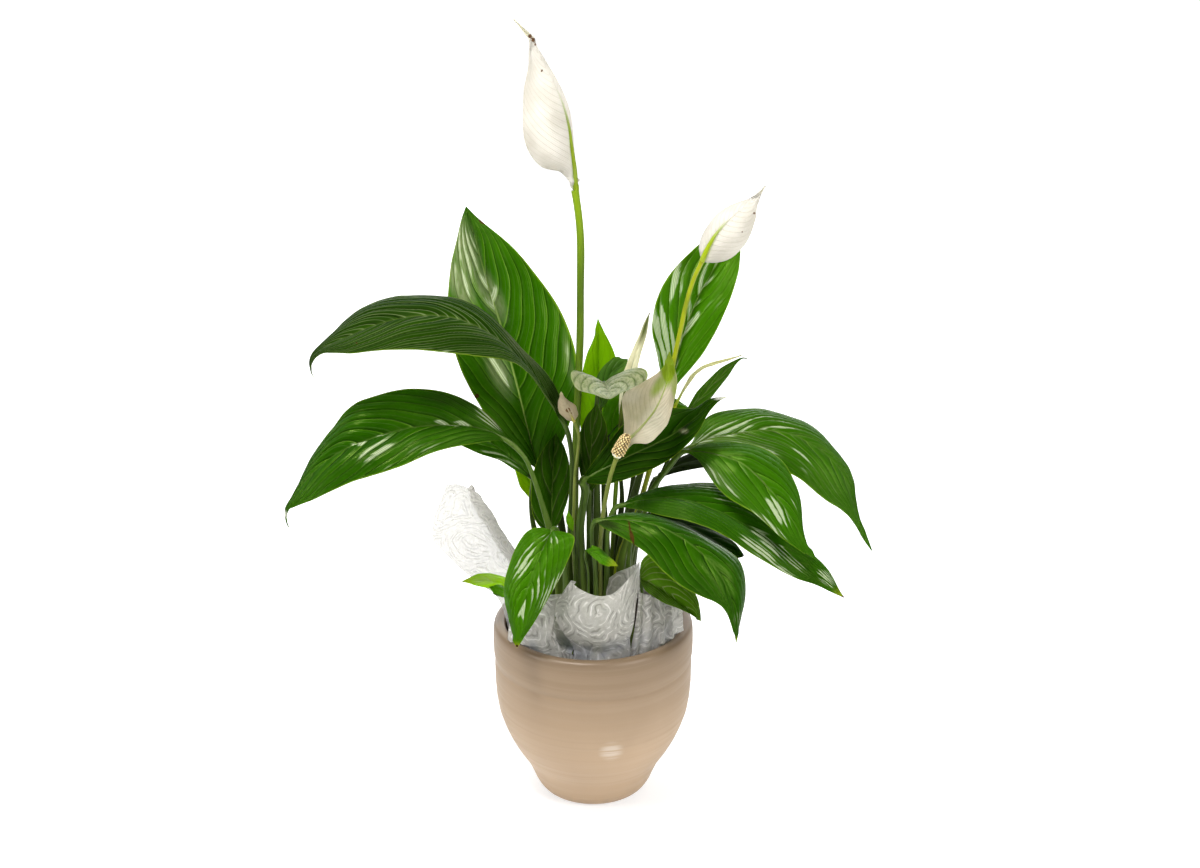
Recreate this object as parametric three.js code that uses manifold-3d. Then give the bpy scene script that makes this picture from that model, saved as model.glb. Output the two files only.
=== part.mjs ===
// Potted peace lily in a glazed cover pot, with its plastic nursery pot, soil
// and non-woven gift wrap. Millimetres, +Z up, origin at the centre of the
// cover pot's foot, front of the plant towards -Y.
import * as THREE from 'three';
import Module from 'manifold-3d';

const wasm = await Module();
wasm.setup();

// ---- driving dimensions (mm) -------------------------------------------
const POT_HEIGHT = 156;        // cover pot, foot to lip
const POT_RIM_R = 82.8;        // outer radius at the lip
const POT_FOOT_R = 37;         // radius of the flat foot
const POT_WALL = 5.4;          // wall of the cover pot
const POT_FLOOR = 12;          // inside floor of the cover pot
const NURSERY_TOP = 150;       // lip of the plastic pot
const NURSERY_R0 = 43.5;       // plastic pot radius at its base
const NURSERY_R1 = 59.5;       // and just under its lip
const NURSERY_WALL = 1.6;
const SOIL_TOP = 140;          // potting soil level
const WRAP_THICK = 0.9;        // gift wrap, thickened for a closed body
const BLADE_THICK = 1.2;       // leaf blade
const SPATHE_THICK = 1.1;      // flower bract
const ROOT_DEPTH = 8;          // stalks reach this far below the soil level
const HOLE_GAP = 0.6;          // room left round each stalk in the soil

// Every stalk is a run of points from the soil up to the blade; a blade is
// three lines from its foot to its tip: the midrib and the two margins.
const LEAVES = {
  leaf_01: { stalk: [[-24,18,132],[-22.8,14,197.2],[-30.9,16,223.7],[-37.4,20,253.5],[-43.9,24,276.9]],
    rib: [[-43.9,24,276.9],[-47.5,26.8,287.4],[-51.7,30.7,302.3],[-56.6,36,321.5],[-62,42.9,342.5],[-68.4,51.6,365.1],[-74.8,60,387.8],[-82.4,68.1,410.2],[-89.6,75.8,432.8],[-95.4,82.4,453.7],[-100.1,87.5,470.3],[-104.4,92,484.9]],
    left: [[-45.5,23.7,276.4],[-53.4,23.1,285.4],[-66.3,21.9,297.7],[-80.1,20.7,315.9],[-92.7,22.2,337.2],[-105.2,29.6,359.5],[-114,38.1,383.2],[-118.1,48,407.6],[-117.2,59.8,432],[-113.4,71.3,453.6],[-109.2,82,470.5],[-104.4,92,484.9]],
    right: [[-42.3,24.3,277.3],[-35,25.3,286.7],[-25.3,27.2,302.4],[-17.2,30.7,324.4],[-13.1,37.7,349],[-14.9,47,375.6],[-24.3,55.4,401],[-38.9,62.2,424.3],[-56.2,68.7,445.8],[-74.6,76.7,462.4],[-91.1,84.7,473.7],[-104.4,92,484.9]],
    camber: 0.14, r0: 2.3, r1: 1.7 },
  leaf_02: { stalk: [[-17,-2,132],[-17.4,-2,209.1],[-18,-2,244.9],[-17,-3,280.5],[-17.6,-4,306.8],[-20.6,-6,324.6]],
    rib: [[-20.6,-6,324.6],[-26.1,-8,338.5],[-35.8,-10.8,356.5],[-49.8,-14.4,378.1],[-68,-17.8,398.9],[-91.6,-20.4,416.2],[-118.9,-22.7,423.9],[-147.2,-25.8,422.5],[-174.6,-30,415.4],[-198.4,-34,405.5],[-214.5,-37.2,394.9],[-213.4,-40,379.9]],
    left: [[-21.3,-7.5,324.2],[-26.4,-10.6,338],[-35.5,-17.6,356],[-48,-27.2,377.9],[-67.5,-35.8,392.8],[-93.2,-42.6,398.6],[-118.9,-48.1,402.8],[-144.8,-50.2,404.6],[-171,-50.7,403.3],[-195.6,-45.9,401.4],[-212.2,-41.2,394.8],[-213.4,-40,379.9]],
    right: [[-20,-4.5,325.1],[-23.1,-6.2,341.9],[-30.3,-5.2,361.9],[-46.7,-1,382.2],[-67.4,5.3,402.5],[-91.1,9.1,423.8],[-121.7,9.4,431.5],[-153.5,5.2,431.4],[-182.5,-5.7,423.3],[-202.5,-21.3,408.4],[-216.4,-33.5,395.3],[-213.4,-40,379.9]],
    camber: 0.12, r0: 2.3, r1: 1.7 },
  leaf_03: { stalk: [[-27,-12,132],[-28.5,-18,216.4],[-36.2,-20,249.1],[-41.6,-19,268.7],[-47.8,-18,289.9],[-54,-17,304.9],[-63.4,-16,315.6],[-68.9,-16,319.8]],
    rib: [[-68.9,-16,319.8],[-77.8,-17.7,326.4],[-91.9,-20,331.8],[-110.9,-23.1,334.9],[-132,-27.3,335.5],[-154.6,-33.6,333.4],[-176.4,-40.6,328.5],[-197,-47.7,321.1],[-214.9,-55.1,308.6],[-228.3,-61.9,293.9],[-236.3,-67.3,280.5],[-234.2,-72,268.1]],
    left: [[-69.5,-17.1,318.7],[-78.5,-21.7,321.2],[-91.8,-29.5,322.2],[-108.6,-38.2,321.7],[-126.9,-45.5,318.7],[-146.1,-53.9,313.1],[-165.8,-61,308.8],[-185.8,-65.1,303.2],[-205,-68.5,294.7],[-223.2,-69.1,287],[-234.7,-69.1,280.9],[-234.2,-72,268.1]],
    right: [[-68.3,-14.9,320.9],[-75.2,-14.7,332.4],[-87.9,-12.9,344.5],[-107.7,-11.4,355.4],[-132,-12.4,361.2],[-159.1,-15.8,360.5],[-184.8,-21.9,353.5],[-202.9,-31.5,336.2],[-218.4,-42.1,316.3],[-228.9,-54.7,297.3],[-238.1,-65.2,280.1],[-234.2,-72,268.1]],
    camber: 0.13, r0: 2.3, r1: 1.7 },
  leaf_04: { stalk: [[-36,4,132],[-37.3,0,206.3],[-48.5,2,236.1],[-50.8,5,259.7],[-48.9,6,277.8]],
    rib: [[-48.9,6,277.8],[-52.5,6.5,281.5],[-57.5,7.2,286.6],[-64,8.1,293],[-71.4,9.1,299.8],[-80.6,10.2,306.1],[-90.3,11.3,311.2],[-100.4,12.4,315.5],[-111.2,13.5,317.7],[-121.3,14.5,318.7],[-129.4,15.3,319.4],[-136.4,16,320.1]],
    left: [[-49.9,4.8,277.1],[-53.2,4.8,280],[-59.1,3.2,284.2],[-66.4,1.1,289.9],[-74.5,-0.3,296.1],[-84.5,0.2,299.7],[-94.7,1.3,303.1],[-104.5,2.5,307.3],[-114.1,5.3,311.5],[-123,9.5,314.9],[-130.2,13,317.7],[-136.4,16,320.1]],
    right: [[-48,7.2,278.5],[-51,8.5,284.9],[-54.1,12,291],[-60,16.5,297.6],[-68.1,20.5,304],[-78.5,22.8,309.6],[-89.1,24.5,315.2],[-99.6,25.9,320.8],[-111.2,24.9,323],[-121.6,21.5,324.2],[-129.5,18.6,322.2],[-136.4,16,320.1]],
    camber: 0.14, r0: 2.3, r1: 1.7 },
  leaf_05: { stalk: [[-30,30,132],[-28.2,29,194.9],[-34.8,33,216.2],[-39.7,36,237.8]],
    rib: [[-39.7,36,237.8],[-41,36.8,239.9],[-42.7,37.9,242.8],[-45,39.4,246.6],[-47.5,41,250.7],[-50.4,42.7,255.2],[-53.5,44.5,259.5],[-56.6,46.2,263.9],[-60,48,267.9],[-63.4,49.6,271.5],[-66.1,50.9,274.3],[-68.5,52,276.7]],
    left: [[-40.9,35.7,237.2],[-41.9,36,237.8],[-44.8,36,240.4],[-48.5,36,243.8],[-52.6,36,247.5],[-56.5,36.1,252.3],[-60.2,37.3,256.7],[-62.7,40.5,261.2],[-64.5,44,265.9],[-66.1,47.2,270.2],[-67.4,50.3,273.2],[-68.5,52,276.7]],
    right: [[-38.6,36.3,238.4],[-39.1,37,242.2],[-39.3,38.4,245.9],[-39.7,40.2,250.5],[-41.4,42.2,255.3],[-44.2,44.4,260.3],[-47,46.3,265.4],[-51.1,47.7,269.8],[-55.4,49,273.9],[-60.1,50.2,276.1],[-64.1,51.7,275.8],[-68.5,52,276.7]],
    camber: 0.14, r0: 1.8, r1: 1.3 },
  leaf_06: { stalk: [[-22,-22,132],[-25.4,-14,203.8],[-30.3,-10,219.9],[-33.5,-6,234.2]],
    rib: [[-33.5,-6,234.2],[-33.5,-4.8,238.2],[-33.5,-3.1,243.7],[-33.5,-1,250.9],[-33.5,1.4,258.8],[-33.3,4.1,267.6],[-32.9,6.5,276.4],[-32.5,8.5,285.3],[-31.8,10.5,294.2],[-31.1,12.3,302.3],[-30.5,13.7,308.8],[-30.1,15,314.4]],
    left: [[-35,-6,234.2],[-37.9,-5.7,236.2],[-43.2,-5.3,240.1],[-47.9,-4.7,247.5],[-50.1,-4.1,257.1],[-50.5,-3.4,268.2],[-49.7,-1.6,278.7],[-47.4,2,288.2],[-43.8,6,297.2],[-39,9.6,304.6],[-34.5,12.5,310.1],[-30.1,15,314.4]],
    right: [[-32,-6,234.2],[-30.6,-5.3,238.1],[-27.7,-4.3,243.6],[-24.4,-3.1,250.9],[-21.4,-1.7,259.3],[-19.4,-0.1,268.8],[-18.1,2,278.2],[-18.8,4.9,287.4],[-20.4,8,296.3],[-23.2,10.8,304.1],[-26.7,13,309.7],[-30.1,15,314.4]],
    camber: 0.14, r0: 2.0, r1: 1.5 },
  leaf_07: { stalk: [[-20,-33,132],[-23.4,-27,224],[-26.4,-29,240.8],[-29.4,-34,251.7],[-32.4,-40,252.5]],
    rib: [[-32.4,-40,252.5],[-34.5,-43.7,249.3],[-37.4,-48.8,244.8],[-40.9,-55.4,239],[-44.6,-62.1,232.2],[-48.2,-68.4,224.1],[-51.7,-74.1,215.7],[-55.1,-78.7,206.7],[-57.7,-81.7,196.7],[-59.1,-84.2,187.3],[-59.2,-86.2,179.6],[-59.2,-88,172.9]],
    left: [[-30.9,-40.6,252.2],[-25.6,-44.2,253.3],[-17.5,-49.9,253.6],[-14.5,-56.1,248.3],[-18.4,-59.7,237.6],[-23.8,-61.7,225.4],[-30.1,-65.1,214.3],[-36.5,-70.6,204.3],[-42.9,-75.2,193.9],[-49.3,-79.8,185.1],[-54.8,-84.2,178.7],[-59.2,-88,172.9]],
    right: [[-33.9,-39.4,252.8],[-38.1,-41.3,254.7],[-46.2,-43,255.7],[-54.7,-45.5,250.9],[-61,-49.3,241.6],[-65.7,-53.7,230.2],[-69.1,-59.4,219],[-69.8,-66.4,208],[-67.6,-72.5,196.7],[-64.8,-78.3,186.8],[-62.2,-83.5,179.2],[-59.2,-88,172.9]],
    camber: 0.16, r0: 2.0, r1: 1.6 },
  leaf_08: { stalk: [[-40,-10,132],[-39.8,-11,176.9],[-48.7,-13,184.3],[-60.1,-14,187.5]],
    rib: [[-60.1,-14,187.5],[-62.4,-14,188.5],[-65.6,-14,189.9],[-69.7,-14,191.7],[-74.3,-14,193.4],[-79.6,-14,194.5],[-85,-14,195.6],[-90.3,-14,196.1],[-95.8,-14,196.4],[-100.7,-14,196.1],[-104.6,-14,195.7],[-108.1,-14,195.3]],
    left: [[-60.5,-14.7,186.7],[-62.6,-14.9,185.5],[-65.9,-16.2,186.5],[-70.2,-17.8,187.9],[-74.8,-19.6,189.9],[-80,-21.5,191.8],[-85.2,-22.1,193],[-90.6,-20.5,193.3],[-96,-18.5,193.5],[-100.5,-16.9,194.4],[-104.5,-15.3,194.9],[-108.1,-14,195.3]],
    right: [[-59.8,-13.3,188.3],[-62.2,-13,190.7],[-65.1,-11.6,192.6],[-69,-9.8,195],[-73.8,-7.8,196.5],[-79.5,-5.7,197.4],[-85.2,-5,198.7],[-90.8,-6.8,199.4],[-96.4,-9,199.3],[-100.8,-11.1,197.9],[-104.7,-12.6,196.5],[-108.1,-14,195.3]],
    camber: 0.14, r0: 1.5, r1: 1.1 },
  leaf_09: { stalk: [[-2,24,132],[1.5,29,213.4],[-1,39,254.8],[-2.7,46,283.5]],
    rib: [[-2.7,46,283.5],[-2.2,47.4,289.1],[-1.5,49.4,297],[-0.6,51.9,307],[0.6,54.7,318.2],[2,57.7,330.4],[3.3,60.5,342.7],[4.4,62.8,355.1],[4.9,65,367.6],[4.5,67,378.8],[4.1,68.6,387.8],[4,70,395.7]],
    left: [[-4.2,46,283.7],[-4.9,46.4,289.3],[-7.9,47,297.3],[-10.6,47.7,308],[-12.6,48.5,320],[-12.3,49.4,333.3],[-10.4,51.5,346.1],[-7.8,55.6,358],[-4.4,60,369.7],[0.2,64,379.6],[1.9,68.5,387.8],[4,70,395.7]],
    right: [[-1.2,46,283.4],[1,46.6,289.1],[5,47.4,297],[9.8,48.5,307.1],[14.3,49.7,318.7],[18.5,51.1,331.7],[20.5,53.3,344.8],[19.8,57,357.6],[17.1,61,369.9],[11.9,64.6,380.3],[7.5,68.8,387.9],[4,70,395.7]],
    camber: 0.14, r0: 2.0, r1: 1.5 },
  leaf_10: { stalk: [[0,5,132],[4,7,195.8],[3.2,13,238.5],[3.2,20,297.8],[3.3,20,341.1],[5.7,17,354],[8.9,12,358.7]],
    rib: [[8.9,12,358.7],[9.3,8.2,359.3],[9.9,2.9,360.3],[10.6,-4,361.4],[11.1,-11.6,362.6],[11.7,-19.9,363.9],[12.2,-27.9,365],[12.6,-35.5,366.1],[13.1,-43,367.1],[13.3,-49.8,368],[13.3,-55.2,368.7],[13.3,-60,369.3]],
    left: [[10.5,12.2,359],[12.1,8,362.5],[16.5,2.4,367.6],[22.9,-4.8,372.9],[30.2,-12.8,377.6],[38.3,-21.6,380.9],[42.7,-29.7,378.2],[38,-37,373.8],[30.5,-44,372.2],[23.4,-50.4,371.4],[18,-55.5,370.2],[13.3,-60,369.3]],
    right: [[7.3,11.8,358.4],[5.1,8,361.1],[0.3,2.4,364.6],[-5.6,-4.8,369.5],[-11.6,-12.8,375.6],[-17.1,-21.6,377],[-15.3,-29.7,372.2],[-10.4,-37,368.8],[-3.2,-44,368.6],[3.4,-50.4,368.5],[8.6,-55.5,368.4],[13.3,-60,369.3]],
    camber: 0.1, r0: 2.3, r1: 1.6 },
  leaf_11: { stalk: [[5,12,132],[10.7,13,202.2],[9,18,254.3],[7.3,25,304.7],[5.7,26,330.4]],
    rib: [[5.7,26,330.4],[6.2,26.4,332.8],[6.9,27,336.2],[7.7,27.7,340.6],[8.7,28.5,345.5],[10.5,29.4,350.5],[12.6,30.4,355.5],[14.9,31.7,360.2],[18.9,33,363.5],[22.7,34.2,366.5],[25.8,35.2,368.8],[28.5,36,370.8]],
    left: [[4.5,26.7,330.5],[4.9,26.8,333.3],[3.7,27.9,337.3],[2.3,29.4,342.5],[1.9,31,348.3],[2.4,32.7,354.8],[5.2,34,360.7],[9.3,34.6,366.2],[14.4,35,370.6],[19.5,35.4,373],[23.6,36.6,371.1],[28.5,36,370.8]],
    right: [[6.9,25.3,330.3],[8,25.2,332.7],[10.1,24.1,335.8],[12.7,22.6,339.9],[15.5,21,344.5],[18.3,19.4,349.7],[20.9,19.6,354.4],[23.5,23,358],[25.9,27,361.6],[27.6,30.6,365.1],[27.6,34,366.8],[28.5,36,370.8]],
    camber: 0.14, r0: 1.9, r1: 1.4 },
  leaf_12: { stalk: [[16,12,132],[23.2,12,202.7],[29.7,12,243.4],[37.3,13,274.1],[44.9,15,299.7],[54.4,18,324.6],[60.7,20,343.6]],
    rib: [[60.7,20,343.6],[62.8,22.2,350.7],[65.5,25.3,360.6],[68.6,29.2,373.5],[72,33.6,387.8],[77.3,38.5,402.9],[83.6,43.8,417.7],[91.4,49.8,431.5],[100.5,56,444.6],[108.4,61.6,456.7],[113.6,66.1,467.1],[117.5,70,476.4]],
    left: [[58.9,19.7,344.3],[57.3,19.5,352.3],[54.1,18.9,364.9],[50.8,18.1,381.2],[47.6,18.4,398.7],[48.9,21.7,417.2],[55.2,26.4,434.2],[65.8,34,448.2],[79.5,44.8,459.3],[93.4,54.8,467.9],[105.7,62.9,473.2],[117.5,70,476.4]],
    right: [[62.6,20.3,343],[65.7,20.9,350.4],[72.3,22.1,359.1],[81.5,23.7,369.8],[90.8,26.1,382.2],[99.3,30.5,396.5],[106.5,35.9,411.2],[112.9,42.8,425.9],[117.7,51,440.9],[119.3,58.6,455],[118.9,64.7,466.4],[117.5,70,476.4]],
    camber: 0.14, r0: 2.3, r1: 2.0 },
  leaf_13: { stalk: [[24,4,132],[35.4,5,228.5],[50.7,8,268.2],[62.6,10,297.2],[72.8,12,328.9]],
    rib: [[72.8,12,328.9],[75.1,12,331.7],[78.5,12,335.8],[82.7,12,340.9],[87.4,12,346.7],[92.7,12,352.9],[98,12.2,359],[103.3,12.6,364.9],[108.7,13,370.8],[114,13.4,375.7],[118.8,13.7,378.4],[123.6,14,377.9]],
    left: [[71.7,12,329.8],[74,13,332.9],[76.4,12,337.5],[79.4,12,343.6],[83.1,12,350.3],[88.3,12,356.6],[93.9,12.2,362.6],[99.6,12.6,368.4],[106.2,13,373.3],[113.1,13.4,376.8],[118.6,13.7,379.1],[123.6,14,377.9]],
    right: [[73.8,12,328],[76.5,13,329.9],[81.2,12,333.5],[86.8,12,337.6],[92.5,12,342.5],[97.5,12,348.8],[102.2,12.2,355.3],[106.9,12.6,361.6],[111.2,13,368.3],[115,13.4,374.3],[119,13.7,377.7],[123.6,14,377.9]],
    camber: 0.06, r0: 1.9, r1: 1.4 },
  leaf_14: { stalk: [[-6.5,-7.5,132],[-9.9,-9,212.3],[-10.6,-9,241.7],[-8.1,-10,261.5],[-6.4,-12,277.2],[-9.5,-14,284]],
    rib: [[-9.5,-14,284],[-3.5,-14.4,287.6],[4.9,-15,292.6],[15.8,-15.7,298.9],[27.8,-16.5,305.7],[41.3,-17.4,312.5],[54.5,-18.4,319.7],[67,-19.7,328.2],[78.2,-21,338.4],[87.7,-22.2,348.5],[95.9,-23.2,355.5],[104.5,-24,358.5]],
    left: [[-10.8,-12.2,286.3],[-5.6,-11.9,290.7],[0.3,-9,298.6],[8.4,-5.2,308.3],[17.4,-1,319.1],[28.1,1.5,330.8],[41.8,-0.2,339.8],[57.2,-3.1,343.1],[72.9,-8.8,343.9],[85.3,-16.4,350.3],[95.3,-20.9,356.8],[104.5,-24,358.5]],
    right: [[-8.3,-15.8,281.7],[-2.6,-16.7,283],[7.4,-20.4,283.6],[20.1,-25.1,287.9],[33.5,-30.4,294.8],[47.7,-34.3,303.1],[61.3,-34.7,311.2],[73.3,-34.3,321.4],[83,-31.7,333.1],[89.4,-27.4,344.8],[96.5,-25.7,354],[104.5,-24,358.5]],
    camber: 0.15, r0: 3.8, r1: 3.2 },
  leaf_15: { stalk: [[29,-8,132],[28.7,-8,213.6],[39.1,-7,247.1],[50.2,-4,275.7],[61.5,0,289.8],[70.4,3,300.7],[78.5,6,305.7]],
    rib: [[78.5,6,305.7],[87.8,6.2,310.1],[101.4,6.6,314.1],[119.5,7,317.3],[139.8,7.4,319.2],[161.7,6.2,315.7],[181.3,1.9,306],[197.6,-3.2,291.8],[207.7,-8.3,272.3],[213.7,-13,252.9],[219.9,-16.7,237.9],[226.6,-20,225.3]],
    left: [[77.9,6.9,306.9],[83.3,10.8,315.4],[92.4,17.4,326.9],[112.4,25.8,330.1],[136.6,32.4,329.8],[161.8,31.2,323],[184.8,24.9,313.6],[201.6,15.5,296.2],[212.3,2.9,276.7],[215,-8,256],[221.8,-14.7,238.2],[226.6,-20,225.3]],
    right: [[79.2,5.1,304.4],[87.2,3.9,303.7],[99.1,1,301.9],[114.2,-2.7,298.4],[131,-5.9,294.3],[149.8,-8.6,290.8],[167,-13.5,285],[181.9,-16.9,272.8],[198.4,-17.1,261.2],[211.2,-17.5,247.8],[217.5,-19.4,237.4],[226.6,-20,225.3]],
    camber: 0.14, r0: 2.3, r1: 1.7 },
  leaf_16: { stalk: [[22,-18,132],[23.6,-17,215.9],[33.2,-15,247],[46,-12,273.7],[57.1,-10,290.2],[66.6,-9,302.7],[73,-8,307.5]],
    rib: [[73,-8,307.5],[80.1,-11,308.6],[90,-15.2,309.1],[102.4,-20.6,308.1],[115.7,-26.7,305.2],[127.6,-34.1,297.8],[138.1,-42.8,289],[147.6,-52,279.7],[155.6,-61.2,269.3],[162,-69.5,259.4],[167.6,-76.2,251.9],[172.9,-82,245.7]],
    left: [[73.3,-6.7,308.6],[80.8,-7.7,310.9],[92.2,-7.2,313.9],[107.5,-6.7,315.1],[124.4,-8.2,314.3],[141.2,-15.7,310.3],[153.8,-26,300.9],[160.9,-38.2,287.8],[163.7,-52.4,274.3],[164.2,-65,261.8],[169.3,-75.5,252.6],[172.9,-82,245.7]],
    right: [[72.6,-9.3,306.4],[79.2,-13,305.9],[85.6,-20,301.8],[92,-29,294],[100,-38,285.8],[111.4,-46.1,279.2],[123.9,-54.8,275],[134.7,-62.5,267.8],[145.4,-68.4,259.3],[156.1,-73.6,253],[163.5,-77.9,250.2],[172.9,-82,245.7]],
    camber: 0.14, r0: 2.3, r1: 1.7 },
  leaf_17: { stalk: [[26,21,132],[35.2,25,207.8],[42.1,28,243],[51.5,31,268.8]],
    rib: [[51.5,31,268.8],[55.8,32.7,270.7],[61.8,35.1,273.3],[69.5,38.1,276.7],[78.9,41.5,278.5],[89.7,45.3,279.4],[100.6,48.8,279.4],[111.7,51.9,278.9],[122.8,55,278.2],[133,57.8,276.8],[141.2,60,275.7],[148.3,62,274.7]],
    left: [[50.9,32.3,268.9],[55.2,35.2,271],[60.5,41.1,274.1],[68.3,48.6,276.9],[77.7,57,279.1],[88.9,64.4,280.1],[100.3,67.9,280.5],[112.1,70.1,279.2],[123.5,69.7,278.3],[133.5,66.8,276.9],[141.4,64.2,275.7],[148.3,62,274.7]],
    right: [[52,29.7,268.6],[56,30.5,269.6],[62.4,29.7,271.9],[70.6,28.7,274.7],[79.9,27.6,277.1],[90.1,28.1,279.1],[100.8,31.6,279.2],[111.5,35.7,278.7],[122.5,41.9,277.8],[132.8,49.8,276.6],[141,56.3,275.6],[148.3,62,274.7]],
    camber: 0.14, r0: 1.9, r1: 1.4 },
  leaf_18: { stalk: [[10,-24,132],[11.4,-23,216.9],[12.1,-23,245.2],[15.3,-23,260.9],[20.1,-24,266.5]],
    rib: [[20.1,-24,266.5],[30,-25.8,270.1],[44,-28.2,274.1],[62.1,-31.3,276.3],[81.9,-34.9,273.7],[102.6,-39.1,266.6],[122.2,-44.1,257.3],[141.2,-49.2,246.8],[159.2,-54.3,234.8],[175.2,-59,223.1],[187.7,-62.7,213.6],[198.9,-66,205.5]],
    left: [[20.1,-22.5,267.3],[29.6,-21.8,271.9],[44,-18.6,277.4],[63.7,-14.6,280.6],[86.3,-12.5,281.7],[110.1,-15.9,278.8],[131.3,-21.7,268],[149.8,-30.2,254.3],[166.8,-41.9,240.8],[182.2,-52.5,229.1],[191.5,-59.9,216.8],[198.9,-66,205.5]],
    right: [[20.1,-25.5,265.7],[29.8,-29.4,266.9],[43,-37,266.9],[59.8,-46.7,266.6],[78.2,-55.4,265.2],[97.8,-60.3,258.8],[116.1,-64.4,249.1],[134.2,-66.4,237.4],[153.3,-65.3,225.4],[171.9,-64.6,217.8],[186.2,-65.1,211],[198.9,-66,205.5]],
    camber: 0.14, r0: 2.3, r1: 1.7 },
  leaf_19: { stalk: [[2,-35,132],[1.7,-36,215.8],[-0.7,-40,243.9],[-0.6,-45,258.2],[2.6,-50,265.4]],
    rib: [[2.6,-50,265.4],[10.9,-53.2,267.2],[22.6,-57.8,269.2],[37.4,-63.7,269.8],[53,-70.1,267.5],[69,-76.6,261.4],[83.2,-82.1,251.9],[95.2,-87.2,239.4],[103.9,-92.3,224.6],[108.7,-97,209.5],[110.4,-100.7,196.8],[110.8,-104,185.6]],
    left: [[2.9,-48.6,266.3],[11.7,-49.2,267.8],[24.7,-48.3,270.3],[41.7,-48,269.8],[59.9,-50.1,265.2],[78.9,-52.7,256.8],[97.2,-57.4,248.2],[113.4,-67.2,239.5],[118.8,-77.9,223.8],[117.1,-88.1,208.1],[113.5,-96.5,196.1],[110.8,-104,185.6]],
    right: [[2.2,-51.4,264.6],[7.2,-55.2,262],[16.5,-62.5,259.7],[28.5,-71.1,256.4],[40.8,-78.8,250.4],[51.9,-86,240.4],[64.3,-91.3,230.9],[78.5,-94.9,223.4],[93.6,-98.1,217.8],[103.7,-100.7,208],[107.7,-102.5,196.2],[110.8,-104,185.6]],
    camber: 0.15, r0: 2.3, r1: 1.7 },
  leaf_20: { stalk: [[32,-22,132],[29.9,-24,229.8],[36.2,-25,247.8],[44.1,-26,260.4]],
    rib: [[44.1,-26,260.4],[48.2,-26.6,259.5],[53.9,-27.4,258.3],[61.3,-28.5,256.8],[69.3,-29.7,254.9],[77.6,-31.1,251],[85.8,-32.7,247],[93.9,-34.8,243.1],[102,-37,239.2],[109.3,-39,235.7],[115.3,-40.6,233.1],[120.5,-42,230.9]],
    left: [[44.4,-24.7,260.9],[48.5,-24.6,260.9],[54.8,-22.6,260.4],[62.7,-20.1,259.1],[71.4,-17.4,255.3],[80.8,-15.8,251.4],[89.7,-17.6,247.8],[98.4,-20.6,244.5],[106.5,-25.5,241.3],[113.2,-32,238.6],[117.3,-37.3,235.2],[120.5,-42,230.9]],
    right: [[43.8,-27.3,259.9],[47.9,-28.6,258.4],[53.1,-32.2,256.8],[59.8,-36.9,254.7],[66.9,-42.1,252],[74.8,-46.3,248.3],[82.8,-47.8,243.6],[91.1,-49.1,239],[99.6,-48.5,233.9],[108.1,-46,229.9],[114.8,-43.9,228.4],[120.5,-42,230.9]],
    camber: 0.12, r0: 1.9, r1: 1.4 },
  leaf_21: { stalk: [[36,-33,132],[39.6,-36,198.1],[37.1,-36,208.7]],
    rib: [[37.1,-36,208.7],[39.9,-37.2,207.9],[43.7,-38.9,206.8],[48.6,-41,205.2],[53.9,-43.4,203.2],[59.3,-46.1,200.1],[64.6,-48.9,197],[69.7,-51.9,193.8],[74.6,-55,190.5],[79.2,-57.8,187.6],[82.8,-60,185.3],[86.1,-62,183.3]],
    left: [[37.5,-35.7,209.8],[37.6,-35.2,214.6],[38.6,-34.1,221.3],[43.6,-32.6,227.7],[52.2,-31.1,227.1],[60.9,-31.1,220.5],[68.6,-34.6,214],[75.8,-39.2,207.6],[81.6,-45.1,200.8],[84.8,-51.8,194.1],[86.1,-56.5,187],[86.1,-62,183.3]],
    right: [[36.7,-36.3,207.6],[38.5,-38.2,205.8],[40.4,-41.3,203],[43.7,-45.2,200.3],[48.7,-49.6,198.7],[54.3,-53.8,196.7],[60.4,-56.9,195.2],[66.6,-59.8,194],[72.7,-61.5,191.7],[78.2,-61.8,188.8],[81.6,-61.4,184.6],[86.1,-62,183.3]],
    camber: 0.14, r0: 1.6, r1: 1.2 },
  leaf_22: { stalk: [[-6,-40,132],[-3.9,-42,216.8],[-6.2,-45,231.3],[-5.4,-48,238.8]],
    rib: [[-5.4,-48,238.8],[-4.1,-48.6,238.5],[-2.2,-49.4,238.1],[0.2,-50.5,237.6],[2.7,-51.7,236.7],[5.4,-53,235.6],[8,-54.4,234.4],[10.8,-55.7,233.4],[13.6,-57,232.5],[16.1,-58.2,231.7],[18.1,-59.2,231],[19.9,-60,230.4]],
    left: [[-5.1,-47.7,239.6],[-4.1,-48.1,240],[-1,-48.5,241.6],[0.1,-48.4,242.9],[3.2,-48.6,241.8],[6.4,-48.9,240.2],[9.2,-49.9,238],[11.9,-52.1,236.4],[14.5,-54.5,234.7],[17.2,-56.9,233.1],[18.6,-58.5,231.7],[19.9,-60,230.4]],
    right: [[-5.7,-48.3,238],[-4.3,-49.1,237.3],[-2.8,-50,236.3],[-0.7,-52.6,235.5],[1.5,-54.8,234.4],[4,-57.2,233.2],[6.5,-58.9,231.8],[9.5,-59.3,230.7],[12.6,-59.5,229.7],[14.8,-59.7,230.1],[17.5,-59.9,230.2],[19.9,-60,230.4]],
    camber: 0.14, r0: 1.3, r1: 0.9 },
  leaf_23: { stalk: [[-13,-22,132],[-15.4,-22,227.1],[-16.8,-24,243.8]],
    rib: [[-16.8,-24,243.8],[-17,-24.1,244.8],[-17.2,-24.2,246.1],[-17.5,-24.4,247.9],[-17.8,-24.6,249.8],[-18.2,-24.8,251.9],[-18.5,-25.1,254],[-18.8,-25.3,256.1],[-19.2,-25.5,258.2],[-19.5,-25.7,260.1],[-19.7,-25.9,261.7],[-19.9,-26,263]],
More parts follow.
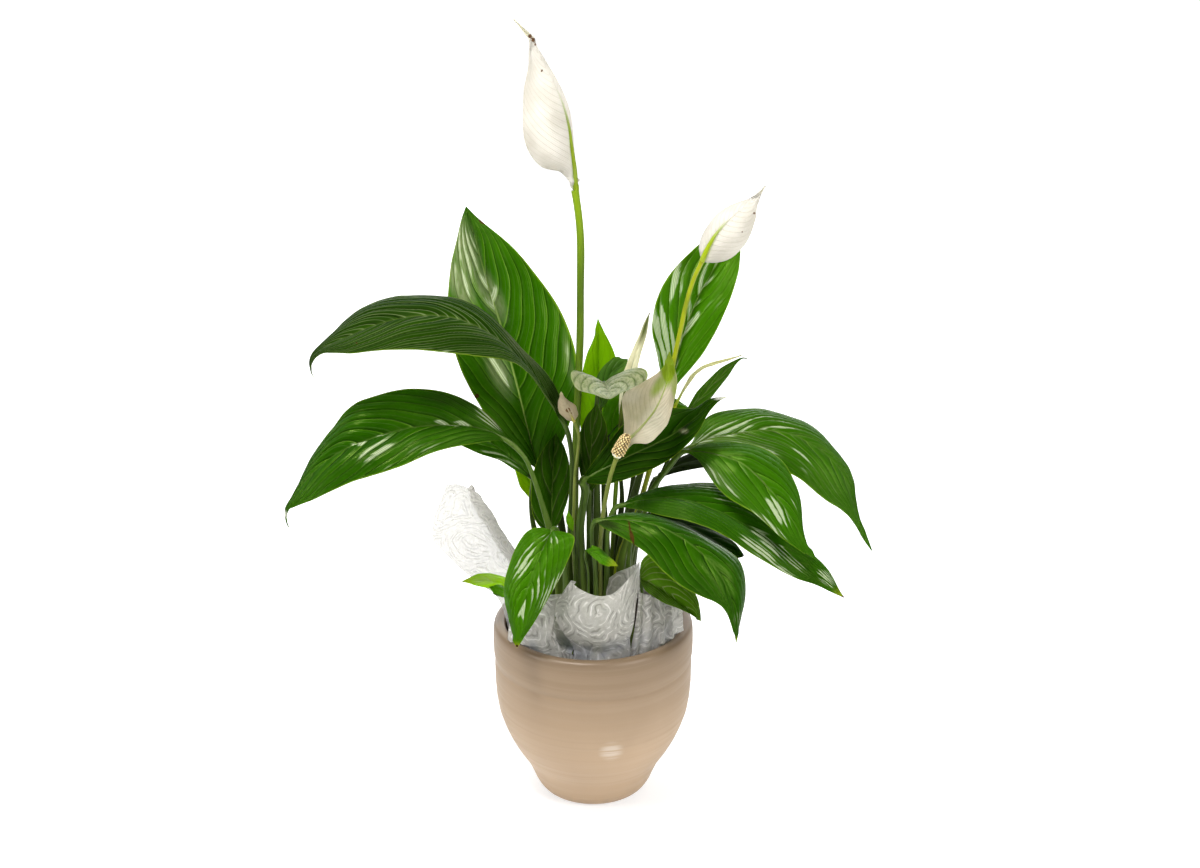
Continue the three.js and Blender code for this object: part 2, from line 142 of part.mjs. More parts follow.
    left: [[-17.7,-24,243.7],[-17.7,-24.1,244.7],[-18.1,-24.2,246],[-19.1,-24.4,247.6],[-20.1,-24.6,249.4],[-21.2,-24.8,251.4],[-21.6,-25,253.5],[-21.7,-25.3,255.7],[-21.5,-25.5,257.9],[-20.9,-25.7,259.9],[-20.4,-25.9,261.6],[-19.9,-26,263]],
    right: [[-16,-24,244],[-16,-24.3,244.9],[-15.9,-24.3,246.4],[-15.7,-24.4,248.2],[-15.5,-24.6,250.2],[-15.3,-24.9,252.4],[-15.6,-25.1,254.5],[-16.3,-25.3,256.5],[-17.2,-25.5,258.5],[-18.3,-25.7,260.3],[-19,-25.9,261.8],[-19.9,-26,263]],
    camber: 0.1, r0: 1.2, r1: 0.9 },
  leaf_24: { stalk: [[-7,5,132],[-2.6,3,206.8],[-3.4,6,241.5],[-3.3,8,265.6]],
    rib: [[-3.3,8,265.6],[-3.2,8.5,269.3],[-3,9.2,274.5],[-2.7,10.1,281.2],[-2.4,11.1,288.7],[-1.8,12.2,296.8],[-1.2,13,305.1],[-0.4,13.6,313.3],[0.7,14,321.6],[1.7,14.4,329.1],[2.6,14.7,335],[3.3,15,340.2]],
    left: [[-5.3,8.1,265.6],[-6.4,8.5,269.3],[-8.3,9.2,274.5],[-10.6,10.1,281.3],[-11.9,11.1,289.2],[-12.8,12.2,297.9],[-12.1,13,306.7],[-10.7,13.6,315.5],[-7.7,14,323.9],[-4.2,14.4,331],[-0.3,14.9,335.4],[3.3,15,340.2]],
    right: [[-1.3,7.9,265.5],[1.1,8.2,269.1],[3.9,8.5,274],[7.5,8.8,280.3],[9.8,9.2,287.9],[11.2,9.7,296.7],[12.1,10.3,305.4],[11.7,11.4,314.1],[10.9,12.5,322.5],[8,13.5,329.7],[5.5,14.5,334.6],[3.3,15,340.2]],
    camber: 0.14, r0: 2.4, r1: 2.0 },
  leaf_25: { stalk: [[14,23,132],[21.6,26,223.8],[24,29,254.3],[19.8,31,284.8],[11.5,31,304.2]],
    rib: [[11.5,31,304.2],[13.9,31.4,307.2],[17.4,32,311.5],[21.9,32.7,316.9],[28,33.5,321.3],[35.6,34.4,325],[43.5,35.2,327.5],[52,35.8,328],[60.5,36.5,328.3],[68.2,37.1,327.6],[74.4,37.6,326.8],[79.8,38,326.2]],
    left: [[10.4,31.5,305],[9.3,33.2,309.8],[6.7,36.3,316.4],[7.5,40.2,325.3],[12.1,44.6,334.1],[21.4,49.4,340.6],[33,51.3,343.8],[45.1,48.8,343.5],[56.4,45.5,340.1],[66.3,42.5,335.8],[73.7,40.1,331.5],[79.8,38,326.2]],
    right: [[12.5,30.5,303.4],[15.9,30.6,304.8],[20.9,30,305.7],[27.3,29.3,306.9],[34.4,28.5,308.6],[42.1,27.7,310.7],[49.5,28,313.5],[56.9,30.1,315.9],[64,32.5,318.7],[70.4,34.7,321.6],[75.5,36.5,324],[79.8,38,326.2]],
    camber: 0.14, r0: 1.9, r1: 1.4 },
  leaf_26: { stalk: [[-37,-24,132],[-44.9,-26,184.2],[-57.9,-27,184.7]],
    rib: [[-57.9,-27,184.7],[-59.2,-27.1,185.5],[-61,-27.2,186.6],[-63.3,-27.4,187.9],[-65.9,-27.6,189.5],[-68.7,-27.8,191.2],[-71.5,-28.1,192.7],[-74.6,-28.3,193.8],[-77.6,-28.5,194.9],[-80.3,-28.7,195.9],[-82.5,-28.9,196.7],[-84.4,-29,197.4]],
    left: [[-58.3,-27.7,184.1],[-59.4,-27.7,183],[-62.2,-28.2,184.4],[-64.7,-28.6,185.4],[-66.8,-31.3,187.9],[-70.1,-32.8,189.3],[-73.4,-33.5,190.3],[-76.7,-32.6,190.9],[-80,-31.5,191.7],[-80.9,-31.1,193.7],[-82.8,-30,195.7],[-84.4,-29,197.4]],
    right: [[-57.6,-26.3,185.4],[-59.1,-26.3,187.3],[-59.8,-26.3,188.7],[-61.6,-26,191],[-65.4,-22.7,191.2],[-68.1,-21.2,192.7],[-71.3,-20.9,193.8],[-74.4,-22.5,195.8],[-77.4,-24.5,197.7],[-79.8,-26.5,197.9],[-82.3,-27.8,197.6],[-84.4,-29,197.4]],
    camber: 0.14, r0: 1.4, r1: 1.0 },
  leaf_27: { stalk: [[-16,34,132],[-26.4,36,219.5],[-31.3,46,265.5],[-34.7,56,293.2]],
    rib: [[-34.7,56,293.2],[-38.5,61.6,298.2],[-43.8,69.4,305.1],[-49.8,79.5,314.7],[-55.8,90.7,325.8],[-61.6,102.9,338.5],[-66.6,113.8,352.1],[-70.6,122.6,366.6],[-74.1,131,381.5],[-75.3,138.6,395.3],[-75.8,144.7,406.5],[-76.1,150,416.3]],
    left: [[-36.2,55.6,292.5],[-42,62.2,295.7],[-52.1,70.9,299.3],[-62.8,82,307],[-73.4,94.4,317],[-82.3,107.9,330.2],[-89.4,119.2,345],[-92.1,127,362.2],[-91.7,134,379.7],[-87.9,140.4,395.2],[-82,145.5,406.6],[-76.1,150,416.3]],
    right: [[-33.2,56.4,293.9],[-33.6,63.4,298.6],[-32.4,73.8,306.1],[-34,87.1,315.9],[-37.5,101.9,327],[-41.6,117.9,339.4],[-46,130,353.3],[-50.9,135.6,368.9],[-56.1,140,384.8],[-61.9,144,398.9],[-68.6,147.2,408.7],[-76.1,150,416.3]],
    camber: 0.14, r0: 2.3, r1: 1.7 },
  leaf_28: { stalk: [[14,34,132],[25.2,32,207.4],[28.4,36,236],[32.5,39,258.4],[34.1,40,272.4]],
    rib: [[34.1,40,272.4],[33.6,45,274],[32.8,52,276.3],[32.7,61,279.1],[35.4,71,282.1],[39.8,82,284.3],[46.4,92.8,284.7],[53.2,103.4,285.2],[60.4,114,285.4],[67,123.6,285.5],[72.3,131.3,285.6],[77,138,285.8]],
    left: [[32.5,39.7,272.7],[28.7,45.2,273.7],[22.3,52.5,275.5],[14.9,61.8,278.9],[9.6,72.2,285.5],[11.7,83.7,293.3],[22.1,94.6,296.3],[34.2,104.9,297],[47,115,296.1],[58.8,124.2,293.5],[68.5,131.6,289.4],[77,138,285.8]],
    right: [[35.8,40.3,272.1],[37.6,45.6,272],[41.3,53.4,271.5],[45.7,63.5,271.4],[50.3,74.7,271.7],[55.5,87,272.2],[60.7,98.2,273.2],[65.6,107.8,275.1],[69.1,117,278.2],[72.3,125.4,281.2],[74.8,132.1,283.6],[77,138,285.8]],
    camber: 0.14, r0: 2.3, r1: 1.7 },
  leaf_29: { stalk: [[22,32,132],[32.8,35,206.1],[46.3,40,227.9],[63.2,44,238.1]],
    rib: [[63.2,44,238.1],[67.5,46.8,237.8],[73.6,50.7,237.3],[81.4,55.8,236.5],[90.1,61.4,232.7],[99.8,67.5,227.8],[109.4,73.3,222.3],[118.8,78.7,216.2],[128.3,84,209.9],[136.7,88.8,203.4],[143.4,92.6,198.1],[149.3,96,193.4]],
    left: [[62.7,45,239.3],[66.8,49.8,240.6],[71.9,57.9,242.6],[80.2,68.4,242.2],[90.7,80,239.5],[102.6,92.5,234],[114.2,100.3,228.8],[123.9,100.3,222.5],[133.2,99,216.1],[139.8,97.8,208],[144.9,96.8,201.3],[149.3,96,193.4]],
    right: [[63.8,43,236.9],[67.1,44.6,235.1],[72.5,45.4,232.1],[79.4,46.5,228.3],[87.4,47.7,224.7],[96.3,49.2,221.1],[105.5,53.5,216.5],[115.4,62.9,210.2],[125.5,73,203.7],[134.9,82.2,199.4],[142.6,89.6,196.2],[149.3,96,193.4]],
    camber: 0.14, r0: 2.3, r1: 1.7 },
};
const SPATHES = {
  spathe_1: { rib: [[-13.5,10,514.5],[-13.8,9.8,521.8],[-14.5,9.5,531.8],[-16,9.2,544.5],[-17.5,8.8,558.6],[-20.6,8.4,573.7],[-25.7,8.4,588],[-32.5,9.1,601.3],[-39.4,10,614.6],[-45.7,10.8,626.5],[-52.2,11.4,635],[-58.7,12,641.8]],
    left: [[-12.5,11.7,514.6],[-15.8,14.4,520.6],[-19,20.3,528.8],[-23.3,26.4,539.7],[-26.9,31.6,552.5],[-30,34.8,567.2],[-33.7,33,582.3],[-38.5,29,597.2],[-43.1,22.4,612.2],[-43.5,15.7,627.5],[-51.6,12.9,635.4],[-58.7,12,641.8]],
    right: [[-14.4,8.3,514.4],[-19.3,9.1,521.7],[-25.8,8.1,529.3],[-38.2,7.7,532.4],[-48.2,8,543.5],[-52.4,8.6,559.5],[-52.4,9.7,576.2],[-51.3,10.8,592.7],[-47.7,11.2,608.8],[-47.2,7.6,625.8],[-52.6,10.5,634.7],[-58.7,12,641.8]],
    camber: 0.26, r1: 2.2 },
  spathe_2: { rib: [[84.2,-4,462.3],[85.5,-4.2,466],[87.6,-4.5,471.1],[90.7,-4.8,477.3],[94.7,-5.2,484],[99.8,-5.6,490.7],[105.8,-5.2,496.4],[112.2,-3.8,501.5],[118.8,-2,506.3],[124.5,-0.4,511.1],[128.4,0.9,515.5],[131.6,2,519.5]],
    left: [[85.9,-3.9,461.7],[90.2,-0.9,460.3],[96.4,3.5,459.4],[104.3,9.1,460],[111.7,13.3,463.6],[117.6,13.2,470.9],[122.1,12.3,479.3],[124.8,9.9,488.8],[125.6,4.5,499.3],[127.1,-0.1,508.3],[129.2,1,514.8],[131.6,2,519.5]],
    right: [[82.5,-4.1,462.9],[83.2,-1.5,465.8],[82.4,1.9,470.8],[84.1,6.3,477.2],[88,9.6,484],[93.5,9.6,491.5],[100,9.1,497.9],[107.4,7.4,503.2],[115.5,3.1,507.3],[122.9,-0.6,512.8],[127.7,0.8,516.1],[131.6,2,519.5]],
    camber: 0.26, r1: 2.2 },
  spathe_3: { rib: [[18.1,-50,316.7],[20.5,-49,320.8],[24.2,-47.6,326.3],[29.6,-45.7,332.8],[36.4,-43.3,339.2],[43.5,-40.3,346.5],[49.6,-37.3,354.6],[54.1,-34.6,363.8],[57.4,-32,373.5],[59,-29.6,382.7],[59.3,-27.7,390.1],[59.2,-26,396.6]],
    left: [[16.4,-50.1,317.7],[18.5,-50.2,322.1],[20.4,-47.5,329.1],[24.3,-50.6,338.3],[23.8,-50.3,349],[22.8,-49,360.5],[25.7,-46.6,370.3],[35.2,-42.8,374.9],[45.2,-38.6,379.3],[53,-34,384.6],[56.3,-28,390.3],[59.2,-26,396.6]],
    right: [[19.8,-49.9,315.7],[22.1,-50,320.6],[27.2,-47.7,324],[35.9,-49.9,329.6],[45.9,-49.3,331],[54,-48,339.9],[59.6,-45.6,350.2],[62.9,-41.8,361.1],[64.5,-37.6,372.4],[63.9,-33.3,382.4],[62.1,-27.4,390],[59.2,-26,396.6]],
    camber: 0.1, r1: 2.2 },
  spathe_4: { rib: [[22.4,14,320],[22.6,14,325.1],[23,14,332.3],[24,14,341.3],[25.8,14,351.3],[28.5,14,362],[31.4,14.5,372.4],[34.6,15.7,382.5],[38.2,17,392.3],[41.2,18.2,401.3],[43.3,19.2,408.6],[45.2,20,414.9]],
    left: [[24.1,14,319.9],[23.7,14.5,324.9],[25.1,14,332.1],[27.2,14,340.9],[30.1,14,350.4],[33.3,14,360.7],[35.9,14.5,371.1],[38.3,15.6,381.2],[41.3,17,391.2],[43.5,18.2,400.6],[44.5,19.2,408.2],[45.2,20,414.9]],
    right: [[20.7,14,320.1],[21.7,14.5,325],[21.1,14,332.4],[21.1,14,341.8],[21.8,14,352.1],[23.8,14,363.2],[27.1,14.5,373.7],[31.1,15.7,383.7],[35.3,17,393.3],[38.9,18.2,402],[41.9,19.2,409],[45.2,20,414.9]],
    camber: 0.2, r1: 2.0 },
  spathe_5: { rib: [[67,14,339.7],[68.5,13.6,343.2],[70.7,13,348],[73.6,12.3,354],[77.1,11.5,360.6],[81.8,10.6,367],[87.7,9.8,372],[94.7,8.9,375.3],[101.9,8,377.8],[108.5,7.2,379.9],[113.7,6.6,381.8],[118.2,6,383.5]],
    left: [[68,14,339.3],[69.2,13.6,343],[71.6,13.1,347.6],[74.8,12.4,353.4],[78.6,11.6,359.7],[82.7,12.1,365.8],[88.6,11,370.8],[95.4,8.9,373.7],[102.4,8.1,376.5],[108.8,7.2,378.9],[114,6.6,381.2],[118.2,6,383.5]],
    right: [[66,14,340.1],[67.8,13.6,343.3],[70,13,348.3],[72.6,12.3,354.5],[75.9,11.5,361.4],[81.1,12.1,367.3],[87.1,11,372.5],[94.2,8.8,376.5],[101.6,8,378.8],[108.2,7.2,380.7],[113.5,6.5,382.5],[118.2,6,383.5]],
    camber: 0.2, r1: 1.3 },
  spathe_6: { rib: [[-14.7,-24,338.2],[-15.2,-24.3,339.6],[-16,-24.7,341.5],[-17,-25.3,343.9],[-18.1,-25.9,346.5],[-19.4,-26.5,349.4],[-20.8,-27.2,352.2],[-22,-27.8,355.1],[-23.2,-28.5,358],[-23.8,-29.1,360.8],[-24.2,-29.6,363.1],[-24.5,-30,365.1]],
    left: [[-13.7,-24,338.7],[-13.3,-23.7,340.3],[-12.4,-23.3,342.1],[-11.7,-22.7,344.5],[-12.1,-22.1,347.3],[-13.5,-21.5,349.9],[-15.6,-21.8,352.5],[-18.1,-23.5,355],[-20.8,-25.5,357.4],[-22.5,-27.3,360.2],[-23.1,-29.6,363.3],[-24.5,-30,365.1]],
    right: [[-15.7,-24,337.8],[-16.2,-23.7,338.5],[-18.3,-23.3,339],[-20.8,-22.7,340],[-23.3,-22.1,341.6],[-25.2,-21.5,344.3],[-26.7,-21.8,347.6],[-27.3,-23.5,351.5],[-26.6,-25.5,355.7],[-25.8,-27.3,359.5],[-25.6,-29.6,362.9],[-24.5,-30,365.1]],
    camber: 0.22, r1: 1.3 },
};
const STEMS = {
  flower_stem_1: { path: [[-14,6,132],[-14.2,4,204.5],[-14.7,4,260.1],[-13.7,6,311.7],[-11.9,8,353.6],[-10.1,8,395.3],[-9.6,8,436.1],[-9.4,8,476.7],[-10.9,9,496.1],[-13.5,10,514.5]], r0: 2.8, r1: 3.0 },
  flower_stem_2: { path: [[17,2,132],[20.6,1,207.7],[33.6,2,243.2],[43.9,3,279.9],[50.8,3,312.8],[58.5,4,346.5],[63.5,3,376.2],[65.7,2,388.9],[69.2,0,407.5],[72.7,-1,426.4],[77.7,-2,445.9],[84.2,-4,462.3]], r0: 2.1, r1: 1.8 },
  flower_stem_3: { path: [[6,-31,132],[5.7,-33,205.5],[5.7,-37,235.6],[8.1,-40,265.5],[11.2,-46,288.4],[14.2,-50,304.2],[18.1,-50,316.7]], r0: 2.2, r1: 1.7 },
  flower_stem_4: { path: [[10,14,132],[15.7,12,206.3],[18.1,12,256.8],[20.4,13,291.7],[22.4,14,320]], r0: 2.0, r1: 1.8 },
  flower_stem_5: { path: [[30,12,132],[30.8,17,214.1],[39.3,20,246.3],[45.3,21,272.7],[56.3,18,307.3],[67,14,339.7]], r0: 1.8, r1: 1.3 },
  flower_stem_6: { path: [[-11,-14,132],[-15.5,-14,214.6],[-16.2,-16,241.2],[-15.2,-17,265.3],[-14.2,-18,292.5],[-11.7,-20,312.9],[-11.2,-22,327.1],[-14.7,-24,338.2]], r0: 1.6, r1: 1.2 },
};
const SPADICES = {
  spadix_1: { from: [-22.7,18,536.1], to: [-32.2,20,582.8], r: 4.7 },
  spadix_2: { from: [89.4,6,465.3], to: [107.6,10,489.6], r: 5.0 },
  spadix_3: { from: [18,-56,321.1], to: [26.7,-58,339.4], r: 5.1 },
  spadix_4: { from: [24,17.4,333.4], to: [27.6,17.6,353.8], r: 1.0 },
  spadix_6: { from: [-16.7,-19,341.9], to: [-20.2,-20,349.7], r: 1.3 },
};
const WRAP_TOP = [[0,73,0,170],[25,65.3,30.4,174],[50,45,53.6,170],[75,18.4,68.6,175],[98,-9.7,69.3,168],[122,-38.2,61.1,172],[140,-69,45,185.7],[150,-79.3,42,214.1],[158,-92.4,34,246.8],[165,-102.4,28,262.8],[173,-120.2,24,266.2],[181,-129.3,18,249.9],[189,-133.2,13,220.4],[197,-117.6,9,203.1],[205,-99.2,4,190.8],[214,-76.5,-20,175.9],[226,-53.2,-42,186.7],[240,-35.9,-50,198.6],[249,-24.6,-54,201.4],[254,-16.4,-60,214.8],[262,-5.4,-62,210.5],[270,5.7,-62,204.4],[278,16.8,-60,207],[286,27.1,-57,216],[293,38.1,-52,234.1],[299,37.7,-48,205.6],[309,46.8,-42,193.8],[322,61,-33,183.2],[338,74.1,-18,169.4]];

// ---- small helpers -------------------------------------------------------
const V = (a) => new THREE.Vector3(a[0], a[1], a[2]);
const add = (a, b, k = 1) => a.clone().addScaledVector(b, k);
const unit = (a) => a.clone().normalize();
const cross = (a, b) => new THREE.Vector3().crossVectors(a, b);
const lerp = (a, b, t) => a.clone().lerp(b, t);
const square = (a, axis) => unit(add(a, axis, -a.dot(axis)));  // part of a square to axis

// A closed skin over a run of rings with the same number of points. An end is
// closed by a fan to a point (a tip or the ring's own middle).
function skin(rings, startTip, endTip) {
  const n = rings[0].length;
  const pos = [];
  const idx = [];
  for (const ring of rings) for (const q of ring) pos.push(q.x, q.y, q.z);
  const mid = (ring) => ring.reduce((s, q) => s.add(q), new THREE.Vector3()).multiplyScalar(1 / n);
  const a = startTip || mid(rings[0]);
  const b = endTip || mid(rings[rings.length - 1]);
  const ia = pos.length / 3; pos.push(a.x, a.y, a.z);
  const ib = pos.length / 3; pos.push(b.x, b.y, b.z);
  const last = (rings.length - 1) * n;
  for (let j = 0; j < n; j++) {
    const k = (j + 1) % n;
    idx.push(ia, k, j);
    idx.push(ib, last + j, last + k);
    for (let i = 0; i < rings.length - 1; i++) {
      const p = i * n;
      const q = p + n;
      // the lower half is split along the same diagonal as the upper half, so
      // the two faces of a thin blade stay parallel
      if (j < n / 2) idx.push(p + j, p + k, q + k, p + j, q + k, q + j);
      else idx.push(p + j, p + k, q + j, p + k, q + k, q + j);
    }
  }
  return solid(pos, idx);
}

// Indexed triangles to a geometry whose faces look outwards.
function solid(pos, idx) {
  let vol = 0;
  for (let i = 0; i < idx.length; i += 3) {
    const [a, b, c] = [idx[i] * 3, idx[i + 1] * 3, idx[i + 2] * 3];
    vol += pos[a] * (pos[b + 1] * pos[c + 2] - pos[b + 2] * pos[c + 1])
         - pos[a + 1] * (pos[b] * pos[c + 2] - pos[b + 2] * pos[c])
         + pos[a + 2] * (pos[b] * pos[c + 1] - pos[b + 1] * pos[c]);
  }
  if (vol < 0) for (let i = 0; i < idx.length; i += 3) [idx[i], idx[i + 1]] = [idx[i + 1], idx[i]];
  const g = new THREE.BufferGeometry();
  g.setAttribute('position', new THREE.Float32BufferAttribute(pos, 3));
  g.setIndex(idx);
  g.computeVertexNormals();
  return g;
}

function pathPoints(points, count, extra) {
  const all = extra ? [...points, extra] : points;
  const curve = new THREE.CatmullRomCurve3(all.map(V), false, 'centripetal');
  const end = extra ? (points.length - 1) / (all.length - 1) : 1;
  const out = [];
  for (let i = 0; i <= count; i++) out.push({ p: curve.getPoint(end * i / count), t: curve.getTangent(Math.min(end * i / count, 0.9999)) });
  return out;
}
const runLength = (pts) => pts.slice(1).reduce((s, q, i) => s + V(q).distanceTo(V(pts[i])), 0);

// Ring of 8 points as left, three over the top, right, three underneath.
function roundRing(c, side, up, r) {
  const ring = [];
  for (let k = 0; k < 8; k++) {
    const a = Math.PI - k * Math.PI / 4;
    ring.push(add(add(c, side, r * Math.cos(a)), up, r * Math.sin(a)));
  }
  return ring;
}

// ---- leaf: stalk and blade in one body ------------------------------------
function leaf(d) {
  const rib = d.rib.map(V), left = d.left.map(V), right = d.right.map(V);
  const n = rib.length;
  const rings = [];
  let side = unit(add(right[2], left[2], -1));
  const steps = Math.max(4, Math.min(7, Math.round(runLength(d.stalk) / 48)));
  const stalk = pathPoints(d.stalk, steps, d.rib[1]);
  // carry the side direction down the stalk
  const sides = [];
  for (let i = stalk.length - 1; i >= 0; i--) { side = square(side, stalk[i].t); sides[i] = side; }
  stalk.forEach((s, i) => {
    const k = i / (stalk.length - 1);
    const up = cross(sides[i], s.t).normalize();
    rings.push(roundRing(s.p, sides[i], up, d.r0 + (d.r1 - d.r0) * k));
  });
  for (let i = 1; i < n - 1; i++) {
    const t = unit(add(rib[i + 1], rib[i - 1], -1));
    const wl = rib[i].distanceTo(left[i]);
    const wr = rib[i].distanceTo(right[i]);
    const nl = cross(unit(add(rib[i], left[i], -1)), t).normalize();
    const nr = cross(unit(add(right[i], rib[i], -1)), t).normalize();
    const nm = unit(add(nl, nr));
    const k = i / (n - 1);
    const th = (BLADE_THICK / 2) * (k < 0.8 ? 1 : 0.75);
    const keel = Math.max(th, d.r1 * 1.5 * (1 - 1.6 * k));
    const ml = add(lerp(rib[i], left[i], 0.5), nl, d.camber * wl);
    const mr = add(lerp(rib[i], right[i], 0.5), nr, d.camber * wr);
    rings.push([left[i], add(ml, nl, th), add(rib[i], nm, th), add(mr, nr, th),
      right[i], add(mr, nr, -th), add(rib[i], nm, -keel), add(ml, nl, -th)]);
  }
  return skin(rings, null, rib[n - 1]);
}

// ---- flower bract: a hooded blade, hollow towards its upper face ----------
function spathe(d) {
  const rib = d.rib.map(V), left = d.left.map(V), right = d.right.map(V);
  const n = rib.length;
  const rings = [];
  const t0 = unit(add(rib[1], rib[0], -1));
  const side = square(unit(add(right[2], left[2], -1)), t0);
  const up = cross(side, t0).normalize();
  const foot = add(rib[0], t0, 1);
  const a = [];
  for (let k = 0; k < 12; k++) {
    const g = Math.PI - k * Math.PI / 6;
    a.push(add(add(foot, side, d.r1 * Math.cos(g)), up, d.r1 * Math.sin(g)));
  }
  rings.push(a);
  for (let i = 1; i < n - 1; i++) {
    const t = unit(add(rib[i + 1], rib[i - 1], -1));
    const wl = rib[i].distanceTo(left[i]);
    const wr = rib[i].distanceTo(right[i]);
    const nl = cross(unit(add(rib[i], left[i], -1)), t).normalize();
    const nr = cross(unit(add(right[i], rib[i], -1)), t).normalize();
    const nm = unit(add(nl, nr));
    const th = (SPATHE_THICK / 2) * Math.min(1, (wl + wr) / 5);
    const half = (edge, nn, w, f) => add(lerp(rib[i], edge, f), nn, -d.camber * w * 4 * f * (1 - f));
    const l1 = half(left[i], nl, wl, 0.36), l2 = half(left[i], nl, wl, 0.72);
    const r1 = half(right[i], nr, wr, 0.36), r2 = half(right[i], nr, wr, 0.72);
    rings.push([left[i], add(l2, nl, th), add(l1, nl, th), add(rib[i], nm, th), add(r1, nr, th), add(r2, nr, th),
      right[i], add(r2, nr, -th), add(r1, nr, -th), add(rib[i], nm, -th), add(l1, nl, -th), add(l2, nl, -th)]);
  }
  return skin(rings, null, rib[n - 1]);
}

// ---- flower stem: a tapering round rod --------------------------------------
function stem(d) {
  const steps = Math.max(5, Math.round(runLength(d.path) / 42));
  const run = pathPoints(d.path, steps);
  let side = new THREE.Vector3(1, 0, 0);
  const rings = run.map((s, i) => {
    side = square(side, s.t);
    const up = cross(side, s.t).normalize();
    const r = d.r0 + (d.r1 - d.r0) * i / (run.length - 1);
    const ring = [];
    for (let k = 0; k < 7; k++) {
      const a = -k * 2 * Math.PI / 7;
      ring.push(add(add(s.p, side, r * Math.cos(a)), up, r * Math.sin(a)));
    }
    return ring;
  });
  return skin(rings);
}

// ---- spadix: a blunt club -----------------------------------------------------
function spadix(d) {
  const a = V(d.from), b = V(d.to);
  const t = unit(add(b, a, -1));
  const side = square(new THREE.Vector3(1, 0.01, 0), t);
  const up = cross(side, t).normalize();
  const len = a.distanceTo(b);
  const prof = [[0.02, 0.42], [0.1, 0.8], [0.25, 0.98], [0.5, 1], [0.75, 0.93], [0.9, 0.72], [0.97, 0.42]];
  const rings = prof.map(([s, k]) => {
    const ring = [];
    for (let j = 0; j < 8; j++) {
      const g = -j * Math.PI / 4;
      ring.push(add(add(add(a, t, s * len), side, d.r * k * Math.cos(g)), up, d.r * k * Math.sin(g)));
    }
    return ring;
  });
  return skin(rings, a, b);
}

// ---- turned pieces: a profile of [radius, height] from axis to axis ------------
function turned(profile, seg) {
  const inner = profile.slice(1, -1);
  const rings = inner.map(([r, z]) => {
    const ring = [];
    for (let k = 0; k < seg; k++) {
      const a = 2 * Math.PI * k / seg;
      ring.push(new THREE.Vector3(r * Math.cos(a), r * Math.sin(a), z));
    }
    return ring;
  });
  return skin(rings, new THREE.Vector3(0, 0, profile[0][1]), new THREE.Vector3(0, 0, profile[profile.length - 1][1]));
}

const OUTSIDE = [[POT_FOOT_R, 0], [41.4, 0.7], [45.8, 3], [49.9, 9.5], [52.4, 16], [57.6, 28], [65.1, 40], [71.7, 52.5],
  [76.5, 64.5], [79.9, 76], [81.9, 88], [82.8, 100], [82.9, 119], [82.5, 122.6], [83.5, 126.5], [83.8, 138], [83.5, 149], [POT_RIM_R, 153.2], [81.6, 155], [79.5, POT_HEIGHT - 0.1]];
function coverPot() {
  const inside = [[76.5, POT_HEIGHT], [74.4, 155.6], [73.4, 154.2], [73.8, 148], [75.4, 138], [76.6, 126], [77, 112], [76.8, 100], [76.1, 88], [74.3, 76],
    [76.5 - POT_WALL, 64.5], [66.4, 52.5], [59.9, 40], [52.4, 28], [47.6, 17], [45.6, POT_FLOOR + 0.9], [43, POT_FLOOR]];
  return turned([[0, 0], ...OUTSIDE, ...inside, [0, POT_FLOOR]], 40);
}
const nurseryR = (z) => NURSERY_R0 + (NURSERY_R1 - NURSERY_R0) * (z - 12.4) / (NURSERY_TOP - 12.4);
function nurseryPot() {
  const z0 = POT_FLOOR + 0.4;
  return turned([[0, z0], [NURSERY_R0 - 2, z0], [NURSERY_R0, z0 + 2], [nurseryR(NURSERY_TOP - 9), NURSERY_TOP - 9],
    [nurseryR(NURSERY_TOP) + 2.4, NURSERY_TOP - 8.4], [nurseryR(NURSERY_TOP) + 2.8, NURSERY_TOP - 0.6], [nurseryR(NURSERY_TOP) + 2, NURSERY_TOP],
    [nurseryR(NURSERY_TOP) - NURSERY_WALL + 1, NURSERY_TOP], [nurseryR(NURSERY_TOP - 9) - NURSERY_WALL + 0.3, NURSERY_TOP - 9],
    [NURSERY_R0 - NURSERY_WALL, z0 + 3], [0, z0 + 2]], 36);
}

function toManifold(g) {
  return new wasm.Manifold(new wasm.Mesh({
    numProp: 3,
    vertProperties: new Float32Array(g.attributes.position.array),
    triVerts: new Uint32Array(g.index.array),
  }));
}
function fromManifold(m) {
  const mesh = m.getMesh();
  const pos = [];
  for (let i = 0; i < mesh.numVert; i++) pos.push(...mesh.vertProperties.slice(i * mesh.numProp, i * mesh.numProp + 3));
  return solid(pos, [...mesh.triVerts]);
}
function rod(base, radius, z0, z1) {
  // upright six-sided core round a stalk, following the stalk's lean
  const [a, b] = base;
  const t = unit(add(b, a, -1));
  const side = square(new THREE.Vector3(1, 0, 0), t);
  const up = cross(side, t).normalize();
  const rings = [z0, z1].map((z) => {
    const c = add(a, t, (z - a.z) / t.z);
    const ring = [];
    for (let k = 0; k < 6; k++) ring.push(add(add(c, side, radius * Math.cos(k * Math.PI / 3)), up, radius * Math.sin(k * Math.PI / 3)));
    return ring;
  });
  return skin(rings);
}

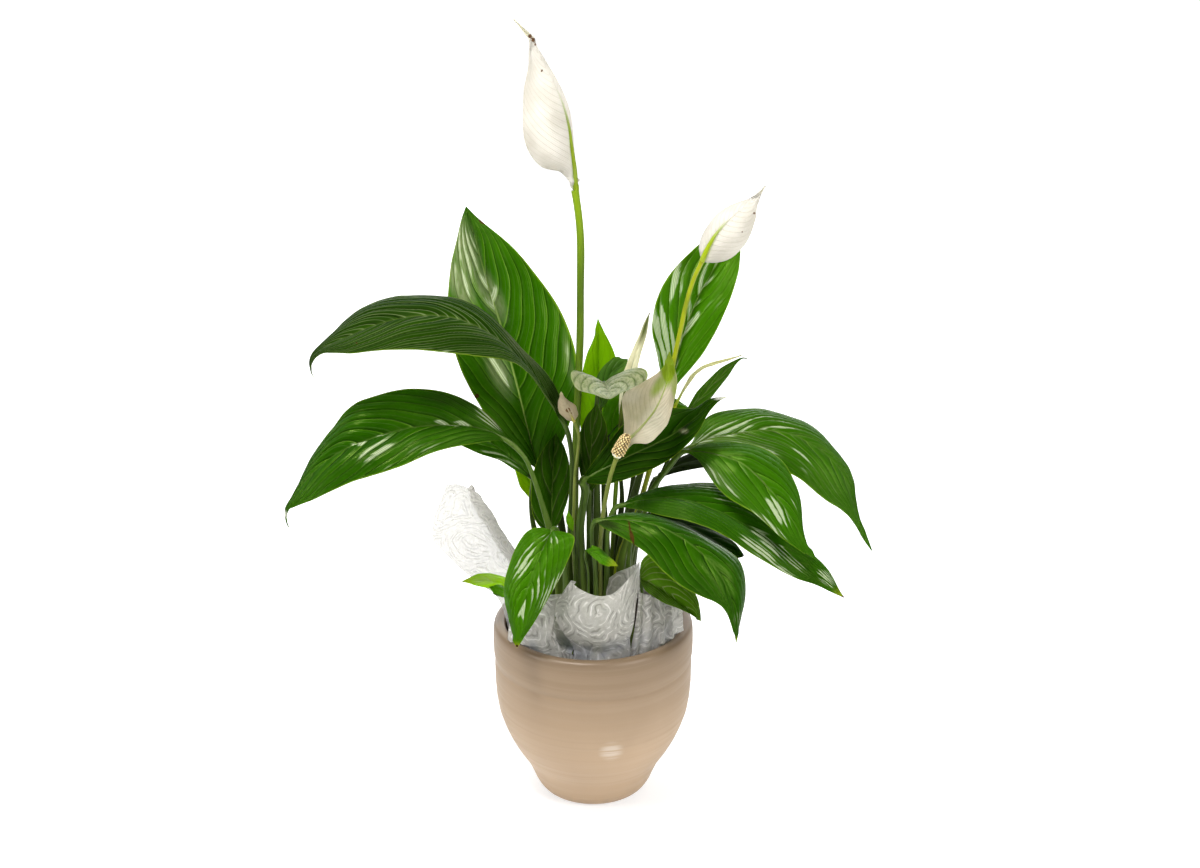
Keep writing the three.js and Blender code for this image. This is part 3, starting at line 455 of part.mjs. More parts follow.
// Soil with a hollow round every stalk that stands in it.
function soil() {
  const rBot = NURSERY_R0 - NURSERY_WALL - 1.2;
  const rTop = nurseryR(SOIL_TOP) - NURSERY_WALL - 0.7;
  let body = toManifold(turned([[0, POT_FLOOR + 4.4], [rBot - 2, POT_FLOOR + 4.4], [rBot, POT_FLOOR + 7], [rTop, SOIL_TOP - 2],
    [rTop - 3, SOIL_TOP - 0.4], [rTop * 0.6, SOIL_TOP + 0.6], [0, SOIL_TOP + 1.2]], 28));
  const bases = [];
  for (const d of Object.values(LEAVES)) bases.push([pathPoints(d.stalk, 40, d.rib[1]), d.r0]);
  for (const d of Object.values(STEMS)) bases.push([pathPoints(d.path, 40), d.r0]);
  for (const [run, r] of bases) {
    const b = run.find((q) => q.p.z > SOIL_TOP + 3) || run[1];
    body = body.subtract(toManifold(rod([run[0].p, b.p], r + HOLE_GAP + 0.25, SOIL_TOP - ROOT_DEPTH - 1, SOIL_TOP + 8)));
  }
  return fromManifold(body);
}

// ---- gift wrap: one sheet round the plastic pot, its edge in flaps --------------
function wrapSheet() {
  const TH = 60;
  const rows = [[0, 62.5, 52], [0.3, 67.5, 96], [0.55, 70, 140], [0.68, 70.4, 153]];
  const key = WRAP_TOP;
  const topAt = (deg) => {
    // periodic Catmull-Rom through the listed edge points
    const n = key.length;
    let i = 0;
    while (i < n - 1 && key[i + 1][0] <= deg) i++;
    const g = (j) => key[((j % n) + n) % n];
    const a0 = g(i)[0], a1 = i + 1 < n ? g(i + 1)[0] : g(0)[0] + 360;
    const f = (deg - a0) / (a1 - a0);
    const q = [1, 2, 3].map((c) => {
      const p0 = g(i - 1)[c], p1 = g(i)[c], p2 = g(i + 1)[c], p3 = g(i + 2)[c];
      return 0.5 * (2 * p1 + (p2 - p0) * f + (2 * p0 - 5 * p1 + 4 * p2 - p3) * f * f + (3 * p1 - p0 - 3 * p2 + p3) * f * f * f);
    });
    return V(q);
  };
  const place = (deg, s) => {
    const a = deg * Math.PI / 180;
    const wave = 0.8 * Math.sin(a * 9) * Math.min(1, s * 2);
    if (s <= 0.68) {
      let i = 0;
      while (i < rows.length - 2 && rows[i + 1][0] < s) i++;
      const f = (s - rows[i][0]) / (rows[i + 1][0] - rows[i][0]);
      const r = rows[i][1] + (rows[i + 1][1] - rows[i][1]) * f + wave;
      return new THREE.Vector3(r * Math.cos(a), r * Math.sin(a), rows[i][2] + (rows[i + 1][2] - rows[i][2]) * f);
    }
    const r = 70.4 + wave;
    const from = new THREE.Vector3(r * Math.cos(a), r * Math.sin(a), 153);
    return lerp(from, topAt(deg), (s - 0.68) / 0.32);
  };
  const levels = [0, 0.3, 0.55, 0.68, 0.84, 1];
  const n = levels.length;
  const pos = [];
  const grid = [];
  const at = (i, j) => {
    const deg = 360 * (((i % TH) + TH) % TH) / TH;
    return place(deg, levels[Math.max(0, Math.min(n - 1, j))]);
  };
  for (const sign of [1, -1]) {
    for (let i = 0; i < TH; i++) {
      for (let j = 0; j < n; j++) {
        const c = at(i, j);
        const du = add(at(i + 1, j), at(i - 1, j), -1);
        const dv = add(at(i, j + 1), at(i, j - 1), -1);
        const nn = cross(du, dv).normalize();
        const q = add(c, nn, sign * WRAP_THICK / 2);
        grid.push(pos.length / 3);
        pos.push(q.x, q.y, q.z);
      }
    }
  }
  const id = (side, i, j) => side * TH * n + (i % TH) * n + j;
  const idx = [];
  for (let i = 0; i < TH; i++) {
    for (let j = 0; j < n - 1; j++) {
      idx.push(id(0, i, j), id(0, i + 1, j), id(0, i + 1, j + 1), id(0, i, j), id(0, i + 1, j + 1), id(0, i, j + 1));
      idx.push(id(1, i, j), id(1, i + 1, j + 1), id(1, i + 1, j), id(1, i, j), id(1, i, j + 1), id(1, i + 1, j + 1));
    }
    idx.push(id(0, i, n - 1), id(0, i + 1, n - 1), id(1, i + 1, n - 1), id(0, i, n - 1), id(1, i + 1, n - 1), id(1, i, n - 1));
    idx.push(id(0, i, 0), id(1, i + 1, 0), id(0, i + 1, 0), id(0, i, 0), id(1, i, 0), id(1, i + 1, 0));
  }
  return solid(pos, idx);
}

// ---- the object -----------------------------------------------------------------
const group = new THREE.Group();
group.name = 'potted_peace_lily';
function put(name, geometry, color, roughness) {
  const mesh = new THREE.Mesh(geometry, new THREE.MeshStandardMaterial({ color, roughness, metalness: 0 }));
  mesh.name = name;
  group.add(mesh);
}
put('ceramic_pot', coverPot(), 0xbea587, 0.4);
put('nursery_pot', nurseryPot(), 0x4a3a30, 0.6);
put('potting_soil', soil(), 0x2a1d14, 0.95);
put('wrap_sheet', wrapSheet(), 0xe6e6ea, 0.8);
for (const [name, d] of Object.entries(LEAVES)) put(name, leaf(d), 0x2f6b12, 0.35);
for (const [name, d] of Object.entries(STEMS)) put(name, stem(d), 0x6d8f24, 0.5);
for (const [name, d] of Object.entries(SPATHES)) put(name, spathe(d), 0xf3f0e6, 0.5);
for (const [name, d] of Object.entries(SPADICES)) put(name, spadix(d), 0xd9b46c, 0.7);

export default group;
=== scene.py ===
import math

import bpy
import numpy as np
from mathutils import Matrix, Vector, noise


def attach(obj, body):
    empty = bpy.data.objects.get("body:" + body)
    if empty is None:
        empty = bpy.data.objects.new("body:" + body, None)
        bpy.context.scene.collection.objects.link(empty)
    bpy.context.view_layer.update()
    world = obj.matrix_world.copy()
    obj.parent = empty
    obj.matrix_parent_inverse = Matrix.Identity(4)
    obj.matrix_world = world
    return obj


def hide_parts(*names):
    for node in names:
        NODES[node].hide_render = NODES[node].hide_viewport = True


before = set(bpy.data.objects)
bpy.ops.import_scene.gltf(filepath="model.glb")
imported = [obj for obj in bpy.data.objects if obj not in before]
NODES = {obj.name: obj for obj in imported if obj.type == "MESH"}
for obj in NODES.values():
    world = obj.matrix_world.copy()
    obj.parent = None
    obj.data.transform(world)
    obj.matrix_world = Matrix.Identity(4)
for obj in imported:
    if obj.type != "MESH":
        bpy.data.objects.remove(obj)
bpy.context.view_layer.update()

rng = np.random.default_rng(11)

# ---------------------------------------------------------------- data (mm)
# Stalk points, midrib and margins of each blade, the same tables as the solids.
T = {
 "leaves": [
  {"name": "leaf_01", "cam": 0.14, "rad": (2.3, 1.7),
   "P": [[-24, 18, 132], [-22.8, 14, 197.2], [-30.9, 16, 223.7], [-37.4, 20, 253.5], [-43.9, 24, 276.9]],
   "M": [[-43.9, 24, 276.9], [-45.4, 25.1, 281.1], [-47.5, 26.8, 287.4], [-49.5, 28.5, 293.7], [-51.8, 30.7, 302.3], [-53.9, 33, 310.9], [-56.6, 36, 321.5], [-59.3, 39.3, 332.1], [-62, 43, 342.5], [-64.9, 46.8, 352.8], [-68.4, 51.6, 365.1], [-71.3, 55.5, 375.4], [-74.8, 60, 387.8], [-78.1, 63.7, 398], [-82.4, 68.1, 410.2], [-85.8, 71.6, 420.4], [-89.6, 75.8, 432.8], [-92.5, 79.1, 443.2], [-95.4, 82.4, 453.7], [-97.7, 85, 462], [-99.5, 86.9, 468.3], [-100.7, 88.2, 472.4], [-101.9, 89.4, 476.6], [-102.5, 90.1, 478.6], [-103.2, 90.7, 480.7], [-103.8, 91.4, 482.8], [-104.4, 92, 484.9]],
   "L": [[-45.5, 23.7, 276.4], [-47.7, 23.6, 280.3], [-53.4, 23.1, 285.4], [-59.1, 22.6, 290.6], [-66.3, 21.9, 297.7], [-72.8, 21.3, 305.5], [-80.1, 20.7, 315.9], [-86.5, 20.8, 326.7], [-92.7, 22.2, 337.1], [-98.8, 25.1, 347.3], [-105.2, 29.6, 359.5], [-109.7, 33.5, 370.1], [-114, 38.1, 383.2], [-116.6, 42.3, 394.3], [-118.1, 48, 407.6], [-118, 53.3, 418.7], [-117.2, 59.8, 432], [-115.9, 65.3, 443], [-113.4, 71.3, 453.6], [-111.2, 76.5, 462.1], [-109.7, 80.6, 468.4], [-108.7, 83.4, 472.6], [-107.5, 86.2, 476.8], [-106.8, 87.7, 478.8], [-106.3, 90.1, 479.9], [-105.4, 91, 482.4], [-104.4, 92, 484.9]],
   "R": [[-42.3, 24.3, 277.4], [-40.2, 24.5, 280.7], [-35, 25.3, 286.7], [-30.4, 26.1, 293.1], [-25.3, 27.2, 302.4], [-21.2, 28.5, 312.1], [-17.2, 30.7, 324.4], [-14.4, 33.9, 336.7], [-13.1, 37.7, 349], [-12.9, 41.9, 361.2], [-14.9, 47, 375.6], [-18.5, 51.1, 387.3], [-24.3, 55.4, 401], [-30.3, 58.6, 412], [-38.9, 62.2, 424.3], [-46.7, 65.1, 434.1], [-56.1, 68.7, 445.8], [-64.8, 72.3, 454.7], [-74.6, 76.7, 462.4], [-82.8, 80.6, 468], [-89, 83.7, 472.2], [-93.1, 85.8, 475.2], [-97, 87.8, 478.2], [-98.9, 88.9, 479.8], [-100.7, 91.2, 481.3], [-102.6, 91.6, 483.1], [-104.4, 92, 484.9]]},
  {"name": "leaf_02", "cam": 0.12, "rad": (2.3, 1.7),
   "P": [[-17, -2, 132], [-17.4, -2, 209.1], [-18, -2, 244.9], [-17, -3, 280.5], [-17.6, -4, 306.8], [-20.6, -6, 324.6]],
   "M": [[-20.6, -6, 324.6], [-22.7, -6.8, 330.3], [-26.1, -8, 338.5], [-30.1, -9.2, 346.4], [-35.8, -10.8, 356.5], [-41.8, -12.4, 366.3], [-49.8, -14.3, 378.1], [-58.5, -16.2, 389], [-68, -17.8, 398.9], [-78.2, -19.1, 407.7], [-91.6, -20.4, 416.2], [-103.6, -21.4, 421.1], [-118.9, -22.7, 423.9], [-131.8, -23.9, 424.1], [-147.2, -25.8, 422.5], [-159.8, -27.6, 419.9], [-174.6, -30, 415.4], [-186.6, -32, 410.5], [-198.4, -34, 405.5], [-207.6, -35.6, 401.2], [-213.2, -36.8, 396.8], [-215.5, -37.6, 392.9], [-216.3, -38.4, 388.6], [-216, -38.8, 386.4], [-215.8, -39.2, 384.1], [-215, -39.6, 381.9], [-213.4, -40, 379.9]],
   "L": [[-21.3, -7.5, 324.1], [-22.9, -7.8, 330.1], [-28.1, -9.5, 337.4], [-30.2, -13.5, 345.8], [-35.5, -17.6, 355.9], [-40.9, -21.9, 365.9], [-48, -27.1, 377.9], [-56.7, -31.9, 387.4], [-67.5, -35.8, 392.8], [-79.1, -39.1, 395.8], [-93.2, -42.6, 398.6], [-104.9, -45.4, 400.7], [-118.9, -48.1, 402.8], [-130.6, -49.5, 404.1], [-144.8, -50.2, 404.6], [-156.7, -50.7, 404.4], [-171, -50.7, 403.4], [-183.2, -49.1, 402], [-195.6, -45.9, 401.4], [-205, -43.2, 400.1], [-210.7, -41.6, 396.5], [-213.4, -40.9, 392.9], [-215, -40.4, 388.8], [-215.1, -40.2, 386.7], [-215.2, -40.1, 384.4], [-214.8, -40, 382.1], [-213.4, -40, 379.9]],
   "R": [[-19.9, -4.5, 325.1], [-21, -6.2, 332.6], [-22.6, -5.3, 340.5], [-25.6, -6, 350.8], [-30.3, -5.2, 361.9], [-36.7, -3.6, 371.7], [-46.7, -1, 382.2], [-57.2, 2.2, 392.3], [-67.4, 5.3, 402.5], [-77.5, 7.7, 413], [-91.1, 9.1, 423.8], [-104.3, 9.5, 429.4], [-121.7, 9.4, 431.5], [-136.3, 8.4, 431.8], [-153.5, 5.2, 431.4], [-167.2, 0.8, 428.9], [-182.5, -5.7, 423.3], [-193.3, -12.8, 416.6], [-202.5, -21.3, 408.4], [-210.2, -28, 402.3], [-215.3, -32.3, 397.3], [-217.2, -34.6, 393.2], [-217.4, -36.7, 388.4], [-216.8, -37.6, 386.1], [-216.2, -38.5, 383.9], [-215.2, -39.2, 381.7], [-213.4, -40, 379.9]]},
  {"name": "leaf_03", "cam": 0.13, "rad": (2.3, 1.7),
   "P": [[-27, -12, 132], [-28.5, -18, 216.4], [-36.2, -20, 249.1], [-41.6, -19, 268.7], [-47.8, -18, 289.9], [-54, -17, 304.9], [-63.4, -16, 315.6], [-68.9, -16, 319.8]],
   "M": [[-68.9, -16, 319.8], [-72.3, -16.7, 322.7], [-77.8, -17.7, 326.4], [-83.7, -18.7, 329.1], [-91.9, -20, 331.8], [-100.3, -21.3, 333.7], [-110.9, -23.1, 334.9], [-121.5, -25, 335.4], [-132, -27.3, 335.5], [-142.4, -30, 335], [-154.6, -33.6, 333.4], [-164.5, -36.8, 331.3], [-176.3, -40.6, 328.5], [-186, -43.8, 325.7], [-197, -47.8, 321.1], [-205.5, -51.1, 315.9], [-214.9, -55.1, 308.6], [-221.9, -58.5, 301.5], [-228.3, -61.9, 293.9], [-233, -64.6, 287.4], [-235.7, -66.6, 282.3], [-236.7, -68, 278.8], [-236.7, -69.3, 275.2], [-236.3, -70, 273.4], [-235.9, -70.7, 271.6], [-235.2, -71.3, 269.9], [-234.2, -72, 268.1]],
   "L": [[-69.5, -17.1, 318.7], [-72.7, -18.3, 320.4], [-78.5, -21.7, 321.2], [-84.2, -25.1, 321.9], [-91.8, -29.5, 322.2], [-99.2, -33.7, 322.1], [-108.5, -38.2, 321.7], [-117.8, -42, 320.6], [-126.9, -45.5, 318.7], [-135.7, -49.2, 316.1], [-146.1, -53.9, 313.1], [-154.9, -57.6, 311.2], [-165.8, -61, 308.8], [-175, -63.1, 306.6], [-185.8, -65.1, 303.2], [-194.5, -66.7, 299.3], [-205, -68.5, 294.7], [-213.9, -69.2, 290.6], [-223.2, -69.1, 287], [-230.6, -68.9, 283.9], [-233.7, -69, 282.4], [-235.4, -69.3, 279.1], [-236, -70.1, 275.5], [-235.8, -70.5, 273.7], [-235.6, -71, 271.9], [-234.9, -71.6, 270.1], [-234.2, -72, 268.1]],
   "R": [[-68.2, -14.9, 320.9], [-71.1, -15.5, 326.1], [-75.2, -14.7, 332.4], [-80.2, -13.9, 338], [-87.9, -12.8, 344.5], [-96.4, -12, 349.9], [-107.7, -11.4, 355.4], [-119.6, -11.5, 359.2], [-132, -12.4, 361.2], [-144.4, -13.7, 362], [-159.1, -15.8, 360.5], [-171.1, -18.1, 357.7], [-184.8, -21.9, 353.5], [-193.9, -26, 346.8], [-202.8, -31.5, 336.2], [-210.3, -36.2, 327.3], [-218.4, -42.1, 316.3], [-224, -48, 306.8], [-228.9, -54.7, 297.3], [-232.9, -60.3, 290], [-237.8, -64.1, 282.2], [-238.2, -66.3, 278.3], [-237.7, -68.3, 274.8], [-237, -69.3, 273], [-236.4, -70.2, 271.3], [-235.5, -71, 269.6], [-234.2, -72, 268.1]]},
  {"name": "leaf_04", "cam": 0.14, "rad": (2.3, 1.7),
   "P": [[-36, 4, 132], [-37.3, 0, 206.3], [-48.5, 2, 236.1], [-50.8, 5, 259.7], [-48.9, 6, 277.8]],
   "M": [[-48.9, 6, 277.8], [-50.4, 6.2, 279.3], [-52.5, 6.5, 281.5], [-54.6, 6.8, 283.7], [-57.5, 7.2, 286.6], [-60.3, 7.6, 289.4], [-64, 8.1, 293], [-67.7, 8.6, 296.5], [-71.4, 9.1, 299.8], [-75.5, 9.6, 302.8], [-80.5, 10.2, 306.1], [-84.8, 10.7, 308.7], [-90.3, 11.3, 311.2], [-94.9, 11.8, 313.2], [-100.4, 12.4, 315.5], [-105.2, 12.9, 316.9], [-111.2, 13.5, 317.7], [-116.2, 14, 318.2], [-121.3, 14.5, 318.7], [-125.3, 14.9, 319.1], [-128.3, 15.2, 319.4], [-130.4, 15.4, 319.5], [-132.4, 15.6, 319.7], [-133.4, 15.7, 319.8], [-134.4, 15.8, 319.9], [-135.4, 15.9, 320], [-136.4, 16, 320.1]],
   "L": [[-49.9, 4.8, 277.1], [-50.6, 5.5, 278.1], [-54.1, 5.7, 280], [-55.7, 4.1, 281.8], [-59.1, 3.2, 284.2], [-62.4, 2.3, 286.7], [-66.4, 1.1, 289.9], [-70.4, 0.2, 293.2], [-74.5, -0.3, 296.1], [-78.9, -0.3, 298], [-84.5, 0.2, 299.7], [-89.2, 0.7, 301], [-94.7, 1.3, 303.1], [-99.1, 1.8, 305], [-104.5, 2.5, 307.3], [-108.9, 3.5, 309.3], [-114.2, 5.3, 311.5], [-118.6, 7.3, 313.2], [-123, 9.5, 314.9], [-126.6, 11.2, 316.3], [-129.3, 12.5, 317.3], [-130.7, 13.4, 317.9], [-132.6, 14.3, 318.7], [-133.6, 14.7, 319], [-134.5, 15.1, 319.4], [-135.5, 15.6, 319.8], [-136.4, 16, 320.1]],
   "R": [[-48, 7.2, 278.5], [-49.8, 7, 282.2], [-49.5, 7.9, 284.1], [-52.3, 10, 287.5], [-54.1, 12, 291], [-56.3, 14, 294.2], [-60, 16.5, 297.6], [-64, 18.7, 300.8], [-68.2, 20.5, 304], [-72.8, 21.8, 306.6], [-78.5, 22.8, 309.6], [-83.3, 23.6, 312.1], [-89, 24.4, 315.2], [-93.8, 25.2, 317.9], [-99.6, 25.9, 320.8], [-104.7, 25.9, 322.1], [-111.2, 24.9, 323.1], [-116.4, 23.3, 324], [-121.6, 21.5, 324.2], [-125.6, 20, 323.4], [-128.5, 18.9, 322.5], [-129.9, 18.2, 321.8], [-132.1, 17.5, 321.3], [-133.1, 17.1, 321], [-134.2, 16.7, 320.7], [-135.3, 16.4, 320.4], [-136.4, 16, 320.1]]},
  {"name": "leaf_05", "cam": 0.14, "rad": (1.8, 1.3),
   "P": [[-30, 30, 132], [-28.2, 29, 194.9], [-34.8, 33, 216.2], [-39.7, 36, 237.8]],
   "M": [[-39.8, 36, 237.8], [-40.2, 36.3, 238.7], [-41, 36.8, 239.9], [-41.7, 37.3, 241.2], [-42.7, 37.9, 242.8], [-43.7, 38.6, 244.5], [-45, 39.4, 246.6], [-46.2, 40.2, 248.7], [-47.5, 41, 250.7], [-48.8, 41.8, 252.8], [-50.4, 42.7, 255.2], [-51.8, 43.5, 257.1], [-53.5, 44.5, 259.5], [-54.9, 45.3, 261.5], [-56.5, 46.2, 263.9], [-58.1, 47, 265.8], [-60, 48, 267.9], [-61.7, 48.8, 269.7], [-63.4, 49.6, 271.5], [-64.8, 50.2, 272.9], [-65.8, 50.7, 273.9], [-66.4, 51, 274.6], [-67.1, 51.4, 275.3], [-67.5, 51.5, 275.7], [-67.8, 51.7, 276], [-68.1, 51.8, 276.4], [-68.5, 52, 276.8]],
   "L": [[-40.9, 35.7, 237.2], [-40.6, 36, 236.7], [-43, 37.1, 238.6], [-44.1, 37.6, 239.6], [-44.8, 36, 240.4], [-46.4, 36, 241.9], [-48.5, 36, 243.8], [-50.6, 36, 245.6], [-52.6, 36, 247.5], [-54.4, 36, 249.6], [-56.5, 36, 252.3], [-58.2, 36.3, 254.4], [-60.2, 37.3, 256.7], [-61.6, 38.6, 258.6], [-62.7, 40.5, 261.2], [-63.5, 42.1, 263.3], [-64.5, 44, 265.9], [-65.3, 45.6, 268.1], [-66.1, 47.2, 270.2], [-66.9, 49.4, 271.2], [-67.3, 50.1, 272.7], [-67.6, 50.6, 273.7], [-67.9, 51, 274.8], [-68, 51.3, 275.2], [-68.2, 51.5, 275.8], [-68.5, 51.7, 276.1], [-68.5, 52, 276.8]],
   "R": [[-38.6, 36.3, 238.4], [-39, 36.4, 240.7], [-38.5, 36.5, 241.5], [-38.6, 36.9, 243.2], [-39.3, 38.4, 245.9], [-39.5, 39.2, 247.9], [-39.7, 40.2, 250.5], [-40.3, 41.2, 253], [-41.4, 42.2, 255.3], [-42.7, 43.2, 257.6], [-44.2, 44.4, 260.3], [-45.5, 45.3, 262.6], [-47, 46.3, 265.4], [-48.7, 47, 267.5], [-51, 47.7, 269.8], [-53, 48.3, 271.7], [-55.4, 49, 273.9], [-57.5, 49.6, 275.4], [-60.1, 50.2, 276.1], [-61.6, 51.5, 275.3], [-63.5, 51.6, 275.7], [-64.7, 51.7, 276], [-66, 51.8, 276.2], [-66.6, 51.9, 276.4], [-67.2, 51.9, 276.5], [-67.8, 52, 276.7], [-68.5, 52, 276.8]]},
  {"name": "leaf_06", "cam": 0.14, "rad": (2.0, 1.5),
   "P": [[-22, -22, 132], [-25.4, -14, 203.8], [-30.3, -10, 219.9], [-33.5, -6, 234.2]],
   "M": [[-33.5, -6, 234.2], [-33.5, -5.5, 235.8], [-33.5, -4.8, 238.2], [-33.5, -4.1, 240.6], [-33.5, -3.1, 243.8], [-33.5, -2.2, 246.9], [-33.5, -1, 250.9], [-33.5, 0.2, 254.9], [-33.5, 1.4, 258.8], [-33.4, 2.6, 262.8], [-33.3, 4.1, 267.6], [-33.1, 5.2, 271.6], [-32.9, 6.5, 276.4], [-32.8, 7.4, 280.4], [-32.5, 8.5, 285.3], [-32.2, 9.4, 289.4], [-31.8, 10.5, 294.2], [-31.4, 11.4, 298.3], [-31.1, 12.3, 302.3], [-30.8, 13, 305.6], [-30.6, 13.6, 308], [-30.5, 13.9, 309.6], [-30.3, 14.3, 311.2], [-30.3, 14.5, 312], [-30.2, 14.6, 312.8], [-30.1, 14.8, 313.6], [-30.1, 15, 314.4]],
   "L": [[-35, -6, 234.2], [-35.3, -5.9, 235], [-37.9, -5.7, 236.2], [-40.4, -5.5, 237.6], [-43.2, -5.3, 240.1], [-45.5, -5, 243.2], [-47.9, -4.7, 247.5], [-49.5, -4.4, 252.2], [-50.1, -4.1, 257.1], [-50.5, -3.8, 262.2], [-50.5, -3.4, 268.2], [-50.2, -2.9, 273.1], [-49.8, -1.6, 278.7], [-48.8, -0.1, 283.1], [-47.4, 2, 288.2], [-46, 3.8, 292.4], [-43.8, 6, 297.2], [-41.5, 7.8, 300.9], [-39, 9.6, 304.6], [-36.9, 11, 307.4], [-35.1, 12.1, 309.4], [-34.2, 13.7, 310], [-32.8, 14.1, 311.5], [-32.1, 14.3, 312.2], [-31.4, 14.6, 312.9], [-30.8, 14.8, 313.7], [-30.1, 15, 314.4]],
   "R": [[-32, -6, 234.2], [-31.9, -5.7, 235.8], [-30.6, -5.3, 238.1], [-29.4, -4.9, 240.5], [-27.7, -4.3, 243.6], [-26.1, -3.8, 246.8], [-24.4, -3.1, 250.9], [-22.9, -2.4, 255.1], [-21.4, -1.7, 259.3], [-20.3, -1, 263.5], [-19.4, -0.1, 268.8], [-18.7, 0.7, 273.1], [-18.1, 2, 278.2], [-18.3, 3.2, 282.4], [-18.8, 4.9, 287.4], [-19.3, 6.3, 291.5], [-20.4, 8, 296.3], [-21.7, 9.4, 300.2], [-23.2, 10.8, 304.1], [-24.8, 11.9, 307], [-26.2, 12.8, 309.1], [-27, 14.1, 309.3], [-28, 14.4, 311], [-28.5, 14.6, 311.9], [-29.1, 14.7, 312.7], [-29.6, 14.8, 313.6], [-30.1, 15, 314.4]]},
  {"name": "leaf_07", "cam": 0.16, "rad": (2.0, 1.6),
   "P": [[-20, -33, 132], [-23.4, -27, 224], [-26.4, -29, 240.8], [-29.4, -34, 251.7], [-32.4, -40, 252.5]],
   "M": [[-32.4, -40, 252.6], [-33.2, -41.5, 251.3], [-34.5, -43.7, 249.3], [-35.8, -45.9, 247.4], [-37.4, -48.8, 244.8], [-39, -51.7, 242.2], [-41, -55.4, 239], [-42.8, -58.9, 235.7], [-44.6, -62.1, 232.2], [-46.3, -65.1, 228.6], [-48.2, -68.4, 224.1], [-49.8, -71.1, 220.3], [-51.7, -74.1, 215.7], [-53.3, -76.4, 211.7], [-55.1, -78.7, 206.7], [-56.5, -80.2, 202.3], [-57.8, -81.8, 196.7], [-58.6, -83, 192], [-59.1, -84.2, 187.3], [-59.2, -85.2, 183.5], [-59.2, -86, 180.6], [-59.2, -86.5, 178.7], [-59.2, -87, 176.8], [-59.2, -87.2, 175.8], [-59.2, -87.5, 174.8], [-59.2, -87.8, 173.9], [-59.2, -88, 172.9]],
   "L": [[-30.9, -40.6, 252.2], [-29.2, -41.7, 252.8], [-25.6, -44.2, 253.3], [-22, -46.7, 253.6], [-17.5, -49.9, 253.6], [-14.6, -53, 252.4], [-14.6, -56.1, 248.3], [-16.3, -58.3, 243.1], [-18.4, -59.7, 237.6], [-20.8, -60.7, 232.1], [-23.8, -61.7, 225.4], [-26.6, -62.8, 220.1], [-30.1, -65.1, 214.3], [-33, -67.6, 209.8], [-36.5, -70.6, 204.3], [-39.3, -72.7, 199.5], [-42.9, -75.2, 193.9], [-46, -77.4, 189.4], [-49.3, -79.8, 185.1], [-52, -82, 181.9], [-54.1, -83.6, 179.5], [-55, -86.8, 178.7], [-56.4, -87.2, 176.8], [-57.1, -87.4, 175.8], [-57.9, -87.6, 174.9], [-58.5, -87.8, 173.9], [-59.2, -88, 172.9]],
   "R": [[-33.9, -39.4, 252.8], [-34.7, -40.5, 253.4], [-38.1, -41.3, 254.7], [-41.6, -42, 255.5], [-46.2, -43, 255.7], [-50.4, -44.1, 254.4], [-54.7, -45.5, 250.9], [-58.1, -47.2, 246.4], [-61, -49.3, 241.6], [-63.4, -51.3, 236.5], [-65.7, -53.7, 230.2], [-67.4, -56, 225], [-69.1, -59.4, 219], [-69.9, -62.6, 214.1], [-69.8, -66.4, 208], [-69.1, -69.3, 202.9], [-67.6, -72.5, 196.7], [-66.3, -75.3, 191.7], [-64.8, -78.3, 186.8], [-63.6, -80.9, 183], [-62.6, -82.8, 180.1], [-62.8, -86.2, 178.6], [-61.7, -86.8, 176.7], [-61.1, -87.1, 175.8], [-60.5, -87.4, 174.8], [-59.9, -87.7, 173.9], [-59.2, -88, 172.9]]},
  {"name": "leaf_08", "cam": 0.14, "rad": (1.5, 1.1),
   "P": [[-40, -10, 132], [-39.8, -11, 176.9], [-48.7, -13, 184.3], [-60.1, -14, 187.5]],
   "M": [[-60.1, -14, 187.5], [-61, -14, 187.9], [-62.4, -14, 188.5], [-63.8, -14, 189.1], [-65.6, -14, 189.9], [-67.4, -14, 190.7], [-69.7, -14, 191.7], [-72, -14, 192.7], [-74.3, -14, 193.4], [-76.8, -14, 193.9], [-79.6, -14, 194.5], [-82, -14, 195.1], [-85, -14, 195.6], [-87.4, -14, 195.8], [-90.3, -14, 196.1], [-92.8, -14, 196.2], [-95.8, -14, 196.4], [-98.2, -14, 196.4], [-100.7, -14, 196.1], [-102.6, -14, 195.9], [-104.1, -14, 195.7], [-105.1, -14, 195.6], [-106.1, -14, 195.5], [-106.6, -14, 195.5], [-107.1, -14, 195.4], [-107.6, -14, 195.3], [-108, -14, 195.3]],
   "L": [[-60.5, -14.7, 186.7], [-61.1, -14.4, 185], [-63.7, -14.5, 185.7], [-65.2, -14.6, 185.9], [-65.9, -16.2, 186.4], [-67.8, -16.9, 187.1], [-70.2, -17.8, 187.9], [-72.5, -18.7, 188.9], [-74.8, -19.6, 189.9], [-77.2, -20.5, 190.8], [-80, -21.5, 191.8], [-82.3, -22.1, 192.5], [-85.2, -22.1, 193], [-87.7, -21.5, 193.2], [-90.6, -20.5, 193.3], [-93.1, -19.6, 193.4], [-96, -18.5, 193.5], [-98.4, -17.6, 193.8], [-100.5, -16.8, 194.4], [-102.5, -16.1, 194.6], [-104, -15.5, 194.8], [-105, -15.1, 194.9], [-106, -14.8, 195], [-106.5, -14.6, 195.1], [-107, -14.4, 195.2], [-107.5, -14.4, 195.1], [-108, -14, 195.3]],
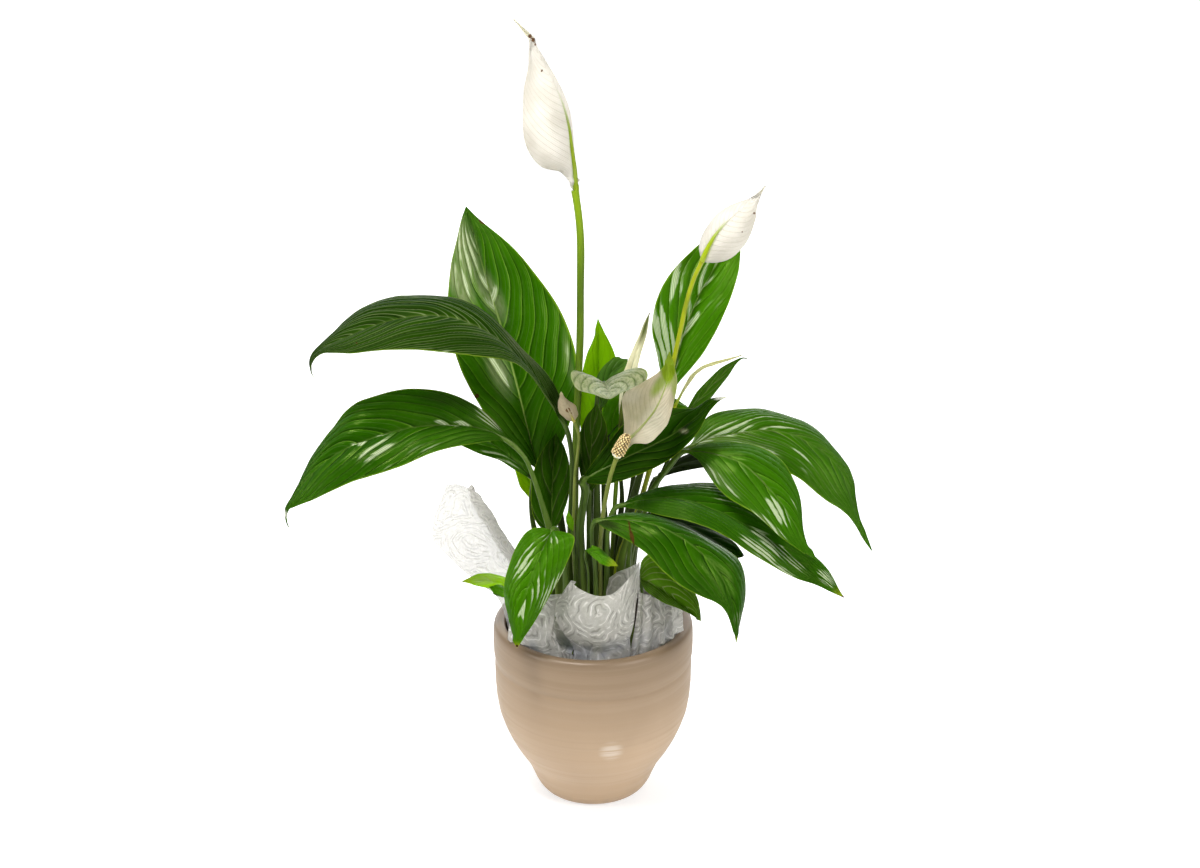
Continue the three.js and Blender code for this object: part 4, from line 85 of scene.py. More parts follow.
   "R": [[-59.8, -13.3, 188.3], [-61, -13.6, 189.8], [-61.5, -13.6, 190.7], [-62.6, -13.5, 191.7], [-65.2, -11.6, 192.6], [-66.8, -10.8, 193.6], [-69, -9.8, 195], [-71.3, -8.8, 195.9], [-73.8, -7.8, 196.5], [-76.4, -6.8, 196.9], [-79.5, -5.7, 197.4], [-82.1, -5, 197.9], [-85.2, -5, 198.7], [-87.7, -5.7, 199.1], [-90.8, -6.8, 199.4], [-93.4, -7.8, 199.6], [-96.4, -9, 199.3], [-98.7, -10, 198.5], [-100.9, -11.1, 197.9], [-102.8, -11.9, 197.2], [-104.2, -12.4, 196.7], [-105.2, -12.8, 196.3], [-106.1, -13.2, 196], [-106.6, -13.4, 195.8], [-107.1, -13.6, 195.6], [-107.6, -13.6, 195.6], [-108, -14, 195.3]]},
  {"name": "leaf_09", "cam": 0.14, "rad": (2.0, 1.5),
   "P": [[-2, 24, 132], [1.5, 29, 213.4], [-1, 39, 254.8], [-2.7, 46, 283.5]],
   "M": [[-2.7, 46, 283.5], [-2.5, 46.6, 285.8], [-2.2, 47.4, 289.1], [-1.9, 48.2, 292.5], [-1.5, 49.4, 297], [-1.1, 50.5, 301.4], [-0.6, 51.9, 307], [-0.1, 53.3, 312.6], [0.6, 54.7, 318.2], [1.2, 56.1, 323.7], [2, 57.7, 330.4], [2.6, 59, 335.9], [3.4, 60.5, 342.7], [3.8, 61.6, 348.3], [4.4, 62.8, 355.1], [4.7, 63.8, 360.8], [4.9, 65, 367.6], [4.8, 66, 373.2], [4.5, 67, 378.9], [4.2, 67.8, 383.4], [4.1, 68.4, 386.7], [4.1, 68.8, 389], [4, 69.2, 391.2], [4, 69.4, 392.3], [4, 69.6, 393.5], [4, 69.8, 394.6], [4, 70, 395.7]],
   "L": [[-4.2, 46, 283.7], [-3.6, 46.2, 285.8], [-5, 47.4, 289.4], [-6.2, 46.6, 292.7], [-7.9, 47, 297.3], [-9.3, 47.3, 302], [-10.6, 47.7, 308], [-11.6, 48.1, 314], [-12.6, 48.5, 320], [-13, 48.9, 326.1], [-12.3, 49.4, 333.3], [-11.5, 50.1, 339.2], [-10.4, 51.5, 346.1], [-9.3, 53.2, 351.5], [-7.8, 55.6, 358], [-6.4, 57.6, 363.4], [-4.4, 60, 369.7], [-2.1, 62, 374.6], [0.2, 64, 379.6], [1.5, 65.6, 383.8], [1.6, 68.3, 386.7], [2.2, 68.7, 389], [2.8, 69.2, 391.2], [3.1, 69.4, 392.4], [3.4, 69.6, 393.5], [3.6, 69.8, 394.6], [4, 70, 395.7]],
   "R": [[-1.2, 46, 283.4], [-0.7, 46.2, 285.8], [1.1, 47.4, 288.8], [2.7, 47, 292.5], [5, 47.4, 296.9], [7.2, 47.9, 301.4], [9.8, 48.5, 307.1], [12.1, 49.1, 312.9], [14.3, 49.7, 318.7], [16.5, 50.3, 324.5], [18.5, 51.1, 331.7], [19.5, 51.9, 337.7], [20.5, 53.3, 344.8], [20.6, 54.9, 350.6], [19.8, 57, 357.6], [19, 58.8, 363.3], [17.1, 61, 369.9], [14.7, 62.8, 375.2], [11.9, 64.6, 380.3], [9.6, 66, 384.3], [8.1, 68.6, 386.8], [7, 68.9, 389], [6, 69.3, 391.2], [5.5, 69.5, 392.3], [5, 69.6, 393.5], [4.5, 69.8, 394.6], [4, 70, 395.7]]},
  {"name": "leaf_10", "cam": 0.1, "rad": (2.3, 1.6),
   "P": [[0, 5, 132], [4, 7, 195.8], [3.2, 13, 238.5], [3.2, 20, 297.8], [3.3, 20, 341.1], [5.7, 17, 354], [8.9, 12, 358.7]],
   "M": [[8.9, 12, 358.7], [9.1, 10.5, 358.9], [9.3, 8.2, 359.4], [9.6, 5.9, 359.7], [9.9, 2.9, 360.3], [10.2, -0.2, 360.8], [10.6, -4, 361.4], [10.9, -7.8, 362], [11.1, -11.6, 362.6], [11.4, -15.4, 363.2], [11.7, -19.9, 363.9], [11.9, -23.6, 364.4], [12.2, -27.9, 365], [12.4, -31.4, 365.5], [12.6, -35.5, 366.1], [12.8, -38.9, 366.5], [13.1, -43, 367.1], [13.3, -46.4, 367.5], [13.3, -49.8, 368], [13.3, -52.5, 368.3], [13.3, -54.6, 368.6], [13.3, -55.9, 368.8], [13.3, -57.3, 368.9], [13.3, -58, 369], [13.3, -58.6, 369.1], [13.3, -59.3, 369.2], [13.3, -60, 369.3]],
   "L": [[10.5, 12.2, 358.9], [10.2, 10.4, 360.2], [12.1, 8, 362.5], [14, 5.6, 364.7], [16.5, 2.4, 367.6], [19.3, -0.8, 370.1], [22.9, -4.8, 372.9], [26.5, -8.8, 375.5], [30.2, -12.8, 377.6], [33.9, -16.8, 379.5], [38.3, -21.6, 380.9], [41.5, -25.4, 380.6], [42.7, -29.7, 378.2], [41.3, -33.1, 375.9], [38, -37, 373.8], [34.7, -40.2, 372.8], [30.5, -44, 372.2], [26.9, -47.2, 371.8], [23.4, -50.4, 371.4], [20.6, -53, 371], [18.6, -54.9, 370.4], [17.3, -56.2, 370.1], [16.1, -57.2, 369.5], [15.4, -57.9, 369.4], [14.7, -58.6, 369.4], [14, -59.3, 369.4], [13.3, -60, 369.3]],
   "R": [[7.3, 11.8, 358.4], [7.1, 10.4, 359.7], [5, 8, 361.1], [3, 5.6, 362.6], [0.3, 2.4, 364.6], [-2.4, -0.8, 366.7], [-5.6, -4.8, 369.5], [-8.6, -8.8, 372.7], [-11.6, -12.8, 375.6], [-14.8, -16.8, 377.4], [-17.1, -21.6, 377], [-16.8, -25.4, 374.9], [-15.3, -29.7, 372.2], [-13.5, -33.1, 370.2], [-10.4, -37, 368.8], [-7.2, -40.2, 368.6], [-3.2, -44, 368.6], [0.2, -47.2, 368.6], [3.4, -50.4, 368.5], [6, -53, 368.3], [7.9, -54.9, 368.3], [9.2, -56.2, 368.4], [10.6, -57.3, 368.4], [11.3, -58, 368.6], [11.9, -58.7, 368.9], [12.6, -59.3, 369.1], [13.3, -60, 369.3]]},
  {"name": "leaf_11", "cam": 0.14, "rad": (1.9, 1.4),
   "P": [[5, 12, 132], [10.7, 13, 202.2], [9, 18, 254.3], [7.3, 25, 304.7], [5.7, 26, 330.4]],
   "M": [[5.7, 26, 330.4], [5.9, 26.2, 331.4], [6.2, 26.4, 332.8], [6.5, 26.6, 334.3], [6.9, 27, 336.2], [7.2, 27.3, 338.2], [7.7, 27.7, 340.6], [8.2, 28.1, 343], [8.7, 28.5, 345.5], [9.4, 28.9, 347.8], [10.6, 29.4, 350.6], [11.5, 29.8, 352.8], [12.6, 30.4, 355.5], [13.6, 31, 357.7], [14.9, 31.7, 360.2], [16.6, 32.3, 361.8], [18.9, 33, 363.5], [20.8, 33.6, 365], [22.7, 34.2, 366.4], [24.3, 34.7, 367.6], [25.4, 35, 368.5], [26.2, 35.3, 369.1], [26.9, 35.5, 369.6], [27.3, 35.6, 369.9], [27.7, 35.8, 370.2], [28.1, 35.9, 370.5], [28.5, 36, 370.8]],
   "L": [[4.5, 26.7, 330.5], [5.4, 26.3, 331.6], [4.8, 26.9, 333], [4.3, 27.4, 334.6], [3.7, 27.9, 337.3], [3.1, 28.6, 339.6], [2.3, 29.4, 342.5], [1.8, 30.2, 345.4], [1.9, 31, 348.3], [2.1, 31.8, 351.3], [2.4, 32.7, 354.9], [3.4, 33.4, 357.6], [5.2, 34, 360.7], [6.9, 34.3, 363.3], [9.3, 34.6, 366.2], [11.6, 34.8, 368.2], [14.4, 35, 370.6], [16.8, 35.2, 372.5], [19.5, 35.4, 373], [21.9, 35.6, 372.6], [22.9, 36.6, 371.2], [24.2, 36.5, 371.1], [25.7, 36.3, 371], [26.4, 36.2, 371], [27.1, 36.2, 370.9], [27.8, 36.1, 370.9], [28.5, 36, 370.8]],
   "R": [[6.9, 25.3, 330.3], [7.1, 25.7, 331.3], [8.2, 25.6, 332.6], [9.3, 25.6, 333.9], [10.1, 24.1, 335.9], [11.2, 23.4, 337.7], [12.7, 22.6, 339.9], [14.2, 21.8, 342.2], [15.6, 21, 344.5], [16.8, 20.2, 346.9], [18.2, 19.4, 349.7], [19.5, 19, 352], [20.9, 19.6, 354.4], [22.1, 21, 356.1], [23.5, 23, 358], [24.6, 24.8, 359.7], [25.9, 27, 361.6], [26.9, 28.8, 363.3], [27.6, 30.6, 365.1], [27.9, 32, 366.6], [27.5, 33.7, 366.2], [27.8, 34.3, 367.4], [28, 34.9, 368.5], [28.1, 35.1, 369.1], [28.2, 35.4, 369.7], [28.4, 35.7, 370.2], [28.5, 36, 370.8]]},
  {"name": "leaf_12", "cam": 0.14, "rad": (2.3, 2.0),
   "P": [[16, 12, 132], [23.2, 12, 202.7], [29.7, 12, 243.4], [37.3, 13, 274.1], [44.9, 15, 299.7], [54.4, 18, 324.6], [60.7, 20, 343.6]],
   "M": [[60.7, 20, 343.6], [61.6, 20.9, 346.5], [62.8, 22.2, 350.7], [64, 23.5, 354.9], [65.5, 25.3, 360.6], [66.9, 27, 366.3], [68.6, 29.2, 373.5], [70.2, 31.4, 380.6], [72, 33.6, 387.8], [74.3, 35.8, 394.7], [77.3, 38.5, 402.9], [80, 40.9, 409.7], [83.6, 43.9, 417.7], [87, 46.5, 424], [91.4, 49.8, 431.5], [95.4, 52.6, 437.5], [100.5, 56, 444.6], [104.7, 58.8, 450.5], [108.4, 61.6, 456.7], [111.1, 63.8, 461.8], [113, 65.5, 465.7], [114.1, 66.6, 468.4], [115.3, 67.8, 471.1], [115.8, 68.3, 472.4], [116.4, 68.9, 473.7], [117, 69.4, 475], [117.5, 70, 476.4]],
   "L": [[58.9, 19.7, 344.3], [59.3, 19.8, 347.1], [57.3, 19.5, 352.3], [55.7, 19.2, 357.6], [54.1, 18.9, 364.9], [52.6, 18.5, 372.1], [50.8, 18.1, 381.2], [49, 17.9, 390.1], [47.6, 18.4, 398.7], [47.6, 19.6, 407.3], [48.9, 21.7, 417.2], [51.2, 23.7, 425.2], [55.2, 26.4, 434.2], [59.5, 29.4, 441], [65.8, 34, 448.2], [71.7, 38.7, 453.6], [79.5, 44.8, 459.3], [86.3, 49.8, 463.8], [93.4, 54.9, 467.9], [99.4, 58.9, 470.9], [104.1, 61.9, 472.7], [107.4, 63.9, 473.7], [110.8, 66, 474.6], [111.8, 67.8, 474.3], [113.7, 68.5, 475], [115.6, 69.2, 475.7], [117.5, 70, 476.4]],
   "R": [[62.6, 20.3, 343], [63.2, 20.4, 346.4], [65.7, 20.9, 350.4], [68.4, 21.4, 354.3], [72.3, 22.1, 359.1], [76.5, 22.8, 363.8], [81.5, 23.7, 369.8], [86.4, 24.7, 375.9], [90.8, 26.1, 382.2], [94.7, 27.9, 388.7], [99.3, 30.5, 396.5], [102.7, 32.9, 403.1], [106.5, 35.9, 411.2], [109.6, 38.8, 417.9], [112.9, 42.8, 425.9], [115.3, 46.5, 432.7], [117.7, 51, 440.9], [118.7, 54.8, 447.9], [119.3, 58.6, 455], [119.3, 61.6, 460.7], [119, 63.9, 465], [118.7, 65.4, 467.9], [118.4, 67, 470.7], [118, 68.6, 471.3], [117.8, 69.1, 473], [117.7, 69.5, 474.7], [117.5, 70, 476.4]]},
  {"name": "leaf_13", "cam": 0.06, "rad": (1.9, 1.4),
   "P": [[24, 4, 132], [35.4, 5, 228.5], [50.7, 8, 268.2], [62.6, 10, 297.2], [72.8, 12, 328.9]],
   "M": [[72.8, 12, 328.9], [73.7, 12, 330], [75.1, 12, 331.7], [76.6, 12, 333.5], [78.5, 12, 335.8], [80.4, 12, 338.1], [82.7, 12, 340.9], [85.1, 12, 343.8], [87.4, 12, 346.7], [89.8, 12, 349.5], [92.7, 12, 352.9], [95.1, 12.1, 355.7], [98, 12.2, 359], [100.4, 12.3, 361.7], [103.3, 12.6, 364.9], [105.8, 12.8, 367.6], [108.8, 13, 370.8], [111.3, 13.2, 373.4], [114, 13.4, 375.6], [116.4, 13.6, 377.3], [118.2, 13.7, 378.2], [119.5, 13.8, 378.6], [120.8, 13.8, 378.6], [121.5, 13.9, 378.5], [122.2, 13.9, 378.4], [122.8, 14, 378.2], [123.6, 14, 377.9]],
   "L": [[71.7, 12, 329.8], [72.6, 12.4, 331.3], [73.7, 12, 332.9], [74.9, 12, 334.8], [76.4, 12, 337.5], [77.8, 12, 340.2], [79.4, 12, 343.6], [81.2, 12, 347], [83.1, 12, 350.3], [85.4, 12, 353.3], [88.3, 12, 356.6], [90.8, 12.1, 359.4], [93.9, 12.2, 362.6], [96.4, 12.3, 365.3], [99.6, 12.6, 368.4], [102.4, 12.8, 370.8], [106.2, 13, 373.2], [109.6, 13.2, 375.1], [113.1, 13.4, 376.8], [115.9, 13.6, 378.1], [117.9, 13.7, 378.8], [119.4, 13.8, 379], [120.8, 13.9, 379], [121.5, 13.9, 378.9], [122.2, 13.9, 378.8], [123, 14, 378.6], [123.6, 14, 377.9]],
   "R": [[73.8, 12, 328], [75, 12.4, 328.4], [77, 12, 330.2], [78.8, 12, 331.6], [81.2, 12, 333.5], [83.7, 12, 335.3], [86.8, 12, 337.6], [89.8, 12, 339.9], [92.5, 12, 342.5], [94.9, 12, 345.2], [97.5, 12, 348.8], [99.6, 12.1, 351.8], [102.2, 12.2, 355.3], [104.3, 12.3, 358.2], [106.9, 12.6, 361.6], [109, 12.8, 364.6], [111.2, 13, 368.4], [113, 13.2, 371.5], [115, 13.4, 374.3], [117, 13.5, 376.3], [118.5, 13.7, 377.4], [119.5, 13.7, 377.9], [120.8, 13.8, 378.1], [121.4, 13.8, 378], [122, 13.9, 377.9], [122.7, 13.9, 377.7], [123.6, 14, 377.9]]},
  {"name": "leaf_14", "cam": 0.15, "rad": (3.8, 3.2),
   "P": [[-6.5, -7.5, 132], [-9.9, -9, 212.3], [-10.6, -9, 241.7], [-8.1, -10, 261.5], [-6.4, -12, 277.2], [-9.5, -14, 284]],
   "M": [[-9.5, -14, 284], [-7.1, -14.2, 285.4], [-3.5, -14.4, 287.6], [0.1, -14.6, 289.7], [4.9, -15, 292.6], [9.8, -15.3, 295.4], [15.8, -15.7, 298.9], [21.8, -16.1, 302.4], [27.8, -16.5, 305.7], [34, -16.9, 308.8], [41.3, -17.4, 312.5], [47.4, -17.8, 315.7], [54.5, -18.4, 319.7], [60.4, -19, 323.2], [67, -19.7, 328.2], [72.2, -20.3, 332.8], [78.2, -21, 338.4], [83, -21.6, 343.4], [87.7, -22.2, 348.5], [91.6, -22.7, 352.4], [94.7, -23, 354.8], [97, -23.3, 356.1], [99.4, -23.5, 357.1], [100.7, -23.6, 357.5], [101.9, -23.8, 357.9], [103.2, -23.9, 358.2], [104.5, -24, 358.5]],
   "L": [[-10.8, -12.2, 286.3], [-8, -13.2, 287.2], [-5.6, -11.9, 290.7], [-3.1, -10.6, 294.1], [0.3, -9, 298.6], [3.9, -7.3, 302.9], [8.4, -5.2, 308.3], [13, -3.1, 313.7], [17.4, -1, 319.1], [21.9, 0.6, 324.7], [28.1, 1.5, 330.8], [34.1, 1.1, 335.4], [41.8, -0.1, 339.8], [48.7, -1.4, 342.2], [57.2, -3.1, 343.1], [64.4, -5.1, 343.1], [72.9, -8.8, 343.9], [79.7, -12.6, 345.7], [85.3, -16.4, 350.3], [89.7, -19.1, 354.4], [93.8, -20.7, 356.6], [96.5, -21.6, 357.5], [99.2, -22.4, 358], [100.5, -22.8, 358.2], [101.8, -23.2, 358.4], [103.1, -23.5, 358.6], [104.5, -24, 358.5]],
   "R": [[-8.3, -15.8, 281.7], [-6.8, -15.1, 283.5], [-2.6, -16.6, 283], [1.7, -18.2, 282.9], [7.4, -20.4, 283.6], [13.1, -22.5, 285.1], [20.1, -25.1, 287.9], [26.9, -27.8, 291.1], [33.5, -30.4, 294.8], [40.1, -32.6, 298.5], [47.7, -34.3, 303.1], [53.9, -34.7, 306.8], [61.3, -34.7, 311.2], [67, -34.6, 315.5], [73.2, -34.3, 321.4], [78.1, -33.6, 326.6], [83, -31.8, 333.1], [86.2, -29.6, 339], [89.4, -27.4, 344.8], [92.7, -26, 349.2], [95.8, -25.6, 352.8], [97.6, -25.2, 354.5], [99.7, -24.8, 356], [100.8, -24.6, 356.6], [102, -24.4, 357.3], [103.2, -24.2, 357.9], [104.5, -24, 358.5]]},
  {"name": "leaf_15", "cam": 0.14, "rad": (2.3, 1.7),
   "P": [[29, -8, 132], [28.7, -8, 213.6], [39.1, -7, 247.1], [50.2, -4, 275.7], [61.5, 0, 289.8], [70.4, 3, 300.7], [78.5, 6, 305.7]],
   "M": [[78.5, 6, 305.7], [82.2, 6.1, 307.5], [87.8, 6.2, 310.1], [93.5, 6.4, 312.2], [101.4, 6.6, 314.1], [109.5, 6.8, 315.7], [119.5, 7, 317.3], [129.6, 7.3, 318.8], [139.8, 7.4, 319.2], [150, 7.2, 318.5], [161.7, 6.2, 315.7], [170.9, 4.5, 311.8], [181.3, 1.9, 306], [189.3, -0.4, 300.1], [197.6, -3.2, 291.8], [202.9, -5.5, 283.3], [207.8, -8.3, 272.3], [210.8, -10.7, 262.6], [213.8, -13, 252.9], [216.6, -14.9, 245.3], [219.1, -16.3, 239.7], [220.9, -17.2, 236.1], [222.7, -18.1, 232.5], [223.7, -18.6, 230.7], [224.7, -19.1, 228.9], [225.6, -19.5, 227.1], [226.6, -20, 225.3]],
   "L": [[77.9, 6.9, 306.9], [80.4, 7.9, 309.6], [83.3, 10.8, 315.4], [86.7, 13.6, 321], [92.5, 17.4, 326.9], [100.5, 21.2, 329.6], [112.4, 25.9, 330.1], [124.5, 29.9, 330.2], [136.6, 32.4, 329.8], [148.2, 32.8, 327.1], [161.8, 31.1, 323], [173, 28.7, 319.9], [184.8, 24.9, 313.6], [192.9, 21.2, 306], [201.6, 15.5, 296.1], [207.9, 9.9, 287.8], [212.3, 2.9, 276.7], [213.2, -2.8, 266.5], [215, -8, 256], [217.4, -11.6, 247.7], [221.2, -14, 240.2], [222.5, -15.4, 236.5], [224, -16.8, 232.8], [224.7, -17.5, 230.9], [225.4, -18.2, 229.1], [226.1, -19, 227.2], [226.6, -20, 225.3]],
   "R": [[79.2, 5.1, 304.4], [82, 5.2, 304.4], [87.2, 3.9, 303.7], [92.3, 2.7, 303.1], [99.1, 1, 301.9], [105.8, -0.7, 300.4], [114.2, -2.7, 298.4], [122.6, -4.5, 296.4], [131, -5.9, 294.3], [139.6, -7, 292.4], [149.8, -8.6, 290.8], [158.1, -10.6, 289.3], [167, -13.5, 285], [173.7, -15.5, 279.7], [181.9, -16.9, 272.8], [189.1, -17.2, 267.2], [198.4, -17.1, 261.2], [205.4, -17.2, 255.2], [211.2, -17.5, 247.8], [215.2, -18, 241.4], [216.4, -19.1, 239.2], [218.7, -19.5, 235.6], [221.1, -19.9, 232.1], [222.4, -20, 230.3], [223.7, -20.1, 228.6], [225, -20.2, 226.9], [226.6, -20, 225.3]]},
  {"name": "leaf_16", "cam": 0.14, "rad": (2.3, 1.7),
   "P": [[22, -18, 132], [23.6, -17, 215.9], [33.2, -15, 247], [46, -12, 273.7], [57.1, -10, 290.2], [66.6, -9, 302.7], [73, -8, 307.5]],
   "M": [[73, -8, 307.5], [75.8, -9.2, 307.9], [80.1, -11, 308.6], [84.4, -12.8, 309], [90, -15.2, 309.1], [95.6, -17.6, 308.9], [102.4, -20.6, 308.1], [109.2, -23.6, 306.8], [115.7, -26.6, 305.2], [121.5, -29.9, 302.4], [127.6, -34.1, 297.8], [132.6, -37.9, 293.9], [138.1, -42.8, 289], [142.6, -47, 284.9], [147.6, -52, 279.7], [151.3, -56.2, 275], [155.6, -61.2, 269.3], [158.9, -65.3, 264.4], [162, -69.5, 259.4], [164.7, -72.8, 255.5], [166.9, -75.3, 252.8], [168.3, -77, 251], [169.8, -78.7, 249.2], [170.6, -79.5, 248.3], [171.3, -80.3, 247.4], [172.1, -81.2, 246.5], [172.9, -82, 245.7]],
   "L": [[73.3, -6.7, 308.6], [76.1, -7.9, 308.9], [80.8, -7.7, 310.9], [85.6, -7.5, 312.6], [92.2, -7.2, 313.9], [99, -6.9, 314.7], [107.5, -6.7, 315.1], [116, -6.9, 314.8], [124.4, -8.2, 314.3], [132.3, -10.9, 313.1], [141.2, -15.7, 310.4], [147.7, -20.2, 306.8], [153.8, -26, 300.9], [157.5, -31.2, 295], [160.9, -38.2, 287.8], [162.8, -44.5, 281.8], [163.7, -52.4, 274.3], [163.7, -58.8, 268], [164.2, -65, 261.8], [165.5, -69.7, 256.9], [167, -73.2, 253.4], [169.7, -76.4, 251.6], [170.8, -78.3, 249.6], [171.3, -79.2, 248.6], [171.9, -80.1, 247.7], [172.6, -81, 246.7], [172.9, -82, 245.7]],
   "R": [[72.6, -9.3, 306.4], [75.5, -10, 306.4], [79.2, -13, 305.9], [82.3, -16, 304.6], [85.6, -20, 301.8], [88.4, -24, 298.3], [92, -29, 294], [95.7, -33.7, 289.8], [100, -38, 285.8], [104.8, -41.7, 282.3], [111.4, -46.1, 279.2], [117.1, -49.9, 277.2], [123.9, -54.8, 275], [129, -58.6, 272.2], [134.7, -62.5, 267.8], [139.5, -65.3, 263.8], [145.4, -68.4, 259.3], [150.7, -71, 256.1], [156.1, -73.6, 253], [160.4, -75.8, 250.7], [163.7, -77.5, 249], [164.8, -78.6, 249.5], [167.4, -79.8, 248.2], [168.8, -80.3, 247.5], [170.1, -80.9, 246.9], [171.5, -81.5, 246.3], [172.9, -82, 245.7]]},
  {"name": "leaf_17", "cam": 0.14, "rad": (1.9, 1.4),
   "P": [[26, 21, 132], [35.2, 25, 207.8], [42.1, 28, 243], [51.5, 31, 268.8]],
   "M": [[51.5, 31, 268.8], [53.2, 31.7, 269.5], [55.8, 32.7, 270.6], [58.3, 33.7, 271.8], [61.8, 35.1, 273.3], [65.2, 36.4, 274.8], [69.5, 38.1, 276.7], [74.1, 39.8, 278], [78.9, 41.5, 278.5], [83.8, 43.2, 278.9], [89.7, 45.3, 279.4], [94.6, 46.9, 279.6], [100.6, 48.8, 279.4], [105.6, 50.2, 279.2], [111.7, 51.9, 278.9], [116.7, 53.3, 278.7], [122.8, 55, 278.2], [127.9, 56.4, 277.5], [133, 57.8, 276.8], [137.1, 58.9, 276.3], [140.1, 59.8, 275.8], [142.2, 60.3, 275.6], [144.2, 60.9, 275.3], [145.3, 61.2, 275.1], [146.3, 61.4, 275], [147.3, 61.7, 274.9], [148.3, 62, 274.7]],
   "L": [[50.9, 32.3, 268.9], [53, 32.7, 269.6], [54.5, 34.7, 271.7], [57.5, 37.7, 272.4], [60.5, 41.1, 274.1], [63.8, 44.4, 275.6], [68.3, 48.6, 276.9], [72.9, 52.8, 278.1], [77.7, 57, 279.1], [82.7, 60.8, 279.5], [88.9, 64.4, 280.1], [94, 66.3, 280.7], [100.3, 67.9, 280.5], [105.7, 69, 279.9], [112, 70.1, 279.2], [117.3, 70.5, 278.9], [123.5, 69.7, 278.3], [128.5, 68.4, 277.6], [133.5, 66.8, 276.9], [137.4, 65.5, 276.3], [140.4, 64.6, 275.9], [141.3, 63.8, 275.8], [143.6, 63.2, 275.4], [144.8, 62.9, 275.2], [146, 62.6, 275.1], [147.2, 62.3, 274.9], [148.3, 62, 274.7]],
   "R": [[52, 29.7, 268.6], [53.3, 30.8, 268.6], [57, 30.7, 269.7], [58.8, 30.1, 270.6], [62.4, 29.7, 271.9], [66, 29.2, 273.3], [70.6, 28.7, 274.7], [75.2, 28.1, 275.9], [79.9, 27.6, 277.1], [84.5, 27.4, 278.2], [90.1, 28.1, 279.1], [94.9, 29.5, 279.4], [100.8, 31.6, 279.2], [105.7, 33.4, 279], [111.5, 35.7, 278.7], [116.5, 38.1, 278.4], [122.5, 41.9, 277.8], [127.6, 45.8, 277.2], [132.8, 49.8, 276.6], [136.9, 53, 276.1], [140, 55.5, 275.7], [143, 57.2, 275.4], [144.8, 58.8, 275.2], [145.7, 59.6, 275.1], [146.6, 60.4, 274.9], [147.4, 61.2, 274.8], [148.3, 62, 274.7]]},
  {"name": "leaf_18", "cam": 0.14, "rad": (2.3, 1.7),
   "P": [[10, -24, 132], [11.4, -23, 216.9], [12.1, -23, 245.2], [15.3, -23, 260.9], [20.1, -24, 266.5]],
   "M": [[20.1, -24, 266.5], [24.1, -24.7, 268], [30, -25.8, 270.1], [36, -26.8, 272], [44, -28.2, 274.1], [52, -29.6, 275.7], [62.1, -31.4, 276.3], [72.1, -33.1, 275.7], [81.9, -34.9, 273.7], [91.3, -36.7, 270.5], [102.6, -39.1, 266.6], [111.7, -41.3, 262.6], [122.2, -44.1, 257.3], [130.9, -46.4, 252.6], [141.2, -49.2, 246.8], [149.5, -51.5, 241.5], [159.2, -54.3, 234.8], [167.2, -56.7, 229], [175.2, -59, 223.1], [181.5, -60.9, 218.4], [186.2, -62.3, 214.8], [189.3, -63.2, 212.4], [192.4, -64.1, 210], [194, -64.6, 208.9], [195.6, -65.1, 207.7], [197.2, -65.5, 206.6], [198.9, -66, 205.5]],
   "L": [[20.1, -22.5, 267.3], [23.9, -23.1, 268.8], [29.6, -21.8, 271.9], [35.7, -20.4, 274.6], [44, -18.6, 277.4], [52.6, -16.8, 279.5], [63.7, -14.6, 280.6], [75, -12.9, 281], [86.3, -12.5, 281.7], [97.3, -13.4, 281.6], [110.1, -15.9, 278.8], [120, -18.5, 274.5], [131.3, -21.8, 267.9], [140, -25, 261.8], [149.8, -30.2, 254.3], [157.7, -35.4, 248.2], [166.8, -41.9, 240.8], [174.4, -47.3, 234.9], [182.2, -52.5, 229.1], [187.5, -56.3, 223.6], [190.6, -59, 218.6], [192.4, -60.8, 215.1], [194.2, -62.5, 211.8], [195.3, -63.4, 210.2], [196.4, -64.3, 208.5], [197.6, -65.2, 207], [198.9, -66, 205.5]],
   "R": [[20.1, -25.5, 265.7], [24, -26.2, 266.2], [29.8, -29.4, 266.9], [35.5, -32.7, 267.2], [43, -37, 266.9], [50.5, -41.3, 266.6], [59.8, -46.7, 266.6], [69.1, -51.6, 266.4], [78.2, -55.4, 265.2], [87.2, -58, 262.9], [97.8, -60.3, 258.8], [106.3, -62.2, 254.8], [116.1, -64.4, 249.1], [124.2, -65.8, 243.9], [134.2, -66.4, 237.4], [142.8, -66.1, 231.9], [153.3, -65.3, 225.4], [162.4, -64.8, 221], [171.8, -64.6, 217.8], [179.2, -64.7, 214.7], [184.4, -65, 211.9], [188, -65.2, 210.1], [191, -65.4, 208.7], [193, -65.6, 207.8], [194.9, -65.7, 207], [196.8, -65.9, 206.2], [198.9, -66, 205.5]]},
  {"name": "leaf_19", "cam": 0.15, "rad": (2.3, 1.7),
   "P": [[2, -35, 132], [1.7, -36, 215.8], [-0.7, -40, 243.9], [-0.6, -45, 258.2], [2.6, -50, 265.4]],
   "M": [[2.6, -50, 265.4], [5.9, -51.3, 266.1], [10.9, -53.2, 267.2], [16, -55.2, 268.2], [22.6, -57.8, 269.2], [29.2, -60.4, 269.7], [37.4, -63.6, 269.9], [45.3, -66.9, 269.1], [53, -70.1, 267.6], [60.5, -73.2, 265.3], [69, -76.6, 261.4], [75.7, -79.2, 257.6], [83.2, -82.1, 251.9], [89, -84.4, 246.6], [95.2, -87.2, 239.4], [99.7, -89.5, 233.1], [103.9, -92.3, 224.6], [106.7, -94.7, 217.2], [108.7, -97, 209.5], [109.8, -98.9, 203.2], [110.3, -100.3, 198.4], [110.5, -101.2, 195.2], [110.6, -102.1, 192], [110.6, -102.6, 190.4], [110.7, -103.1, 188.8], [110.7, -103.5, 187.2], [110.8, -104, 185.6]],
